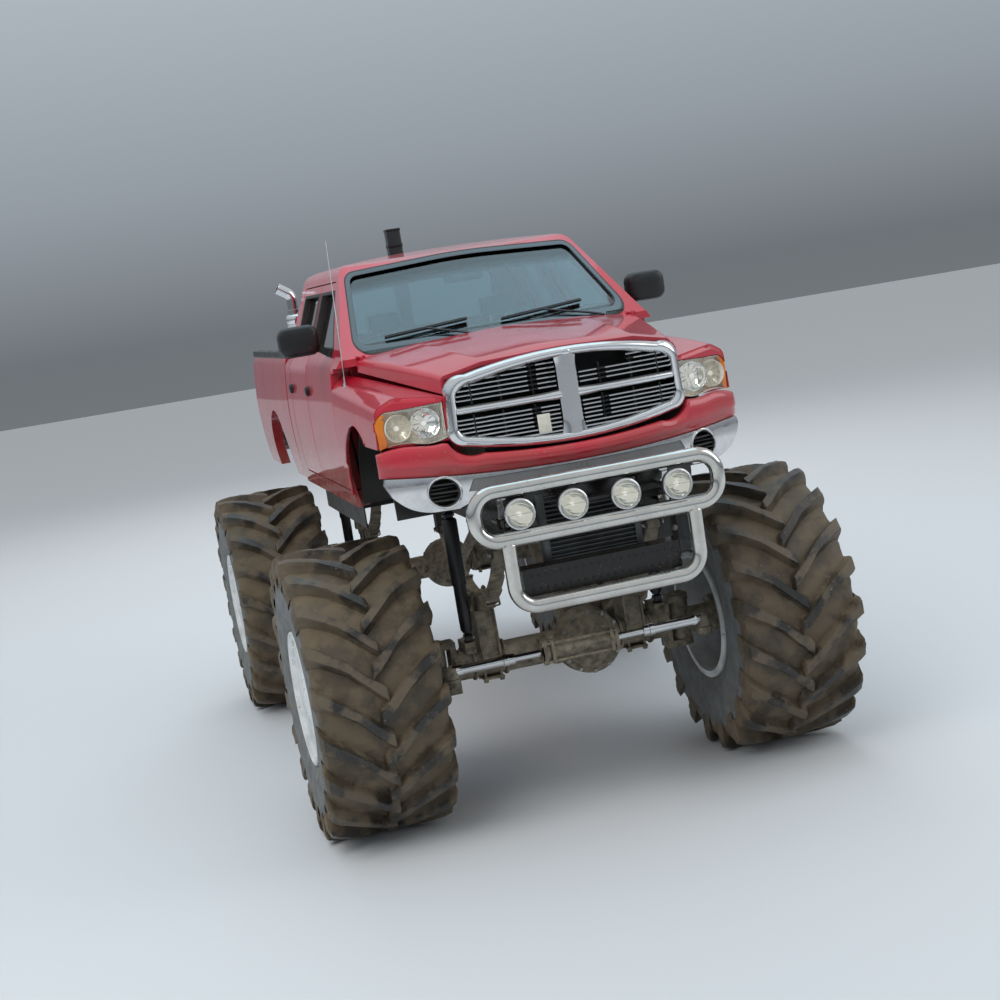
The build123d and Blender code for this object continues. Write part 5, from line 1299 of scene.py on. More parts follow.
@dataclass
class Headlamps:
    """Twin round reflectors behind one yellowed lens with an amber outer end."""

    apex: float = NOSE_Y + 0.002
    bowls: tuple[tuple[float, float, float], ...] = ((0.728, 2.240, 0.078), (0.858, 2.232, 0.071))
    amber_from: float = 0.925

    def layer(self, grow: float, depth: float, crown: float) -> list[list[tuple[float, float, float]]]:
        """Rings of points from the lamp's edge in to its middle."""
        edge = lamp_outline(grow)
        middle = (0.80, 2.236)
        rows = []
        for share in (1.0, 0.985, 0.95, 0.88, 0.78, 0.65, 0.5, 0.3, 0.12):
            row = []
            for x, z in edge:
                px, pz = middle[0] + (x - middle[0]) * share, middle[1] + (z - middle[1]) * share
                row.append((px, arc_y(self.apex, NOSE_R, px) + depth + crown * share ** 6, pz))
            rows.append(row)
        return rows

    def build(self, truck: Truck) -> None:
        """Build the housing, bowls, bulbs and lens of both lamps."""
        shell = self.layer(-0.001, 0.0, 0.012)[::-1] + self.layer(-0.004, 0.004, 0.008)
        lens = Soup().put(capped(shell))
        mesh = lens.mesh("lens")
        for face in mesh.polygons:
            x = face.center.x
            face.material_index = 2 if x > self.amber_from else (1 if x > 0.79 else 0)
        # The amber outer end carries a faint painted glow
        glass = new_piece("lens", mesh, LENS_CLEAR, LENS_YELLOW, AMBER_LENS, smooth=50.0)
        tray = Soup().put(capped([
            [(min(x, widest), arc_y(self.apex, NOSE_R, x) + deep, z) for x, z in lamp_outline(grow)]
            for grow, deep, widest in ((-0.006, 0.088, 0.944), (-0.006, 0.012, 1.0), (-0.0015, 0.012, 1.0),
                                       (-0.0015, 0.098, 0.946))]))
        inner = Soup()
        for number, (x, z, radius) in enumerate(self.bowls):
            start = Vector((x, arc_y(self.apex, NOSE_R, x) + 0.020, z))
            face = Vector((x / NOSE_R * 0.35, 1, 0))
            bowl = [(0.0, radius), (0.003, radius * 0.96), (0.018, radius * 0.86), (0.034, radius * 0.66),
                    (0.046, radius * 0.42), (0.052, 0.014), (0.056, 0.014), (0.050, radius * 0.46),
                    (0.036, radius * 0.72), (0.018, radius * 0.93), (0.006, radius + 0.002)]
            inner.spin(bowl, start, face, 40, number, closed=True)
            # The bulb's frosted glass carries a painted glow
            bulb = [(0.018, 0.0001), (0.020, 0.012), (0.032, 0.014), (0.052, 0.010), (0.052, 0.0001)]
            inner.spin(bulb, start, face, 16, 2)
            for turn in range(12):
                angle = turn * math.pi / 6
                a, b = math.cos(angle), math.sin(angle)
                inner.tube([start + Vector((a * radius * 0.35, 0.044, b * radius * 0.35)),
                            start + Vector((a * radius * 0.92, 0.010, b * radius * 0.92))], 0.0016, 4, 0)
        bowls = inner.piece("bowls", MIRROR_COAT, OLD_REFLECTOR, GLOWING_BULB_GLASS, smooth=40.0)
        housing = tray.piece("tray", OLD_REFLECTOR, smooth=30.0)
        inside = both_sides(joined("headlamp_bowls", housing, bowls))
        truck.place(inside, "lamp_glass", "headlamps")
        glass.name = "headlamp_lenses"
        truck.place(both_sides(glass), "lamp_glass", "headlamps")


@dataclass
class Grille:
    """Chrome surround with its crossed bars, thin slats and a bare boss at the top."""

    width: float = 0.048
    depth: float = 0.090

    def ring(self) -> Shape:
        """The crowned surround."""
        outer, inner = grille_outline(0.0, 14), grille_outline(self.width, 14)
        rows = []
        for (ox, oz), (ix, iz) in zip(outer, inner):
            row = [(ox, arc_y(GRILLE_Y, GRILLE_R, ox) + self.depth, oz)]
            for share in (0.0, 0.07, 0.2, 0.4, 0.6, 0.8, 0.93, 1.0):
                x, z = ox + (ix - ox) * share, oz + (iz - oz) * share
                back = 0.024 * (1.0 - math.sin(math.pi * share) ** 0.7)
                row.append((x, arc_y(GRILLE_Y, GRILLE_R, x) - 0.004 + back, z))
            row.append((ix, arc_y(GRILLE_Y, GRILLE_R, ix) + self.depth, iz))
            rows.append(row)
        return grid(rows, closed=True, ring=True)

    def bar(self, upright: bool) -> Shape:
        """One crowned bar of the cross, from edge to edge."""
        rows = []
        for k in range(33):
            share = k / 32
            along = 2.060 + 0.435 * share if upright else -0.600 + 1.200 * share
            if upright:
                foot, head = max(0.0, 1.0 - share * 5.0), max(0.0, share * 6.0 - 5.0)
                half = 0.056 + 0.020 * foot ** 1.5 + 0.012 * head ** 1.5
            else:
                half = 0.021 + 0.008 * max(0.0, 1.0 - abs(along) / 0.16)
            row = []
            for turn in (-1.0, -0.96, -0.8, -0.55, -0.2, 0.2, 0.55, 0.8, 0.96, 1.0):
                x, z = (turn * half, along) if upright else (along, 2.276 + turn * half)
                lift = 0.030 * (1.0 - math.sqrt(max(0.0, 1.0 - (turn * 0.985) ** 2)))
                front = 0.002 if upright else 0.012
                row.append((x, arc_y(GRILLE_Y, GRILLE_R, x) + front + lift, z))
            for turn in (1.0, -1.0):
                x, z = (turn * half, along) if upright else (along, 2.276 + turn * half)
                row.append((x, arc_y(GRILLE_Y, GRILLE_R, x) + 0.080, z))
            rows.append(row)
        return capped(rows)

    def build(self, truck: Truck) -> None:
        """Build the shell and the slats on the hood's body."""
        shell = Soup().put(self.ring()).put(self.bar(True)).put(self.bar(False))
        boss = [(0.004, 0.030), (0.0, 0.028), (-0.004, 0.020), (-0.005, 0.0001)]
        points, faces = spun(boss, Vector((0, GRILLE_Y - 0.003, 2.488)), BACK, 28, closed=False)
        shell.put(([Vector((p.x * 0.9, p.y, 2.488 + (p.z - 2.488) * 0.62)) for p in points], faces))
        piece = shell.piece("grille_surround", CHROME_PLATE, smooth=40.0)
        liner = []
        for depth in (0.050, 0.190, 0.190, 0.050):
            inset = self.width + (0.0 if len(liner) < 2 else -0.003)
            liner.append([(x, arc_y(GRILLE_Y, GRILLE_R, x) + depth, z) for x, z in grille_outline(inset)])
        dark = new_piece("liner", mesh_from("liner", *grid(liner, closed=True, ring=True)), SATIN_BLACK)
        truck.place(joined("grille_surround", piece, dark), "chrome", "grille_shell", body="hood")
        slats = softened(truck, "grille_slats", CHROME_PLATE, 0.0014, 1, "grille_bars", 40.0)
        slats.data.materials.append(SATIN_BLACK.make())
        for face in slats.data.polygons:
            near = min(abs(abs(face.center.x) - x) for x in (0.180, 0.350, 0.500))
            if near < 0.0046:
                face.material_index = 1
        # A near-black sheet behind the slats: painted shade for the dark space behind the grille
        screen = []
        for k in range(25):
            x = -0.585 + 1.170 * k / 24
            low = 2.085 + 0.03 * (x / 0.585) ** 4
            high = 2.476 - 0.075 * (x / 0.585) ** 2
            screen.append([(x, arc_y(GRILLE_Y, GRILLE_R, x) + deep, z) for deep, z in (
                (0.118, low), (0.118, high), (0.122, high), (0.122, low))])
        dark_back = new_piece("screen", mesh_from("screen", *capped(screen)), PAINTED_HOLE_SHADE)
        tag = Soup().box((-0.190, -2.724, 2.100), (-0.122, -2.720, 2.196))
        label = tag.piece("tag", PALE_CARD, bevel=0.002)
        truck.place(joined("grille_bars", slats, label, dark_back), "chrome", "grille_slats", body="hood")


@dataclass
class BumperCover:
    """The painted cover between grille and chrome, creased along its middle."""

    half: float = 0.985

    def build(self, truck: Truck) -> None:
        """Loft the cover's section across the truck."""
        top = traced((-0.985, 2.112), ((-0.860, 2.136), (-0.780, 2.130)), ((-0.700, 2.126), (-0.650, 2.132)),
                     ((-0.600, 2.070), (-0.480, 2.052)), ((0.0, 2.026), (0.480, 2.052)),
                     ((0.600, 2.070), (0.650, 2.132)), ((0.700, 2.126), (0.780, 2.130)),
                     ((0.860, 2.136), (0.985, 2.112)), count=16)
        rows = []
        for k in range(141):
            x = -self.half + 2 * self.half * k / 140
            after = next((i for i, p in enumerate(top) if p[0] >= x - 1e-9), len(top) - 1)
            before = max(after - 1, 0)
            span = top[after][0] - top[before][0]
            share = (x - top[before][0]) / span if abs(span) > 1e-9 else 0.0
            high = top[before][1] + (top[after][1] - top[before][1]) * share
            low = 1.9415 + 0.0440 * (x / 0.966) ** 2
            front = arc_y(COVER_Y, NOSE_R, x)
            tall = high - low
            crease = low + min(0.42 * tall, 0.055)
            tuck = 0.020 * max(0.0, (abs(x) - 0.945) / 0.040) ** 2
            outline = ((0.056, high), (0.020, high), (0.009, high - 0.005), (0.003, high - 0.014),
                       (-0.001, high - 0.030), (-0.004, (high + crease) / 2), (-0.005, crease + 0.006),
                       (-0.003, crease - 0.002), (0.008, crease - 0.014), (0.014, low + 0.012),
                       (0.018, low + 0.004), (0.024, low), (0.056, low))
            rows.append([(x, front + dy + (tuck if dy < 0.04 else 0.0), z) for dy, z in outline])
        cover = new_piece("bumper_cover_skin", mesh_from("cover", *capped(rows)), CHERRY_ENAMEL, smooth=50.0)
        truck.place(cover, "red_paint", "bumper_cover")


def bowed(piece: bpy.types.Object, middle: float, reach: float, depth: float) -> bpy.types.Object:
    """Bow the front of a piece: it stays put at its middle height and falls back above and below.

    Args:
        piece: the piece.
        middle: the height that stays.
        reach: the height away from it where the full depth is reached.
        depth: how far back it falls there.

    Returns:
        The same piece.
    """
    shape = bmesh.new()
    shape.from_mesh(piece.data)
    low = min(v.co.z for v in shape.verts)
    high = max(v.co.z for v in shape.verts)
    for k in range(1, 22):
        height = low + (high - low) * k / 22
        bmesh.ops.bisect_plane(shape, geom=shape.verts[:] + shape.edges[:] + shape.faces[:], dist=MERGE,
                               plane_co=(0, 0, height), plane_no=(0, 0, 1))
    for vertex in shape.verts:
        share = min(abs(vertex.co.z - middle) / reach, 1.0)
        vertex.co.y += depth * (1.0 - math.sqrt(1.0 - 0.96 * share ** 2)) / 0.8
    shape.to_mesh(piece.data)
    shape.free()
    return smoothed(piece, 40.0)


@dataclass
class ChromeBumper:
    """The chrome face bar with rimmed fog openings, black louvres and the dull centre insert."""

    fog: tuple[float, float, float] = (0.704, 1.884, 0.076)

    def build(self, truck: Truck) -> None:
        """Round the face bar, rim its openings and fill them."""
        bar = bowed(softened(truck, "front_bumper", CHROME_PLATE, 0.010, 4, "chrome_face_bar"), 1.915, 0.115, 0.026)
        rims = Soup()
        x, z, radius = self.fog
        for side in (1, -1):
            path = []
            for a, b in circle(radius + 0.003, 48):
                path.append(Vector((side * (x + a), arc_y(CHROME_Y, NOSE_R, x + a) - 0.001, z + b)))
            rims.tube(path, 0.0065, 10, closed=True)
        rim = rims.piece("fog_rims", CHROME_PLATE)
        truck.place(joined("chrome_face_bar", bar, rim), "chrome", "front_bumper")
        fill = softened(truck, "bumper_inserts", GREY_ABS, 0.003, 2, "bumper_fill")
        fill.data.materials.append(BLACK_ABS.make())
        for face in fill.data.polygons:
            face.material_index = 1 if abs(face.center.x) > 0.61 else 0
        cups = Soup()
        for side in (1, -1):
            start = Vector((side * x, arc_y(CHROME_Y, NOSE_R, x) + 0.030, z))
            cup = [(0.0, radius - 0.002), (0.060, radius - 0.010), (0.064, 0.0001)]
            cups.spin(cup, start, BACK, 36)
            for dz in (-0.020, 0.020):
                wide = math.sqrt((radius - 0.008) ** 2 - dz ** 2)
                cups.box((side * (x - wide), start.y - 0.010, z + dz - 0.003),
                         (side * (x + wide), start.y + 0.030, z + dz + 0.003))
        cup = cups.piece("cups", BLACK_ABS)
        ridges = [(dx, -2.788, 1.903) for dx in (-0.030, 0.0, 0.030)]
        template = Soup().box((-0.004, -0.004, -0.026), (0.004, 0.010, 0.026)).mesh("ridge", 0.002, 1)
        ribs = repeated("ridges", template, Pattern.POINTS, 0, GREY_ABS, points=ridges)
        panel = []
        for k in range(31):
            px = -0.615 + 1.230 * k / 30
            face = arc_y(CHROME_Y + 0.030, NOSE_R, px)
            panel.append([(px, face, 1.842), (px, face + 0.004, 1.760), (px, face + 0.020, 1.712),
                          (px, face + 0.030, 1.712), (px, face + 0.014, 1.760), (px, face + 0.010, 1.842)])
        valance = new_piece("valance", mesh_from("valance", *capped(panel)), GLOSS_BLACK, smooth=50.0)
        truck.place(joined("bumper_fill", fill, cup, ribs, valance), "grey_plastic", "bumper_inserts")


BULL_Y = -2.935
STRIP_Z = 1.670
COOLER_Y = -2.750
STEER_Y = -2.165
RAM_Z = 0.862


@dataclass
class BullBar:
    """Two loops of polished tube with weld beads, a lamp strip and bolted brackets."""

    tube: float = 0.038
    upper: tuple[float, float, float] = (0.642, 1.630, 1.877)
    lower: tuple[float, float] = (0.492, 1.281)
    bend: float = 0.110

    def build(self, truck: Truck) -> None:
        """Bend the tubes, lay the welds and bolt the strip."""
        x, low, high = self.upper
        loop = rounded_path([Vector((-x, BULL_Y, low)), Vector((x, BULL_Y, low)), Vector((x, BULL_Y, high)),
                             Vector((-x, BULL_Y, high))], self.bend, 12, closed=True)
        wide, bottom = self.lower
        drop = rounded_path([Vector((-wide, BULL_Y, low)), Vector((-wide, BULL_Y, bottom)),
                             Vector((wide, BULL_Y, bottom)), Vector((wide, BULL_Y, low))], self.bend, 12)
        bars = Soup()
        bars.tube(loop, self.tube, 28, closed=True)
        bars.tube(drop, self.tube, 28)
        piece = bars.piece("bull_bar_tubes", STAINLESS)
        welds = Soup()
        for side in (1, -1):
            path = []
            for k in range(40):
                angle = 2 * math.pi * k / 40
                a, b = math.cos(angle) * (self.tube + 0.001), math.sin(angle) * (self.tube + 0.001)
                dip = 0.5 * abs(math.sin(angle)) * 0.020
                path.append(Vector((side * wide + a, BULL_Y + b, low - self.tube + 0.018 - 0.010 + dip - 0.006)))
            welds.tube(path, 0.005, 6, closed=True)
        weld = welds.piece("welds", STAINLESS)
        plates = Soup()
        plates.box((-0.620, BULL_Y - 0.022, STRIP_Z - 0.010), (0.620, BULL_Y + 0.040, STRIP_Z))
        for side in (1, -1):
            x0 = side * 0.405
            plates.box((x0 - 0.006, BULL_Y + 0.010, 1.610), (x0 + 0.006, BULL_Y + 0.090, 1.664))
            plates.box((x0 - 0.006, BULL_Y + 0.072, 1.610), (x0 + 0.006, -2.6503, 1.750))
        strip = plates.piece("strip", STAINLESS, bevel=0.002)
        heads = bolts("heads", [(s * 0.412, y, z) for s in (-1, 1) for y, z in (
            (-2.700, 1.650), (-2.700, 1.710), (-2.835, 1.640))], (1, 0, 0), 0.011, ZINC_STEEL)
        truck.place(joined("bull_bar_tubes", piece, weld, strip, heads), "polished_steel", "bull_bar")


@dataclass
class DrivingLamps:
    """Four round lamps: black bowl, chrome bezel, aged glass over a reflector, a bolted foot."""

    places: tuple[float, ...] = (-0.416, -0.139, 0.139, 0.416)
    height: float = 1.751
    radius: float = 0.078

    def build(self, truck: Truck) -> None:
        """Spin each lamp's bowl, bezel, reflector and glass."""
        r = self.radius
        shell = [(-0.024, r), (-0.020, r + 0.0005), (0.004, r - 0.001), (0.028, r - 0.012), (0.046, r - 0.034),
                 (0.056, 0.026), (0.064, 0.020), (0.064, 0.0001), (0.050, 0.0001), (0.044, 0.030),
                 (0.026, r - 0.020), (0.002, r - 0.006), (-0.024, r - 0.004)]
        bezel = [(-0.023, r + 0.0015), (-0.034, r), (-0.038, r - 0.005), (-0.037, r - 0.010), (-0.031, r - 0.012),
                 (-0.025, r - 0.010), (-0.022, r - 0.004)]
        bowl = [(-0.022, r - 0.012), (-0.006, r - 0.018), (0.014, r - 0.034), (0.028, 0.022), (0.030, 0.008),
                (0.036, 0.008), (0.034, 0.024), (0.018, r - 0.032), (-0.004, r - 0.015), (-0.022, r - 0.009)]
        glass = [(-0.031, r - 0.011), (-0.036, r - 0.022), (-0.040, 0.030), (-0.041, 0.0001), (-0.038, 0.0001),
                 (-0.037, 0.030), (-0.033, r - 0.022), (-0.028, r - 0.011)]
        # The bulb's frosted glass carries a painted glow
        bulb = [(-0.018, 0.0001), (-0.017, 0.011), (-0.006, 0.013), (0.030, 0.008), (0.030, 0.0001)]
        ahead = BACK
        body, lens = Soup(), Soup()
        for x in self.places:
            at = Vector((x, BULL_Y, self.height))
            body.spin(shell, at, ahead, 40, closed=True)
            body.spin(bezel, at, ahead, 40, 1, closed=True)
            body.spin(bowl, at, ahead, 40, 2, closed=True)
            body.spin(bulb, at, ahead, 14, 3)
            body.box((x - r + 0.013, BULL_Y - 0.030, self.height - 0.0014),
                     (x + r - 0.013, BULL_Y - 0.028, self.height + 0.0014), 1)
            body.spin([(-0.003, 0.020), (0.008, 0.020), (0.008, 0.0001)],
                      Vector((x, BULL_Y + 0.010, STRIP_Z + 0.004)), UP, 6, 4)
            body.tube([Vector((x, BULL_Y + 0.010, STRIP_Z + 0.002)), Vector((x, BULL_Y + 0.010, 1.700))], 0.009, 10,
                      4)
            body.box((x - 0.016, BULL_Y - 0.012, STRIP_Z + 0.0005), (x + 0.016, BULL_Y + 0.032, STRIP_Z + 0.006), 0)
            lens.spin(glass, at, ahead, 40, closed=True)
        lamps = body.piece("driving_lamp_bodies", SATIN_BLACK, CHROME_PLATE, MIRROR_COAT, GLOWING_BULB_GLASS, ZINC_STEEL,
                           smooth=40.0)
        truck.place(lamps, "lamp_glass", "driving_lamps")
        cover = lens.piece("driving_lamp_glass", LENS_WARM, smooth=40.0)
        truck.place(cover, "lamp_glass", "driving_lamps")


@dataclass
class Coolers:
    """Intercooler and radiator with rows of tubes and fins, and the drilled black channel."""

    half: float = 0.270
    low: float = 1.4503
    high: float = 1.800

    def build(self, truck: Truck) -> None:
        """Build the cores, end tanks, frame and drillings."""
        core = Soup()
        core.box((-self.half + 0.03, COOLER_Y + 0.024, self.low + 0.006),
                 (self.half - 0.03, COOLER_Y + 0.056, self.high - 0.006))
        backing = core.piece("core", SATIN_BLACK)
        tanks = Soup()
        for side in (1, -1):
            section = [(side * self.half, COOLER_Y + 0.012), (side * self.half, COOLER_Y + 0.050),
                       (side * (self.half - 0.010), COOLER_Y + 0.060),
                       (side * (self.half - 0.034), COOLER_Y + 0.060),
                       (side * (self.half - 0.040), COOLER_Y + 0.002),
                       (side * (self.half - 0.012), COOLER_Y + 0.002)]
            tanks.put(prism(section, "z", self.low, self.high))
        for z in (self.low, self.high - 0.012):
            tanks.box((-self.half + 0.03, COOLER_Y + 0.004, z), (self.half - 0.03, COOLER_Y + 0.058, z + 0.012))
        tank = tanks.piece("tanks", CAST_ALUMINIUM, bevel=0.002)
        bar = Soup().box((-self.half + 0.035, 0, -0.0035), (self.half - 0.035, 0.030, 0.0035))
        tube = bar.mesh("tube", 0.002, 1)
        tubes = repeated("tubes", tube, Pattern.ROW, 14, CAST_ALUMINIUM, step=(0, 0, 0.0235),
                         start=(0, COOLER_Y + 0.001, self.low + 0.022))
        fin = Soup().box((-0.0006, 0, 0), (0.0006, 0.004, self.high - self.low - 0.03)).mesh("fin")
        fins = repeated("fins", fin, Pattern.ROW, 78, CAST_ALUMINIUM, step=(0.0059, 0, 0),
                        start=(-0.227, COOLER_Y + 0.017, self.low + 0.015))
        radiator = Soup().box((-0.3895, -2.5585, 1.816), (0.3895, -2.5005, 2.3795))
        rest = radiator.piece("radiator", SATIN_BLACK, bevel=0.006)
        flat = Soup().box((-0.36, 0, -0.0015), (0.36, 0.006, 0.0015)).mesh("flat")
        flats = repeated("flats", flat, Pattern.ROW, 40, CHASSIS_BLACK, step=(0, 0, 0.0135),
                         start=(0, -2.560, 1.834))
        truck.place(joined("finned_coolers", backing, tank, tubes, fins, rest, flats), "black_paint", "coolers")
        frame = softened(truck, "cooler_frame", GLOSS_BLACK, 0.003, 2, "channel_frame")
        holes = [(x / 1000, COOLER_Y - 0.0952, z) for x in range(-380, 381, 40) for z in (1.345, 1.415)]
        ring = Soup().spin([(0.0, 0.006), (-0.0008, 0.0065), (-0.0008, 0.0085), (0.0, 0.009)], ORIGIN, BACK, 10,
                           closed=True)
        ring.spin([(-0.0003, 0.0062), (-0.0003, 0.0001)], ORIGIN, BACK, 10)
        drilled = repeated("drilled", ring.mesh("hole"), Pattern.POINTS, 0, SATIN_BLACK, points=holes)
        spots = [(s * 0.438, COOLER_Y - 0.0105, z) for s in (-1, 1) for z in (1.34, 1.50, 1.62, 1.68)]
        heads = bolts("heads", spots, (0, -1, 0), 0.010, ZINC_STEEL)
        truck.place(joined("channel_frame", frame, drilled, heads), "black_paint", "cooler_frame")


@dataclass
class Axles:
    """Front and rear axles with bolted covers, U-bolts, box brackets, knuckles and the steering ram."""

    diff_x: float = 0.150
    rail_x: float = 0.430
    seat: float = 1.102
    leaves: float = 0.080

    def cover(self, y: float, way: float) -> list[bpy.types.Object]:
        """A differential cover with its bolts, facing way along Y."""
        x = self.diff_x
        dome = [(0.088, 0.100), (0.088, 0.178), (0.104, 0.180), (0.108, 0.176), (0.110, 0.158), (0.135, 0.140),
                (0.168, 0.104), (0.188, 0.058), (0.194, 0.0001)]
        shape = Soup().spin(dome, Vector((x, y, HUB_Z)), Vector((0, way, 0)), 48)
        shape.spin([(0.185, 0.016), (0.206, 0.015), (0.206, 0.0001)], Vector((x, y, HUB_Z)),
                   Vector((0.1, way, 0.35)), 6)
        lid = shape.piece("cover", AXLE_STEEL, smooth=40.0)
        ring = [(x + 0.167 * math.cos(a), y + way * 0.105, HUB_Z + 0.167 * math.sin(a))
                for a in (2 * math.pi * k / 12 for k in range(12))]
        return [lid, bolts("cover_bolts", ring, (0, way, 0), 0.011, ZINC_STEEL)]

    def mounts(self, y: float) -> bpy.types.Object:
        """U-bolts, spring plates, tube gussets and flanges of one axle."""
        shape = Soup()
        top = self.seat + self.leaves
        for side in (1, -1):
            x = side * self.rail_x
            for dy in (-0.062, 0.062):
                for dx in (-0.047, 0.047):
                    shape.tube([Vector((x + dx, y + dy, HUB_Z - 0.118)), Vector((x + dx, y + dy, top + 0.032))],
                               0.008, 10)
                    for z in (top + 0.012, HUB_Z - 0.116):
                        shape.spin([(0.0, 0.015), (0.013, 0.015), (0.013, 0.0001)], Vector((x + dx, y + dy, z)), UP,
                                   6)
            shape.box((x - 0.062, y - 0.078, top), (x + 0.062, y + 0.078, top + 0.012))
            shape.box((x - 0.062, y - 0.078, HUB_Z - 0.102), (x + 0.062, y + 0.078, HUB_Z - 0.090))
            for dx in (-0.058, 0.046):
                shape.put(prism([(y - 0.110, HUB_Z - 0.02), (y + 0.110, HUB_Z - 0.02),
                                 (y + 0.082, self.seat - 0.004), (y - 0.082, self.seat - 0.004)], "x", x + dx,
                                x + dx + 0.012))
            for near in (0.335, 0.520):
                shape.spin([(0.0, 0.089), (0.0, 0.101), (0.016, 0.101), (0.016, 0.089)],
                           Vector((side * near, y, HUB_Z)), Vector((side, 0, 0)), 36, closed=True)
        return shape.piece("mounts", AXLE_STEEL, bevel=0.0025, segments=1)

    def build(self, truck: Truck) -> None:
        """Dress both axles, the knuckles, ram and rod."""
        for node, y, way in (("front_axle", FRONT_Y, -1.0), ("rear_axle", REAR_Y, 1.0)):
            name = f"{node}_housing"
            housing = softened(truck, node, AXLE_STEEL, 0.006, 2, name)
            truck.place(joined(name, housing, *self.cover(y, way), self.mounts(y)), "dusty_steel", node)
        for name, side in SIDES:
            knuckle = softened(truck, f"knuckle_{name}", AXLE_STEEL, 0.006, 2, f"steering_knuckle_{name}")
            caps = Soup()
            at = Vector((side * 0.730, FRONT_Y, HUB_Z + 0.1475))
            caps.spin([(0.0, 0.048), (0.008, 0.048), (0.014, 0.040), (0.016, 0.0001)], at, UP, 28)
            caps.spin([(-0.002, 0.016), (0.014, 0.016), (0.014, 0.0001)],
                      Vector((side * 0.730, STEER_Y, HUB_Z - 0.018)), Vector((0, 0, -1)), 6)
            cap = caps.piece("cap", AXLE_STEEL, smooth=40.0)
            ring = [(side * 0.730 + 0.036 * math.cos(a), FRONT_Y + 0.036 * math.sin(a), HUB_Z + 0.1555)
                    for a in (math.pi / 4 + math.pi / 2 * k for k in range(4))]
            flange = [(side * 1.0195, FRONT_Y + 0.088 * math.cos(a), HUB_Z + 0.088 * math.sin(a))
                      for a in (math.pi / 4 * k for k in range(8))]
            heads = bolts("heads", ring, (0, 0, 1), 0.007, ZINC_STEEL)
            studs = bolts("studs", flange, (-side, 0, 0), 0.008, ZINC_STEEL)
            for vertex in studs.data.vertices:
                vertex.co.x -= side * 0.105
            truck.place(joined(f"steering_knuckle_{name}", knuckle, cap, heads, studs), "dusty_steel",
                        f"knuckle_{name}", body=f"knuckle_{name}")
        self.ram(truck)

    def ram(self, truck: Truck) -> None:
        """The double-ended ram with square flanges and tie rods, and its bright rod with jam nuts."""
        barrel = softened(truck, "steering_cylinder", AXLE_STEEL, 0.003, 2, "steering_ram")
        extra = Soup()
        for x in (-0.215, -0.170, 0.170, 0.197):
            extra.box((x, STEER_Y - 0.062, RAM_Z - 0.062), (x + 0.018, STEER_Y - 0.022, RAM_Z + 0.062))
        y = STEER_Y - 0.052
        for z in (RAM_Z - 0.050, RAM_Z + 0.050):
            extra.tube([Vector((-0.213, y, z)), Vector((0.213, y, z))], 0.007, 8)
            for x in (-0.222, 0.213):
                extra.spin([(0.0, 0.013), (0.010, 0.013), (0.010, 0.0001), (0.0, 0.0001)], Vector((x, y, z)),
                           ACROSS, 6)
        for x in (-0.150, 0.150):
            extra.tube([Vector((x, STEER_Y, RAM_Z + 0.040)), Vector((x, STEER_Y - 0.006, RAM_Z + 0.078))], 0.013,
                       12)
        flanges = extra.piece("flanges", AXLE_STEEL, bevel=0.002, segments=1)
        truck.place(joined("steering_ram", barrel, flanges), "dusty_steel", "steering_cylinder")
        rod = Soup()
        profile = [(0.0, 0.0001), (0.0, 0.0195), (0.373, 0.0195), (0.374, 0.030), (0.408, 0.030), (0.410, 0.033),
                   (0.438, 0.033), (0.440, 0.028), (0.660, 0.026), (0.674, 0.032), (0.690, 0.032), (0.730, 0.030),
                   (0.730, 0.0001)]
        for side in (1, -1):
            rod.spin(profile, Vector((0, STEER_Y, RAM_Z)), Vector((side, 0, 0)), 24)
            eye = [(0.0215, 0.0001), (0.0215, 0.040), (0.050, 0.042), (0.078, 0.036), (0.082, 0.026),
                   (0.086, 0.012), (0.094, 0.011), (0.094, 0.0001)]
            rod.spin(eye, Vector((side * 0.730, STEER_Y, HUB_Z)), UP, 28, 1)
        shaft = rod.piece("tie_rod", BRIGHT_ROD, AXLE_STEEL, smooth=40.0)
        truck.place(shaft, "polished_steel", "steering_rod", body="steering_rod")


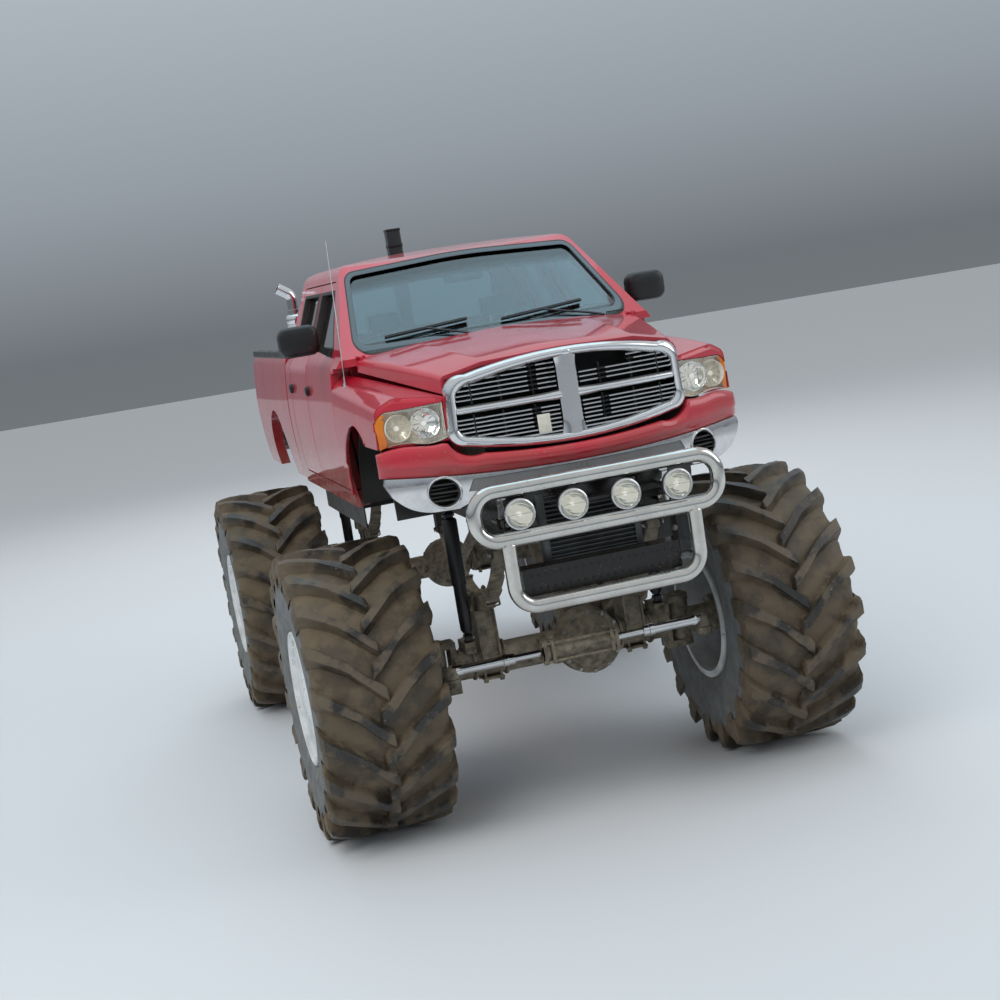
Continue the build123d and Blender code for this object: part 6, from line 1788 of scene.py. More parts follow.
@dataclass
class Running:
    """Leaf springs, shock absorbers, driveshafts and the frame with its fasteners."""

    spring_r: float = 0.8327
    eye_dy: float = 0.648

    def build(self, truck: Truck) -> None:
        """Dress each of them."""
        self.springs(truck)
        self.shocks(truck)
        self.shafts(truck)
        self.frame(truck)

    def springs(self, truck: Truck) -> None:
        """Leaves with rebound clips and eye bolts."""
        pack = softened(truck, "leaf_springs", AXLE_STEEL, 0.003, 1, "spring_packs")
        clips = Soup()
        centre_z = 1.182 + self.spring_r
        eyes = []
        for x in (-0.430, 0.430):
            for y in (FRONT_Y, REAR_Y):
                for way in (-1, 1):
                    lean = math.asin(0.300 / (self.spring_r + 0.030))
                    at = Vector((x, y + way * 0.300, centre_z - (self.spring_r + 0.030) * math.cos(lean)))
                    turn = Matrix.Rotation(way * lean, 3, "X")
                    for low, high in (((-0.043, -0.018, -0.048), (-0.039, 0.018, 0.040)),
                                      ((0.039, -0.018, -0.048), (0.043, 0.018, 0.040)),
                                      ((-0.043, -0.018, -0.052), (0.043, 0.018, -0.048)),
                                      ((-0.050, -0.006, 0.032), (0.050, 0.006, 0.040))):
                        box = Soup().box(low, high)
                        clips.put(([at + turn @ p for p in box.points], box.faces))
                    eyes += [(x + side * 0.0495, y + way * self.eye_dy) for side in (1, -1)]
        eye_z = centre_z - self.spring_r * math.cos(math.asin(0.640 / self.spring_r)) + 0.012
        clip = clips.piece("clips", AXLE_STEEL)
        heads = [bolts("eyes", [(a, b, eye_z) for a, b in eyes if a in ends_x], (way, 0, 0), 0.014, ZINC_STEEL)
                 for way, ends_x in ((1, (0.4795, -0.3805)), (-1, (-0.4795, 0.3805)))]
        truck.place(joined("spring_packs", pack, clip, *heads), "dusty_steel", "leaf_springs")

    def shocks(self, truck: Truck) -> None:
        """Black shocks: body, dust tube, bright rod and bushed eyes."""
        shape = Soup()
        up = UP
        low, high = 0.952, 1.6997
        for side in (1, -1):
            for y in (FRONT_Y - 0.150, REAR_Y + 0.150):
                at = Vector((side * 0.560, y, low))
                shape.spin([(0.055, 0.0001), (0.055, 0.022), (0.075, 0.034), (0.180, 0.036), (0.420, 0.036),
                            (0.430, 0.030), (0.432, 0.0001)], at, up, 28)
                shape.spin([(0.330, 0.037), (0.330, 0.042), (0.690, 0.042), (0.700, 0.036), (0.702, 0.0001),
                            (0.698, 0.0001), (0.690, 0.037)], at, up, 28)
                shape.spin([(0.430, 0.011), (0.7477, 0.011), (0.7477, 0.0001), (0.430, 0.0001)], at, up, 14, 1,
                           closed=True)
                for z in (low + 0.026, high - 0.026):
                    shape.spin([(-0.022, 0.012), (-0.022, 0.0255), (0.022, 0.0255), (0.022, 0.012)],
                               Vector((side * 0.560, y, z)), ACROSS, 24, closed=True)
                    shape.tube([Vector((side * 0.560 - 0.034, y, z)), Vector((side * 0.560 + 0.034, y, z))], 0.010,
                               12, 2)
        piece = shape.piece("dust_tube_shocks", SATIN_BLACK, BRIGHT_ROD, ZINC_STEEL, smooth=40.0)
        truck.place(piece, "black_paint", "shock_absorbers")

    def shafts(self, truck: Truck) -> None:
        """Driveshafts with yoke ears and crosses at their joints."""
        body = softened(truck, "driveshafts", AXLE_STEEL, 0.004, 2, "drive_shafts")
        yokes = Soup()
        for y, z in ((FRONT_Y + 0.350, HUB_Z), (-0.660, 1.532), (REAR_Y - 0.350, HUB_Z), (-0.420, 1.670)):
            at = Vector((0.150, y, z))
            yokes.tube([at - Vector((0.068, 0, 0)), at + Vector((0.068, 0, 0))], 0.020, 16)
            yokes.tube([at - Vector((0, 0, 0.066)), at + Vector((0, 0, 0.066))], 0.020, 16)
        cross = yokes.piece("crosses", AXLE_STEEL)
        truck.place(joined("drive_shafts", body, cross), "dusty_steel", "driveshafts")

    def frame(self, truck: Truck) -> None:
        """Rails with bolt heads at each cross member and hanger, and oval holes in the webs, drawn as rims round
        discs of painted shade.
        """
        body = softened(truck, "frame", CHASSIS_BLACK, 0.003, 2, "ladder_frame")
        ys = (-2.61, -2.245, -1.785, -1.06, 0.0, 1.085, 1.785, 2.365, 2.75)
        outer = [(0.465, y + dy, z) for y in ys for dy in (-0.022, 0.022) for z in (1.690, 1.760)]
        hangers = [(0.4785, y + way * self.eye_dy + dy, 1.618) for y in (FRONT_Y, REAR_Y) for way in (-1, 1)
                   for dy in (-0.020, 0.020)]
        heads = [bolts("heads", [(way * x, y, z) for x, y, z in outer + hangers], (way, 0, 0), 0.011, ZINC_STEEL)
                 for way in (1, -1)]
        oval_ys = (-2.43, -2.05, -1.50, -1.30, -0.62, -0.30, 0.98, 1.35, 1.55, 2.05, 2.2, 2.58)
        spots = [(0.4652, y, 1.725) for y in oval_ys]
        # Each hole is a thin rim round a near-black disc: painted shade stands for the hole's dark inside
        disc = Soup()
        for side in (1, -1):
            for x, y, z in spots:
                oval = spun([(0.0, 0.030), (0.0012, 0.030), (0.0012, 0.034), (0.0, 0.036)],
                            Vector((side * x, y, z)), Vector((side, 0, 0)), 24)
                disc.put(oval)
                disc.spin([(0.0006, 0.031), (0.0006, 0.0001)], Vector((side * x, y, z)), Vector((side, 0, 0)), 24,
                          1)
        ovals = disc.piece("ovals", CHASSIS_BLACK, PAINTED_HOLE_SHADE)
        truck.place(joined("ladder_frame", body, *heads, ovals), "black_paint", "frame")


def screen_y(x: float, z: float) -> float:
    """How far back the cab's raked front lies at a place on the windscreen."""
    return arc_y(-1.495, SCREEN_R, x) + (z - 2.62) * 1.475


def dense(path: Sequence[Vector], block: int, cuts: int) -> list[Vector]:
    """Split each straight run between the rounded corners of a closed path."""
    fine: list[Vector] = []
    for k, here in enumerate(path):
        parts = cuts if k % block == block - 1 else 1
        fine += [here.lerp(path[(k + 1) % len(path)], i / parts) for i in range(parts)]
    return fine


def offset(outline: Flat, distance: float) -> list[tuple[float, float]]:
    """Move each edge of an anticlockwise outline outwards by a distance."""
    result = []
    count = len(outline)
    for i in range(count):
        a, b, c = (Vector(outline[(i + k) % count]) for k in (-1, 0, 1))
        first, second = (b - a).normalized(), (c - b).normalized()
        one, two = Vector((first.y, -first.x)), Vector((second.y, -second.x))
        moved = b + (one + two) * (distance / (1.0 + one.dot(two)))
        result.append((moved.x, moved.y))
    return result


def rounded_box(low: Sequence[float], high: Sequence[float], radius: float, across: str = "y", steps: int = 5,
                edge: float = 0.0) -> Shape:
    """A box between two corners, its own corners round as seen along one axis and its rims softly turned."""
    low, high = [min(pair) for pair in zip(low, high)], [max(pair) for pair in zip(low, high)]
    axes = {"x": (1, 2, 0), "y": (0, 2, 1), "z": (0, 1, 2)}[across]
    a0, b0, a1, b1 = low[axes[0]], low[axes[1]], high[axes[0]], high[axes[1]]
    edge = edge or radius * 0.4
    rows = []
    for depth, inset in ((0.0, edge), (edge * 0.3, edge * 0.3), (edge, 0.0), (-edge, 0.0),
                         (-edge * 0.3, edge * 0.3), (0.0, edge)):
        far = len(rows) >= 3
        place = (high if far else low)[axes[2]] + depth
        corners = [Vector((a, b, 0)) for a, b in ((a0 + inset, b0 + inset), (a1 - inset, b0 + inset),
                                                  (a1 - inset, b1 - inset), (a0 + inset, b1 - inset))]
        row = []
        for p in rounded_path(corners, max(radius - inset, 0.001), steps, closed=True):
            point = [0.0, 0.0, 0.0]
            point[axes[0]], point[axes[1]], point[axes[2]] = p.x, p.y, place
            row.append(tuple(point))
        rows.append(row)
    return capped(rows)


@dataclass
class Glazing:
    """Windscreen and rear window in their seals, cowl strip, window rubbers and rear-view mirror."""

    foot: tuple[float, float] = (0.800, 2.638)
    head: tuple[float, float] = (0.690, 3.052)
    crown: float = 0.034
    # The doors' glass leans in above the belt line
    side_x: float = 0.915
    tumble: float = 0.368
    belt: float = 2.6
    windows: tuple[tuple[str, tuple[tuple[float, float], ...], float, float], ...] = (
        # door, opening as (y, z), outer front edge, outer rear edge
        ("front", ((-1.060, 2.645), (-0.235, 2.645), (-0.235, 2.968), (-0.714, 2.968)), -1.0, -0.176),
        ("rear", ((-0.089, 2.645), (0.520, 2.645), (0.520, 2.968), (-0.089, 2.968)), -0.146, 0.548),
    )

    def screen_ring(self, foot: float, low: float, high: float, radius: float, depth: float) -> list[Vector]:
        """The windscreen's outline, grown sideways at its foot, down and up, at a depth behind the cab's front."""
        head = foot * 0.5 if foot > 0 else foot
        corners = [Vector((x, 0, z)) for x, z in (
            (-self.foot[0] - foot, self.foot[1] - low), (self.foot[0] + foot, self.foot[1] - low),
            (self.head[0] + head, self.head[1] + high), (0.0, self.head[1] + self.crown + high),
            (-self.head[0] - head, self.head[1] + high))]
        path = dense(rounded_path(corners, (radius, radius, radius, 3.6, radius), 6, closed=True), 7, 14)
        return [Vector((p.x, screen_y(p.x, p.z) + depth, p.z)) for p in path]

    def windscreen(self) -> bpy.types.Object:
        """The curved laminated screen with a dark band fading in along its top."""
        rows = []
        for v in range(29):
            up = v / 28
            front, back = [], []
            for u in range(33):
                across = -1.0 + 2.0 * u / 32
                top = self.head[1] + self.crown * (1 - across ** 2) - 0.001
                z = self.foot[1] + 0.001 + (top - self.foot[1] - 0.002) * up
                half = self.foot[0] + (self.head[0] - self.foot[0]) * (z - self.foot[1]) / 0.414 - 0.002
                x = across * half
                front.append((x, screen_y(x, z) + 0.0255, z))
                back.append((x, screen_y(x, z) + 0.0315, z))
            rows.append(front + back[::-1])
        glass = new_piece("windscreen", mesh_from("windscreen", *capped(rows)), WINDOW_GLASS, smooth=50.0)
        band = glass.data.attributes.new("shade", "FLOAT", "POINT")
        edge = [self.head[1] + self.crown * (1 - (v.co.x / 0.72) ** 2) - v.co.z for v in glass.data.vertices]
        band.data.foreach_set("value", [0.94 * within((0.125 - e) / 0.055) for e in edge])
        return glass

    def build(self, truck: Truck) -> None:
        """Build the glass, its seals and what hangs behind it."""
        outline = traced((-0.590, 2.720), ((-0.5724, 2.6776), (-0.530, 2.660)), ((0.530, 2.660),),
                         ((0.5724, 2.6776), (0.590, 2.720)), ((0.590, 2.920),), ((0.5724, 2.9624), (0.530, 2.980)),
                         ((-0.530, 2.980),), ((-0.5724, 2.9624), (-0.590, 2.920)), count=6)
        points, faces = prism(offset(outline, -0.001), "y", 0.8095, 0.8145)
        lean = 0.080 / 0.45
        pane = Soup().put(([p - Vector((0, (p.z - 2.6) * lean, 0)) for p in points], faces))
        # The rear window's grey tint is painted shade for the dark cab behind it
        back = pane.piece("rear_window", SHADE_TINTED_GLASS)
        truck.place(joined("windscreen_and_rear_window", self.windscreen(), back), "tinted_glass", "cab_glass")
        seal = Soup()
        lip = [self.screen_ring(*row) for row in (
            (0.046, 0.048, 0.028, 0.082, 0.008), (0.046, 0.048, 0.028, 0.082, -0.003),
            (0.042, 0.044, 0.025, 0.080, -0.005), (0.036, 0.038, 0.021, 0.076, -0.003))]
        seal.put(grid(lip, closed=True))
        pane = [self.screen_ring(*row) for row in (
            (0.037, 0.039, 0.022, 0.076, -0.003), (0.002, 0.002, 0.002, 0.060, -0.004),
            (-0.002, -0.002, -0.002, 0.055, -0.002), (-0.003, -0.003, -0.003, 0.055, 0.0235))]
        seal.put(grid(pane, closed=True), 1)
        for grow, deep, size in ((0.006, 0.0, 0.010), (-0.004, 0.010, 0.006)):
            path = [Vector((x, 0.835 - (z - 2.6) * lean - deep, z)) for x, z in offset(outline, grow)]
            seal.tube(path, size, 8, closed=True)
        rubber = seal.piece("screen_seals", GLASS_RUBBER, BLACK_GLASS, smooth=45.0)
        slot = Soup().box((-0.0025, -0.008, -0.0022), (0.0025, 0.030, 0.0022)).mesh("slot")
        places = [(x / 1000, screen_y(x / 1000, 2.612) - 0.014, 2.612) for x in range(-780, 781, 13)
                  if min(abs(x + 120), abs(x - 640)) > 26]
        vents = repeated("cowl_vents", slot, Pattern.POINTS, 0, GLASS_RUBBER, points=places)
        truck.place(joined("screen_seals", rubber, vents), "black_plastic")
        self.inside(truck)
        for door, opening, fore, aft in self.windows:
            for name, side in SIDES:
                self.rubbers(truck, door, opening, fore, aft, name, side)

    def inside(self, truck: Truck) -> None:
        """The rear-view mirror on its stalk, and two sun visors."""
        shape = Soup()
        y = screen_y(0.0, 2.955) + 0.150
        shape.put(rounded_box((-0.125, y, 2.915), (0.125, y + 0.030, 2.985), 0.028))
        shape.put(rounded_box((-0.116, y + 0.030, 2.923), (0.116, y + 0.032, 2.977), 0.022, edge=0.0008), 1)
        shape.tube([Vector((0, y + 0.004, 2.965)), Vector((0, screen_y(0, 3.02) + 0.036, 3.020))], 0.008, 10, 0)
        for side in (1, -1):
            rows = []
            for depth in (0.0, 0.016):
                rows.append([(side * x, screen_y(side * x, z) + 0.110 + depth, z + 0.012) for x, z in (
                    (0.120, 2.985), (0.560, 2.970), (0.600, 2.990), (0.590, 3.040), (0.120, 3.052))])
            shape.put(capped(rows), 2)
        piece = shape.piece("mirror_and_visors", BLACK_ABS, MIRROR_COAT, HEADLINER, bevel=0.003)
        truck.place(piece, "grey_fabric")

    def rubbers(self, truck: Truck, door: str, opening: Flat, fore: float, aft: float,
                name: str, side: float) -> None:
        """One door window's black frame and seal, on the door."""
        def out(points: Flat, depth: float) -> list[Vector]:
            path = dense(rounded_path([Vector((0, y, z)) for y, z in points], 0.012, 4, closed=True), 5, 4)
            return [Vector((side * (self.side_x - self.tumble * (p.z - self.belt) + depth), p.y,
                            p.z)) for p in path]
        wide = offset(opening, 0.017)
        if door == "front":
            wide = [wide[0], (aft, wide[1][1]), (aft, wide[2][1]), wide[3]]
        else:
            wide = [(fore, wide[0][1]), (aft, wide[1][1]), (aft, wide[2][1]), (fore, wide[3][1])]
        rows = [out(wide, -0.004), out(wide, 0.0012), out(offset(opening, 0.008), 0.0022),
                out(offset(opening, -0.001), 0.0015), out(offset(opening, -0.004), -0.004),
                out(offset(opening, -0.006), -0.0335)]
        frame = Soup().put(grid(rows, closed=True))
        x = side * (self.side_x - self.tumble * 0.040 + 0.004)
        frame.tube([Vector((x, y, 2.640)) for y in (opening[0][0] + 0.02, opening[1][0] - 0.01)], 0.005, 8)
        piece = frame.piece(f"window_rubber_{door}_{name}", GLASS_RUBBER, smooth=40.0)
        truck.place(piece, "black_plastic", body=f"door_{door}_{name}")


@dataclass
class Outfit:
    """Mirrors, door handles, wipers and antenna."""

    head: tuple[float, float, float, float] = (0.965, 1.205, 2.630, 2.810)

    def build(self, truck: Truck) -> None:
        """Build each side's mirror and handles, then the wipers and the antenna."""
        for name, side in SIDES:
            self.mirror(truck, name, side)
            rear = Soup().put(*self.knob(side, 0.500))
            self.paddle(rear, side, 0.500)
            truck.place(rear.piece(f"round_handle_{name}", BLACK_ABS), "black_plastic", f"rear_handle_{name}",
                        body=f"door_rear_{name}")
        self.wipers(truck)
        self.antenna(truck)

    def knob(self, side: float, y: float) -> tuple[Shape, int]:
        """A handle's round cup."""
        profile = [(0.0, 0.0001), (0.0, 0.031), (0.036, 0.032), (0.041, 0.029), (0.041, 0.024), (0.034, 0.020),
                   (0.033, 0.0001)]
        return spun(profile, Vector((side * 0.951, y, 2.390)), Vector((side, 0, 0)), 28, closed=False), 0

    def paddle(self, soup: Soup, side: float, y: float) -> None:
        """The pull across a handle's cup."""
        soup.put(rounded_box((side * 0.984, y - 0.027, 2.378), (side * 0.997, y + 0.027, 2.400), 0.010, "x", 4,
                             0.003))

    def mirror(self, truck: Truck, name: str, side: float) -> None:
        """One mirror: a deep rounded shell, recessed glass, a boxed arm and its foot; and the front handle."""
        x0, x1, z0, z1 = self.head
        middle = Vector(((x0 + x1) / 2, 0, (z0 + z1) / 2))
        edge = rounded_path([Vector((x0, 0, z0)), Vector((x1, 0, z0)), Vector((x1, 0, z1)), Vector((x0, 0, z1))],
                            0.055, 7, closed=True)
        shell = []
        for y, share in ((-1.070, 0.02), (-1.0695, 0.5), (-1.066, 0.76), (-1.058, 0.88), (-1.044, 0.955),
                         (-1.022, 0.99), (-0.995, 1.0), (-0.966, 0.985), (-0.960, 0.965), (-0.960, 0.925),
                         (-0.972, 0.915)):
            shell.append([(side * (middle.x + (p.x - middle.x) * share), y, middle.z + (p.z - middle.z) * share)
                          for p in edge])
        glass = [[(side * (middle.x + (p.x - middle.x) * 0.905), y,
                   middle.z + (p.z - middle.z) * 0.905) for p in edge] for y in (-0.9715, -0.9680)]
        body = Soup().put(capped(shell)).put(capped(glass), 1)
        arm = []
        for x, low, high, near, far in ((0.900, 2.606, 2.648, -1.045, -0.975),
                                        (0.930, 2.608, 2.656, -1.035, -0.985),
                                        (0.975, 2.640, 2.690, -1.030, -0.985),
                                        (1.020, 2.650, 2.700, -1.028, -0.986)):
            arm.append([(side * x, near, low), (side * x, far, low), (side * x, far, high), (side * x, near, high)])
        body.put(capped(arm))
        body.put(rounded_box((side * 0.858, -1.063, 2.603), (side * 0.9335, -0.957, 2.640), 0.018, "z", 4, 0.006))
        knob, index = self.knob(side, -0.255)
        body.put(knob, index)
        self.paddle(body, side, -0.255)
        piece = body.piece(f"door_mirror_{name}", BLACK_ABS, MIRROR_COAT, smooth=38.0)
        truck.place(weighted(piece), "black_plastic", f"mirror_and_handle_{name}", body=f"door_front_{name}")

    def wipers(self, truck: Truck) -> None:
        """Two wipers: pivot cap, cranked arm, bowed carrier and a thin rubber blade."""
        shape = Soup()
        for pivot, near, far in ((-0.120, -0.640, -0.150), (0.640, 0.040, 0.560)):
            low, high = 2.662, 2.696
            ends = [Vector((near, screen_y(near, low) - 0.022, low)),
                    Vector((far, screen_y(far, high) - 0.022, high))]
            path = []
            for k in range(13):
                share = k / 12
                x, z = near + (far - near) * share, low + (high - low) * share
                path.append(Vector((x, screen_y(x, z) + 0.012, z)))
            shape.put(swept(path, [(-0.0022, 0.0), (0.0022, 0.0), (0.0022, 0.022), (-0.0022, 0.022)],
                            Vector((0, -0.56, 0.83))), 1)
            bow = [p + Vector((0, -0.018 - 0.012 * math.sin(math.pi * k / 12), 0.008)) for k, p in enumerate(path)]
            shape.put(swept(bow, [(-0.006, -0.004), (0.006, -0.004), (0.004, 0.005), (-0.004, 0.005)],
                            Vector((0, -0.56, 0.83))))
            for k in (1, 4, 8, 11):
                shape.tube([path[k] + Vector((0, -0.006, 0.004)), bow[k]], 0.0045, 6, 0)
            foot = Vector((pivot, screen_y(pivot, 2.604) - 0.022, 2.604))
            middle = (ends[0] + ends[1]) / 2 + Vector((0, -0.016, 0.008))
            bend = foot.lerp(middle, 0.22) + Vector((0, 0.002, 0.004))
            for k, (a, b) in enumerate(((foot, bend), (bend, middle))):
                wide = 0.009 - 0.002 * k
                shape.put(swept([a, b], [(-wide, -0.003), (wide, -0.003), (wide * 0.7, 0.004),
                                         (-wide * 0.7, 0.004)], Vector((0, -0.56, 0.83))))
            shape.spin([(-0.044, 0.0115), (-0.008, 0.0118), (0.000, 0.0120), (0.004, 0.0095), (0.005, 0.0001)],
                       foot, UP, 20)
        piece = shape.piece("wiper_arms", SATIN_BLACK, GLASS_RUBBER)
        truck.place(piece, "black_plastic", "wipers")

    def antenna(self, truck: Truck) -> None:
        """The fender antenna: bright base and ferrule, a thin whip with a ball tip."""
        base, tip = Vector((-0.925, -1.447, 2.400)), Vector((-0.885, -1.357, 3.258))
        ahead = (tip - Vector((base.x, base.y, 2.440))).normalized()
        shape = Soup()
        shape.spin([(-0.004, 0.0001), (-0.004, 0.018), (0.018, 0.019), (0.030, 0.015), (0.044, 0.011),
                    (0.060, 0.009), (0.064, 0.0001)], base, UP, 24)
        shape.spin([(0.0, 0.0065), (0.050, 0.006), (0.052, 0.0032), (0.700, 0.0024), (0.8185, 0.0020),
                    (0.8190, 0.0040), (0.8235, 0.0040), (0.8245, 0.0001)], Vector((base.x, base.y, 2.440)), ahead,
                   14)
        piece = shape.piece("whip_antenna", BRIGHT_ROD, smooth=40.0)
        truck.place(piece, "black_plastic", "antenna")


@dataclass
class Cabin:
    """Dashboard with its wheel and vents, and the padded seats."""

    voxel: float = 0.013
    cap: float = 0.016
    pressure: float = 4.0
    frames: int = 20
    seat_xs: tuple[float, float] = (-0.380, 0.380)
    # Name, width, corners seen from the side as (y, z), panels; the bench's pads with their middle as well
    front_pads: tuple[tuple, ...] = (
        ("front_cushion", 0.520, ((-0.650, 2.085), (-0.650, 2.205), (-0.175, 2.205), (-0.175, 2.085)), 2),
        ("front_back", 0.520, ((-0.235, 2.130), (-0.108, 2.655), (-0.024, 2.655), (-0.130, 2.130)), 2),
        ("headrest", 0.240, ((-0.092, 2.668), (-0.092, 2.795), (-0.028, 2.795), (-0.028, 2.668)), 1),
    )
    bench_pads: tuple[tuple, ...] = (
        ("bench_cushion", 0.0, 1.380, ((0.152, 2.085), (0.152, 2.215), (0.545, 2.215), (0.545, 2.085)), 3),
        ("bench_back", 0.0, 1.380, ((0.482, 2.130), (0.592, 2.635), (0.678, 2.635), (0.588, 2.130)), 3),
    )

    def build(self, truck: Truck) -> None:
        """Dress the dashboard, then sew the seats."""
        dash = softened(truck, "dashboard", INTERIOR_ABS, 0.006, 2, "dash_and_wheel")
        trim = Soup()
        for x in (-0.600, -0.100, 0.110, 0.660):
            trim.put(rounded_box((x - 0.055, -0.915, 2.480), (x + 0.055, -0.903, 2.530), 0.015))
            for dz in (-0.014, -0.005, 0.005, 0.014):
                trim.box((x - 0.046, -0.902, 2.505 + dz - 0.0012), (x + 0.046, -0.898, 2.505 + dz + 0.0012), 1)
        trim.put(rounded_box((0.220, -0.990, 2.560), (0.540, -0.905, 2.640), 0.030, "y"), 1)
        extra = trim.piece("vents", BLACK_ABS, INTERIOR_ABS)
        truck.place(joined("dash_and_wheel", dash, extra), "black_plastic", "dashboard")
        carpet = Soup().put(rounded_box((-0.850, -1.120, 1.8695), (0.850, 0.700, 1.882), 0.04, "z", 4, 0.004))
        truck.place(carpet.piece("cab_carpet", CARPET), "grey_fabric")
        self.door_cards(truck)
        base = Soup()
        for x in self.seat_xs:
            base.put(rounded_box((x - 0.215, -0.605, 1.872), (x + 0.215, -0.195, 2.088), 0.030, "z"))
            for dx in (-0.055, 0.055):
                base.tube([Vector((x + dx, -0.066, 2.62)), Vector((x + dx, -0.060, 2.70))], 0.006, 8, 1)
        base.put(rounded_box((-0.645, 0.195, 1.872), (0.645, 0.525, 2.088), 0.030, "z"))
        stand = base.piece("seat_bases", INTERIOR_ABS, BRIGHT_ROD)
        truck.place(stand, "grey_fabric", "seats")
        front = [(f"{name}_{number}", x, *rest) for number, x in enumerate(self.seat_xs)
                 for name, *rest in self.front_pads]
        for piece in [self.pad(*row) for row in (*front, *self.bench_pads)]:
            truck.place(piece, "grey_fabric", "seats")

    def door_cards(self, truck: Truck) -> None:
        """The trim inside each door, with its armrest, pocket and pull."""
        wall = traced((0.940, 1.860), ((0.9775, 2.160), (0.9565, 2.520)), count=12)
        outline = [(x - 0.0742, z) for x, z in wall] + [(x - 0.0880, z) for x, z in reversed(wall)]
        for door, fore, aft in (("front", -1.140, -0.215), ("rear", -0.110, 0.545)):
            for name, side in SIDES:
                card = Soup().put(prism([(side * x, z) for x, z in outline], "y", fore, aft))
                for low, high, ahead, behind, index in (
                        ((0.842, 2.270), (0.892, 2.310), fore + 0.30, aft - 0.05, 1),
                        ((0.858, 1.930), (0.884, 2.060), fore + 0.10, aft - 0.10, 1),
                        ((0.868, 2.380), (0.893, 2.404), fore + 0.22, fore + 0.36, 2)):
                    card.put(rounded_box((side * low[0], ahead, low[1]), (side * high[0], behind, high[1]), 0.010,
                                         "y", 4), index)
                piece = card.piece(f"door_card_{door}_{name}", INTERIOR_ABS, BLACK_ABS, CHROME_PLATE, bevel=0.003)
                truck.place(piece, "grey_plastic", body=f"door_{door}_{name}")

    def pad(self, name: str, middle: float, width: float, side: Flat, panels: int) -> bpy.types.Object:
        """One stuffed pad: a crowned closed form, swollen by cloth simulation, with piping and sewn channels.

        Args:
            name: the piece's name.
            middle: its middle across the truck.
            width: its width.
            side: its four corners seen from the side, as (y, z).
            panels: how many panels its face is sewn into.

        Returns:
            The finished pad.
        """
        corners = [Vector((0, y, z)) for y, z in side]
        centre = sum(corners, Vector()) / 4
        rows = []
        for k in range(17):
            along = -1.0 + k / 8
            pinch = 1.0 - 0.16 * abs(along) ** 6 - 0.02
            path = rounded_path([centre + (c - centre) * pinch for c in corners], 0.024, 3, closed=True)
            rows.append([(middle + along * (width / 2 - 0.012), p.y, p.z) for p in dense(path, 4, 4)])
        pad = new_piece(name, Soup().put(capped(rows)).mesh(name), SEAT_CLOTH, smooth=70.0)
        self.plump(pad)
        seams = Soup()
        for number in range(1, panels):
            x = middle - width / 2 + width * number / panels
            ring = dense(rounded_path(corners, 0.024, 3, closed=True), 4, 3)
            seams.tube([Vector((x, p.y, p.z)) for p in ring], 0.0035, 6, closed=True)
        for end in (-1, 1):
            ring = dense(rounded_path([centre + (c - centre) * 0.93 for c in corners], 0.022, 3, closed=True), 4, 3)
            seams.tube([Vector((middle + end * (width / 2 - 0.014), p.y, p.z)) for p in ring], 0.004, 6,
                       closed=True)
        piping = seams.piece("piping", SEAT_PIPING)
        return joined(name, pad, piping)

    def plump(self, pad: bpy.types.Object) -> None:
        """Swell a pad with pressure inside its cloth, no point moving further than the cap."""
        remesh = pad.modifiers.new("even", "REMESH")
        remesh.mode, remesh.voxel_size = "VOXEL", self.voxel
        baked(pad)
        starts = [v.co.copy() for v in pad.data.vertices]
        cloth = pad.modifiers.new("stuffing", "CLOTH")
        cloth.settings.use_pressure = True
        cloth.settings.uniform_pressure_force = self.pressure
        cloth.settings.effector_weights.gravity = 0.0
        for frame in range(1, self.frames + 1):
            bpy.context.scene.frame_set(frame)
        baked(pad)
        for vertex, start in zip(pad.data.vertices, starts):
            move = vertex.co - start
            if move.length > self.cap:
                vertex.co = start + move.normalized() * self.cap
        bpy.context.scene.frame_set(1)
        pad.data.shade_smooth()


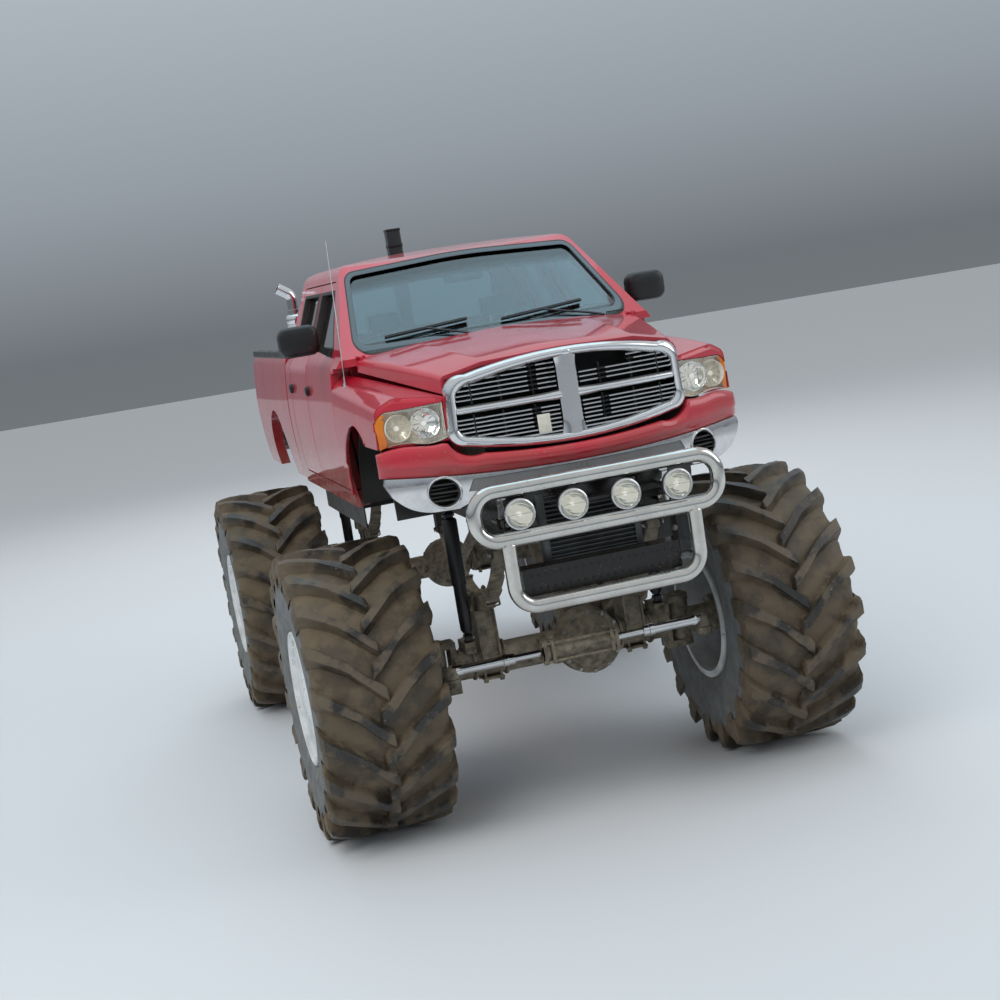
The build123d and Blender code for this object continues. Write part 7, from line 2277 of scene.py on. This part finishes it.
@dataclass
class Rear:
    """Bed fittings, tail lamps, bumper, exhaust stacks, square post, liners, tank and engine."""

    stack: tuple[float, float] = (0.795, 1.115)

    def build(self, truck: Truck) -> None:
        """Dress each of them."""
        caps = softened(truck, "bed_rails", BLACK_ABS, 0.010, 3, "rail_caps")
        # Stake pockets as thin near-black pads on the rail caps: painted shade for the open pockets
        pockets = Soup()
        for side in (1, -1):
            for y in (1.30, 1.86, 2.45):
                pockets.put(rounded_box((side * 0.922 - 0.015, y - 0.030, 2.6345),
                                        (side * 0.922 + 0.015, y + 0.030, 2.6362), 0.008, "z", 3, 0.0006))
        holes = pockets.piece("pockets", PAINTED_HOLE_SHADE)
        truck.place(joined("rail_caps", caps, holes), "black_plastic", "bed_rails")
        rib = Soup().box((-0.020, 0.93, 2.0245), (0.020, 2.70, 2.0315)).mesh("rib", 0.003, 2)
        ribs = repeated("bed_floor_ribs", rib, Pattern.ROW, 13, CHERRY_ENAMEL, step=(0.088, 0, 0),
                        start=(-0.528, 0, 0))
        truck.place(ribs, "red_paint")
        self.lamps(truck)
        self.bumper(truck)
        self.stacks(truck)
        self.post(truck)
        for node, finish, width, slot in (("wheel_liners", BLACK_ABS, 0.003, "black_plastic"),
                                          ("engine", CAST_IRON, 0.010, "cast_metal"),
                                          ("gearbox", CAST_IRON, 0.008, "cast_metal")):
            truck.place(softened(truck, node, finish, width), slot, node)
        tank = softened(truck, "fuel_tank", BLACK_ABS, 0.020, 4, "strapped_tank")
        straps = Soup()
        for y in (0.28, 0.66):
            path = [Vector((0.472, y, 1.832)), Vector((0.812, y, 1.832)), Vector((0.812, y, 1.628)),
                    Vector((0.463, y, 1.628)), Vector((0.463, y, 1.832))]
            ring = rounded_path(path, (0, 0.022, 0.022, 0.022, 0), 5)
            straps.put(swept(ring, [(-0.016, -0.001), (0.016, -0.001), (0.016, 0.002), (-0.016, 0.002)],
                             Vector((1, 0, 0.4))))
        band = straps.piece("straps", ZINC_STEEL)
        truck.place(joined("strapped_tank", tank, band), "black_plastic", "fuel_tank")

    def lamps(self, truck: Truck) -> None:
        """Bed end plates, and tail lamps wrapped round the corner: red with a clear reversing part and flutes."""
        plate, lens = Soup(), Soup()
        for side in (1, -1):
            edge = traced((0.7405, 1.992), ((0.962, 1.992),), ((0.9755, 2.200), (0.9535, 2.540)),
                          ((0.938, 2.5845),), ((0.7405, 2.5845),), count=8)[:-1]
            plate.put(prism([(side * x, z) for x, z in edge], "y", 2.8153, 2.8185))
            outline = ((0.800, 2.230), (0.980, 2.230), (0.9585, 2.530), (0.800, 2.530))
            corners = [Vector((side * x, 0, z)) for x, z in outline]
            path = dense(rounded_path(corners, 0.020, 5, closed=True), 6, 12)
            middle = Vector((side * 0.885, 0, 2.380))
            rows = []
            for share, y in ((1.0, 2.8186), (1.0, 2.838), (0.985, 2.8425), (0.95, 2.8445), (0.7, 2.8462),
                             (0.3, 2.847)):
                rows.append([Vector((0, y, 0)) + middle + (p - middle) * share for p in path])
            lens.put(capped(rows))
            lens.put(rounded_box((side * 0.820, 2.8440, 2.318), (side * 0.948, 2.8500, 2.364), 0.010), 1)
            for k in range(13):
                z = 2.248 + k * 0.0217
                out = 0.958 - 0.02 * ((z - 2.2) / 0.33) ** 2
                low, high = sorted((side * 0.812, side * out))
                if abs(z - 2.341) > 0.026:
                    lens.box((low, 2.8440, z - 0.0035), (high, 2.8482, z + 0.0035))
            low, high = sorted((side * 0.870, side * 0.9045))
            plate.box((low, 2.729, 1.995), (high, 2.8155, 2.5848))
        ends = plate.piece("bed_end_plates", CHERRY_ENAMEL, bevel=0.0012)
        truck.place(ends, "red_paint")
        glass = lens.piece("fluted_tail_lamps", RED_LENS, LENS_MILK, smooth=40.0)
        truck.place(glass, "red_lens", "tail_lamps")
        latch = Soup().put(rounded_box((-0.105, 2.806, 2.515), (0.105, 2.818, 2.590), 0.020))
        latch.put(rounded_box((-0.080, 2.816, 2.545), (0.080, 2.824, 2.580), 0.012))
        truck.place(latch.piece("tailgate_handle", BLACK_ABS), "black_plastic", body="tailgate")

    def bumper(self, truck: Truck) -> None:
        """The rear bumper with ribbed rubber pads."""
        bar = softened(truck, "rear_bumper", CHROME_PLATE, 0.008, 3, "step_bumper")
        pad = Soup()
        for side in (1, -1):
            pad.put(rounded_box((side * 0.34, 2.884, 1.9475), (side * 0.88, 2.952, 1.9545), 0.012, "z", 4, 0.002))
            for k in range(24):
                x = side * (0.36 + k * 0.022)
                pad.box((x - 0.004, 2.892, 1.954), (x + 0.004, 2.944, 1.9575), 0)
        rubber = pad.piece("step_pads", BLACK_ABS)
        truck.place(joined("step_bumper", bar, rubber), "chrome", "rear_bumper")

    def stacks(self, truck: Truck) -> None:
        """Chrome stacks: perforated shield with rolled ends, clamp, and an open curved tip; the perforations and
        the tip's opening are near-black discs of painted shade.
        """
        x0, y = self.stack
        shape, dots = Soup(), Soup()
        for side in (1, -1):
            x = side * x0
            at = Vector((x, y, 0))
            body = [(2.0253, 0.0001), (2.0253, 0.058), (2.034, 0.062), (2.075, 0.062), (2.080, 0.0585),
                    (2.090, 0.0585), (2.095, 0.061), (2.800, 0.061), (2.806, 0.0585), (2.816, 0.0585),
                    (2.822, 0.062), (2.858, 0.062), (2.872, 0.056), (2.880, 0.042), (2.880, 0.0001)]
            shape.spin(body, at, UP, 48)
            ring = [(2.884, 0.0385), (2.886, 0.043), (2.912, 0.043), (2.914, 0.0385)]
            shape.spin(ring, at, UP, 32, closed=True)
            path = rounded_path([Vector((x, y, 2.875)), Vector((x, y, 3.016)),
                                 Vector((x + side * 0.090, y, 3.076))], (0, 0.060, 0), 9)
            shape.put(swept(path, circle(0.038, 28), BACK))
            tip = (path[-1] - path[-2]).normalized()
            shape.spin([(-0.004, 0.0382), (0.0004, 0.0386), (0.0014, 0.0370), (0.0004, 0.0345)], path[-1], tip, 28,
                       closed=True)
            # A near-black disc inside the tip: painted shade for the open pipe
            shape.spin([(0.0006, 0.0348), (0.0006, 0.0001)], path[-1], tip, 24, 1)
            # Each perforation is a near-black disc on the shield: painted shade for the hole
            for row in range(26):
                for turn in range(18):
                    angle = 2 * math.pi * (turn + 0.5 * (row % 2)) / 18
                    out = Vector((math.cos(angle), math.sin(angle), 0))
                    dots.spin([(0.0, 0.0072), (0.0, 0.0001)], at + UP * (2.125 + row * 0.0262) + out * 0.0614, out,
                              8)
        body = shape.piece("perforated_stacks", CHROME_PLATE, PAINTED_HOLE_SHADE, smooth=40.0)
        holes = dots.piece("holes", PAINTED_HOLE_SHADE)
        truck.place(joined("perforated_stacks", body, holes), "chrome", "exhaust_stacks")

    def post(self, truck: Truck) -> None:
        """The square black post with its band, cap and foot flange."""
        y = self.stack[1]
        shape = Soup()
        for low, high, half, radius in ((2.0253, 3.366, 0.0500, 0.010), (3.236, 3.262, 0.0535, 0.012),
                                        (3.352, 3.370, 0.0530, 0.012), (2.0253, 2.036, 0.085, 0.012)):
            shape.put(rounded_box((-half, y - half, low), (half, y + half, high), radius, "z", 4, 0.003))
        body = shape.piece("square_post", SATIN_BLACK, smooth=40.0)
        heads = bolts("heads", [(a * 0.068, y + b * 0.068, 2.036) for a in (-1, 1) for b in (-1, 1)], (0, 0, 1),
                      0.009, ZINC_STEEL)
        truck.place(joined("square_post", body, heads), "black_paint", "air_post")


PLAIN_FINISHES: tuple[tuple[Finish, str], ...] = (
    (BLACK_ABS, "antenna bed_rails fuel_tank wheel_liners wipers mirror_and_handle_left mirror_and_handle_right "
                "rear_handle_left rear_handle_right"),
    (SATIN_BLACK, "air_post shock_absorbers"), (STAINLESS, "bull_bar"), (GREY_ABS, "bumper_inserts"),
    (WINDOW_GLASS, "cab_glass"), (CHASSIS_BLACK, "cooler_frame frame"), (CAST_ALUMINIUM, "coolers"),
    (INTERIOR_ABS, "dashboard"), (CAST_IRON, "engine gearbox"), (LENS_CLEAR, "headlamps"), (SEAT_CLOTH, "seats"),
    (AXLE_STEEL, "driveshafts front_axle leaf_springs rear_axle steering_cylinder knuckle_left knuckle_right"),
    (CHROME_PLATE, "driving_lamps exhaust_stacks front_bumper grille_shell grille_slats rear_bumper"),
    (BRIGHT_ROD, "steering_rod"), (RED_LENS, "tail_lamps"),
    (SHADE_TINTED_GLASS, "door_glass_front_left door_glass_front_right door_glass_rear_left door_glass_rear_right"),
)


def main() -> None:
    """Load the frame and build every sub-assembly."""
    logging.basicConfig(level=logging.INFO, format="%(message)s")
    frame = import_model()
    stage_and_camera()
    truck = Truck(frame)
    for finish, nodes in PLAIN_FINISHES:
        for node in nodes.split():
            truck.paint(node, finish)
    for part in (Tyres(), Rims(), Bodywork(), Hood(), Fenders(), Headlamps(), Grille(), BumperCover(),
                 ChromeBumper(), BullBar(), DrivingLamps(), Coolers(), Axles(), Running(), Glazing(), Outfit(),
                 Cabin(), Rear()):
        part.build(truck)


if __name__ == "__main__":
    main()
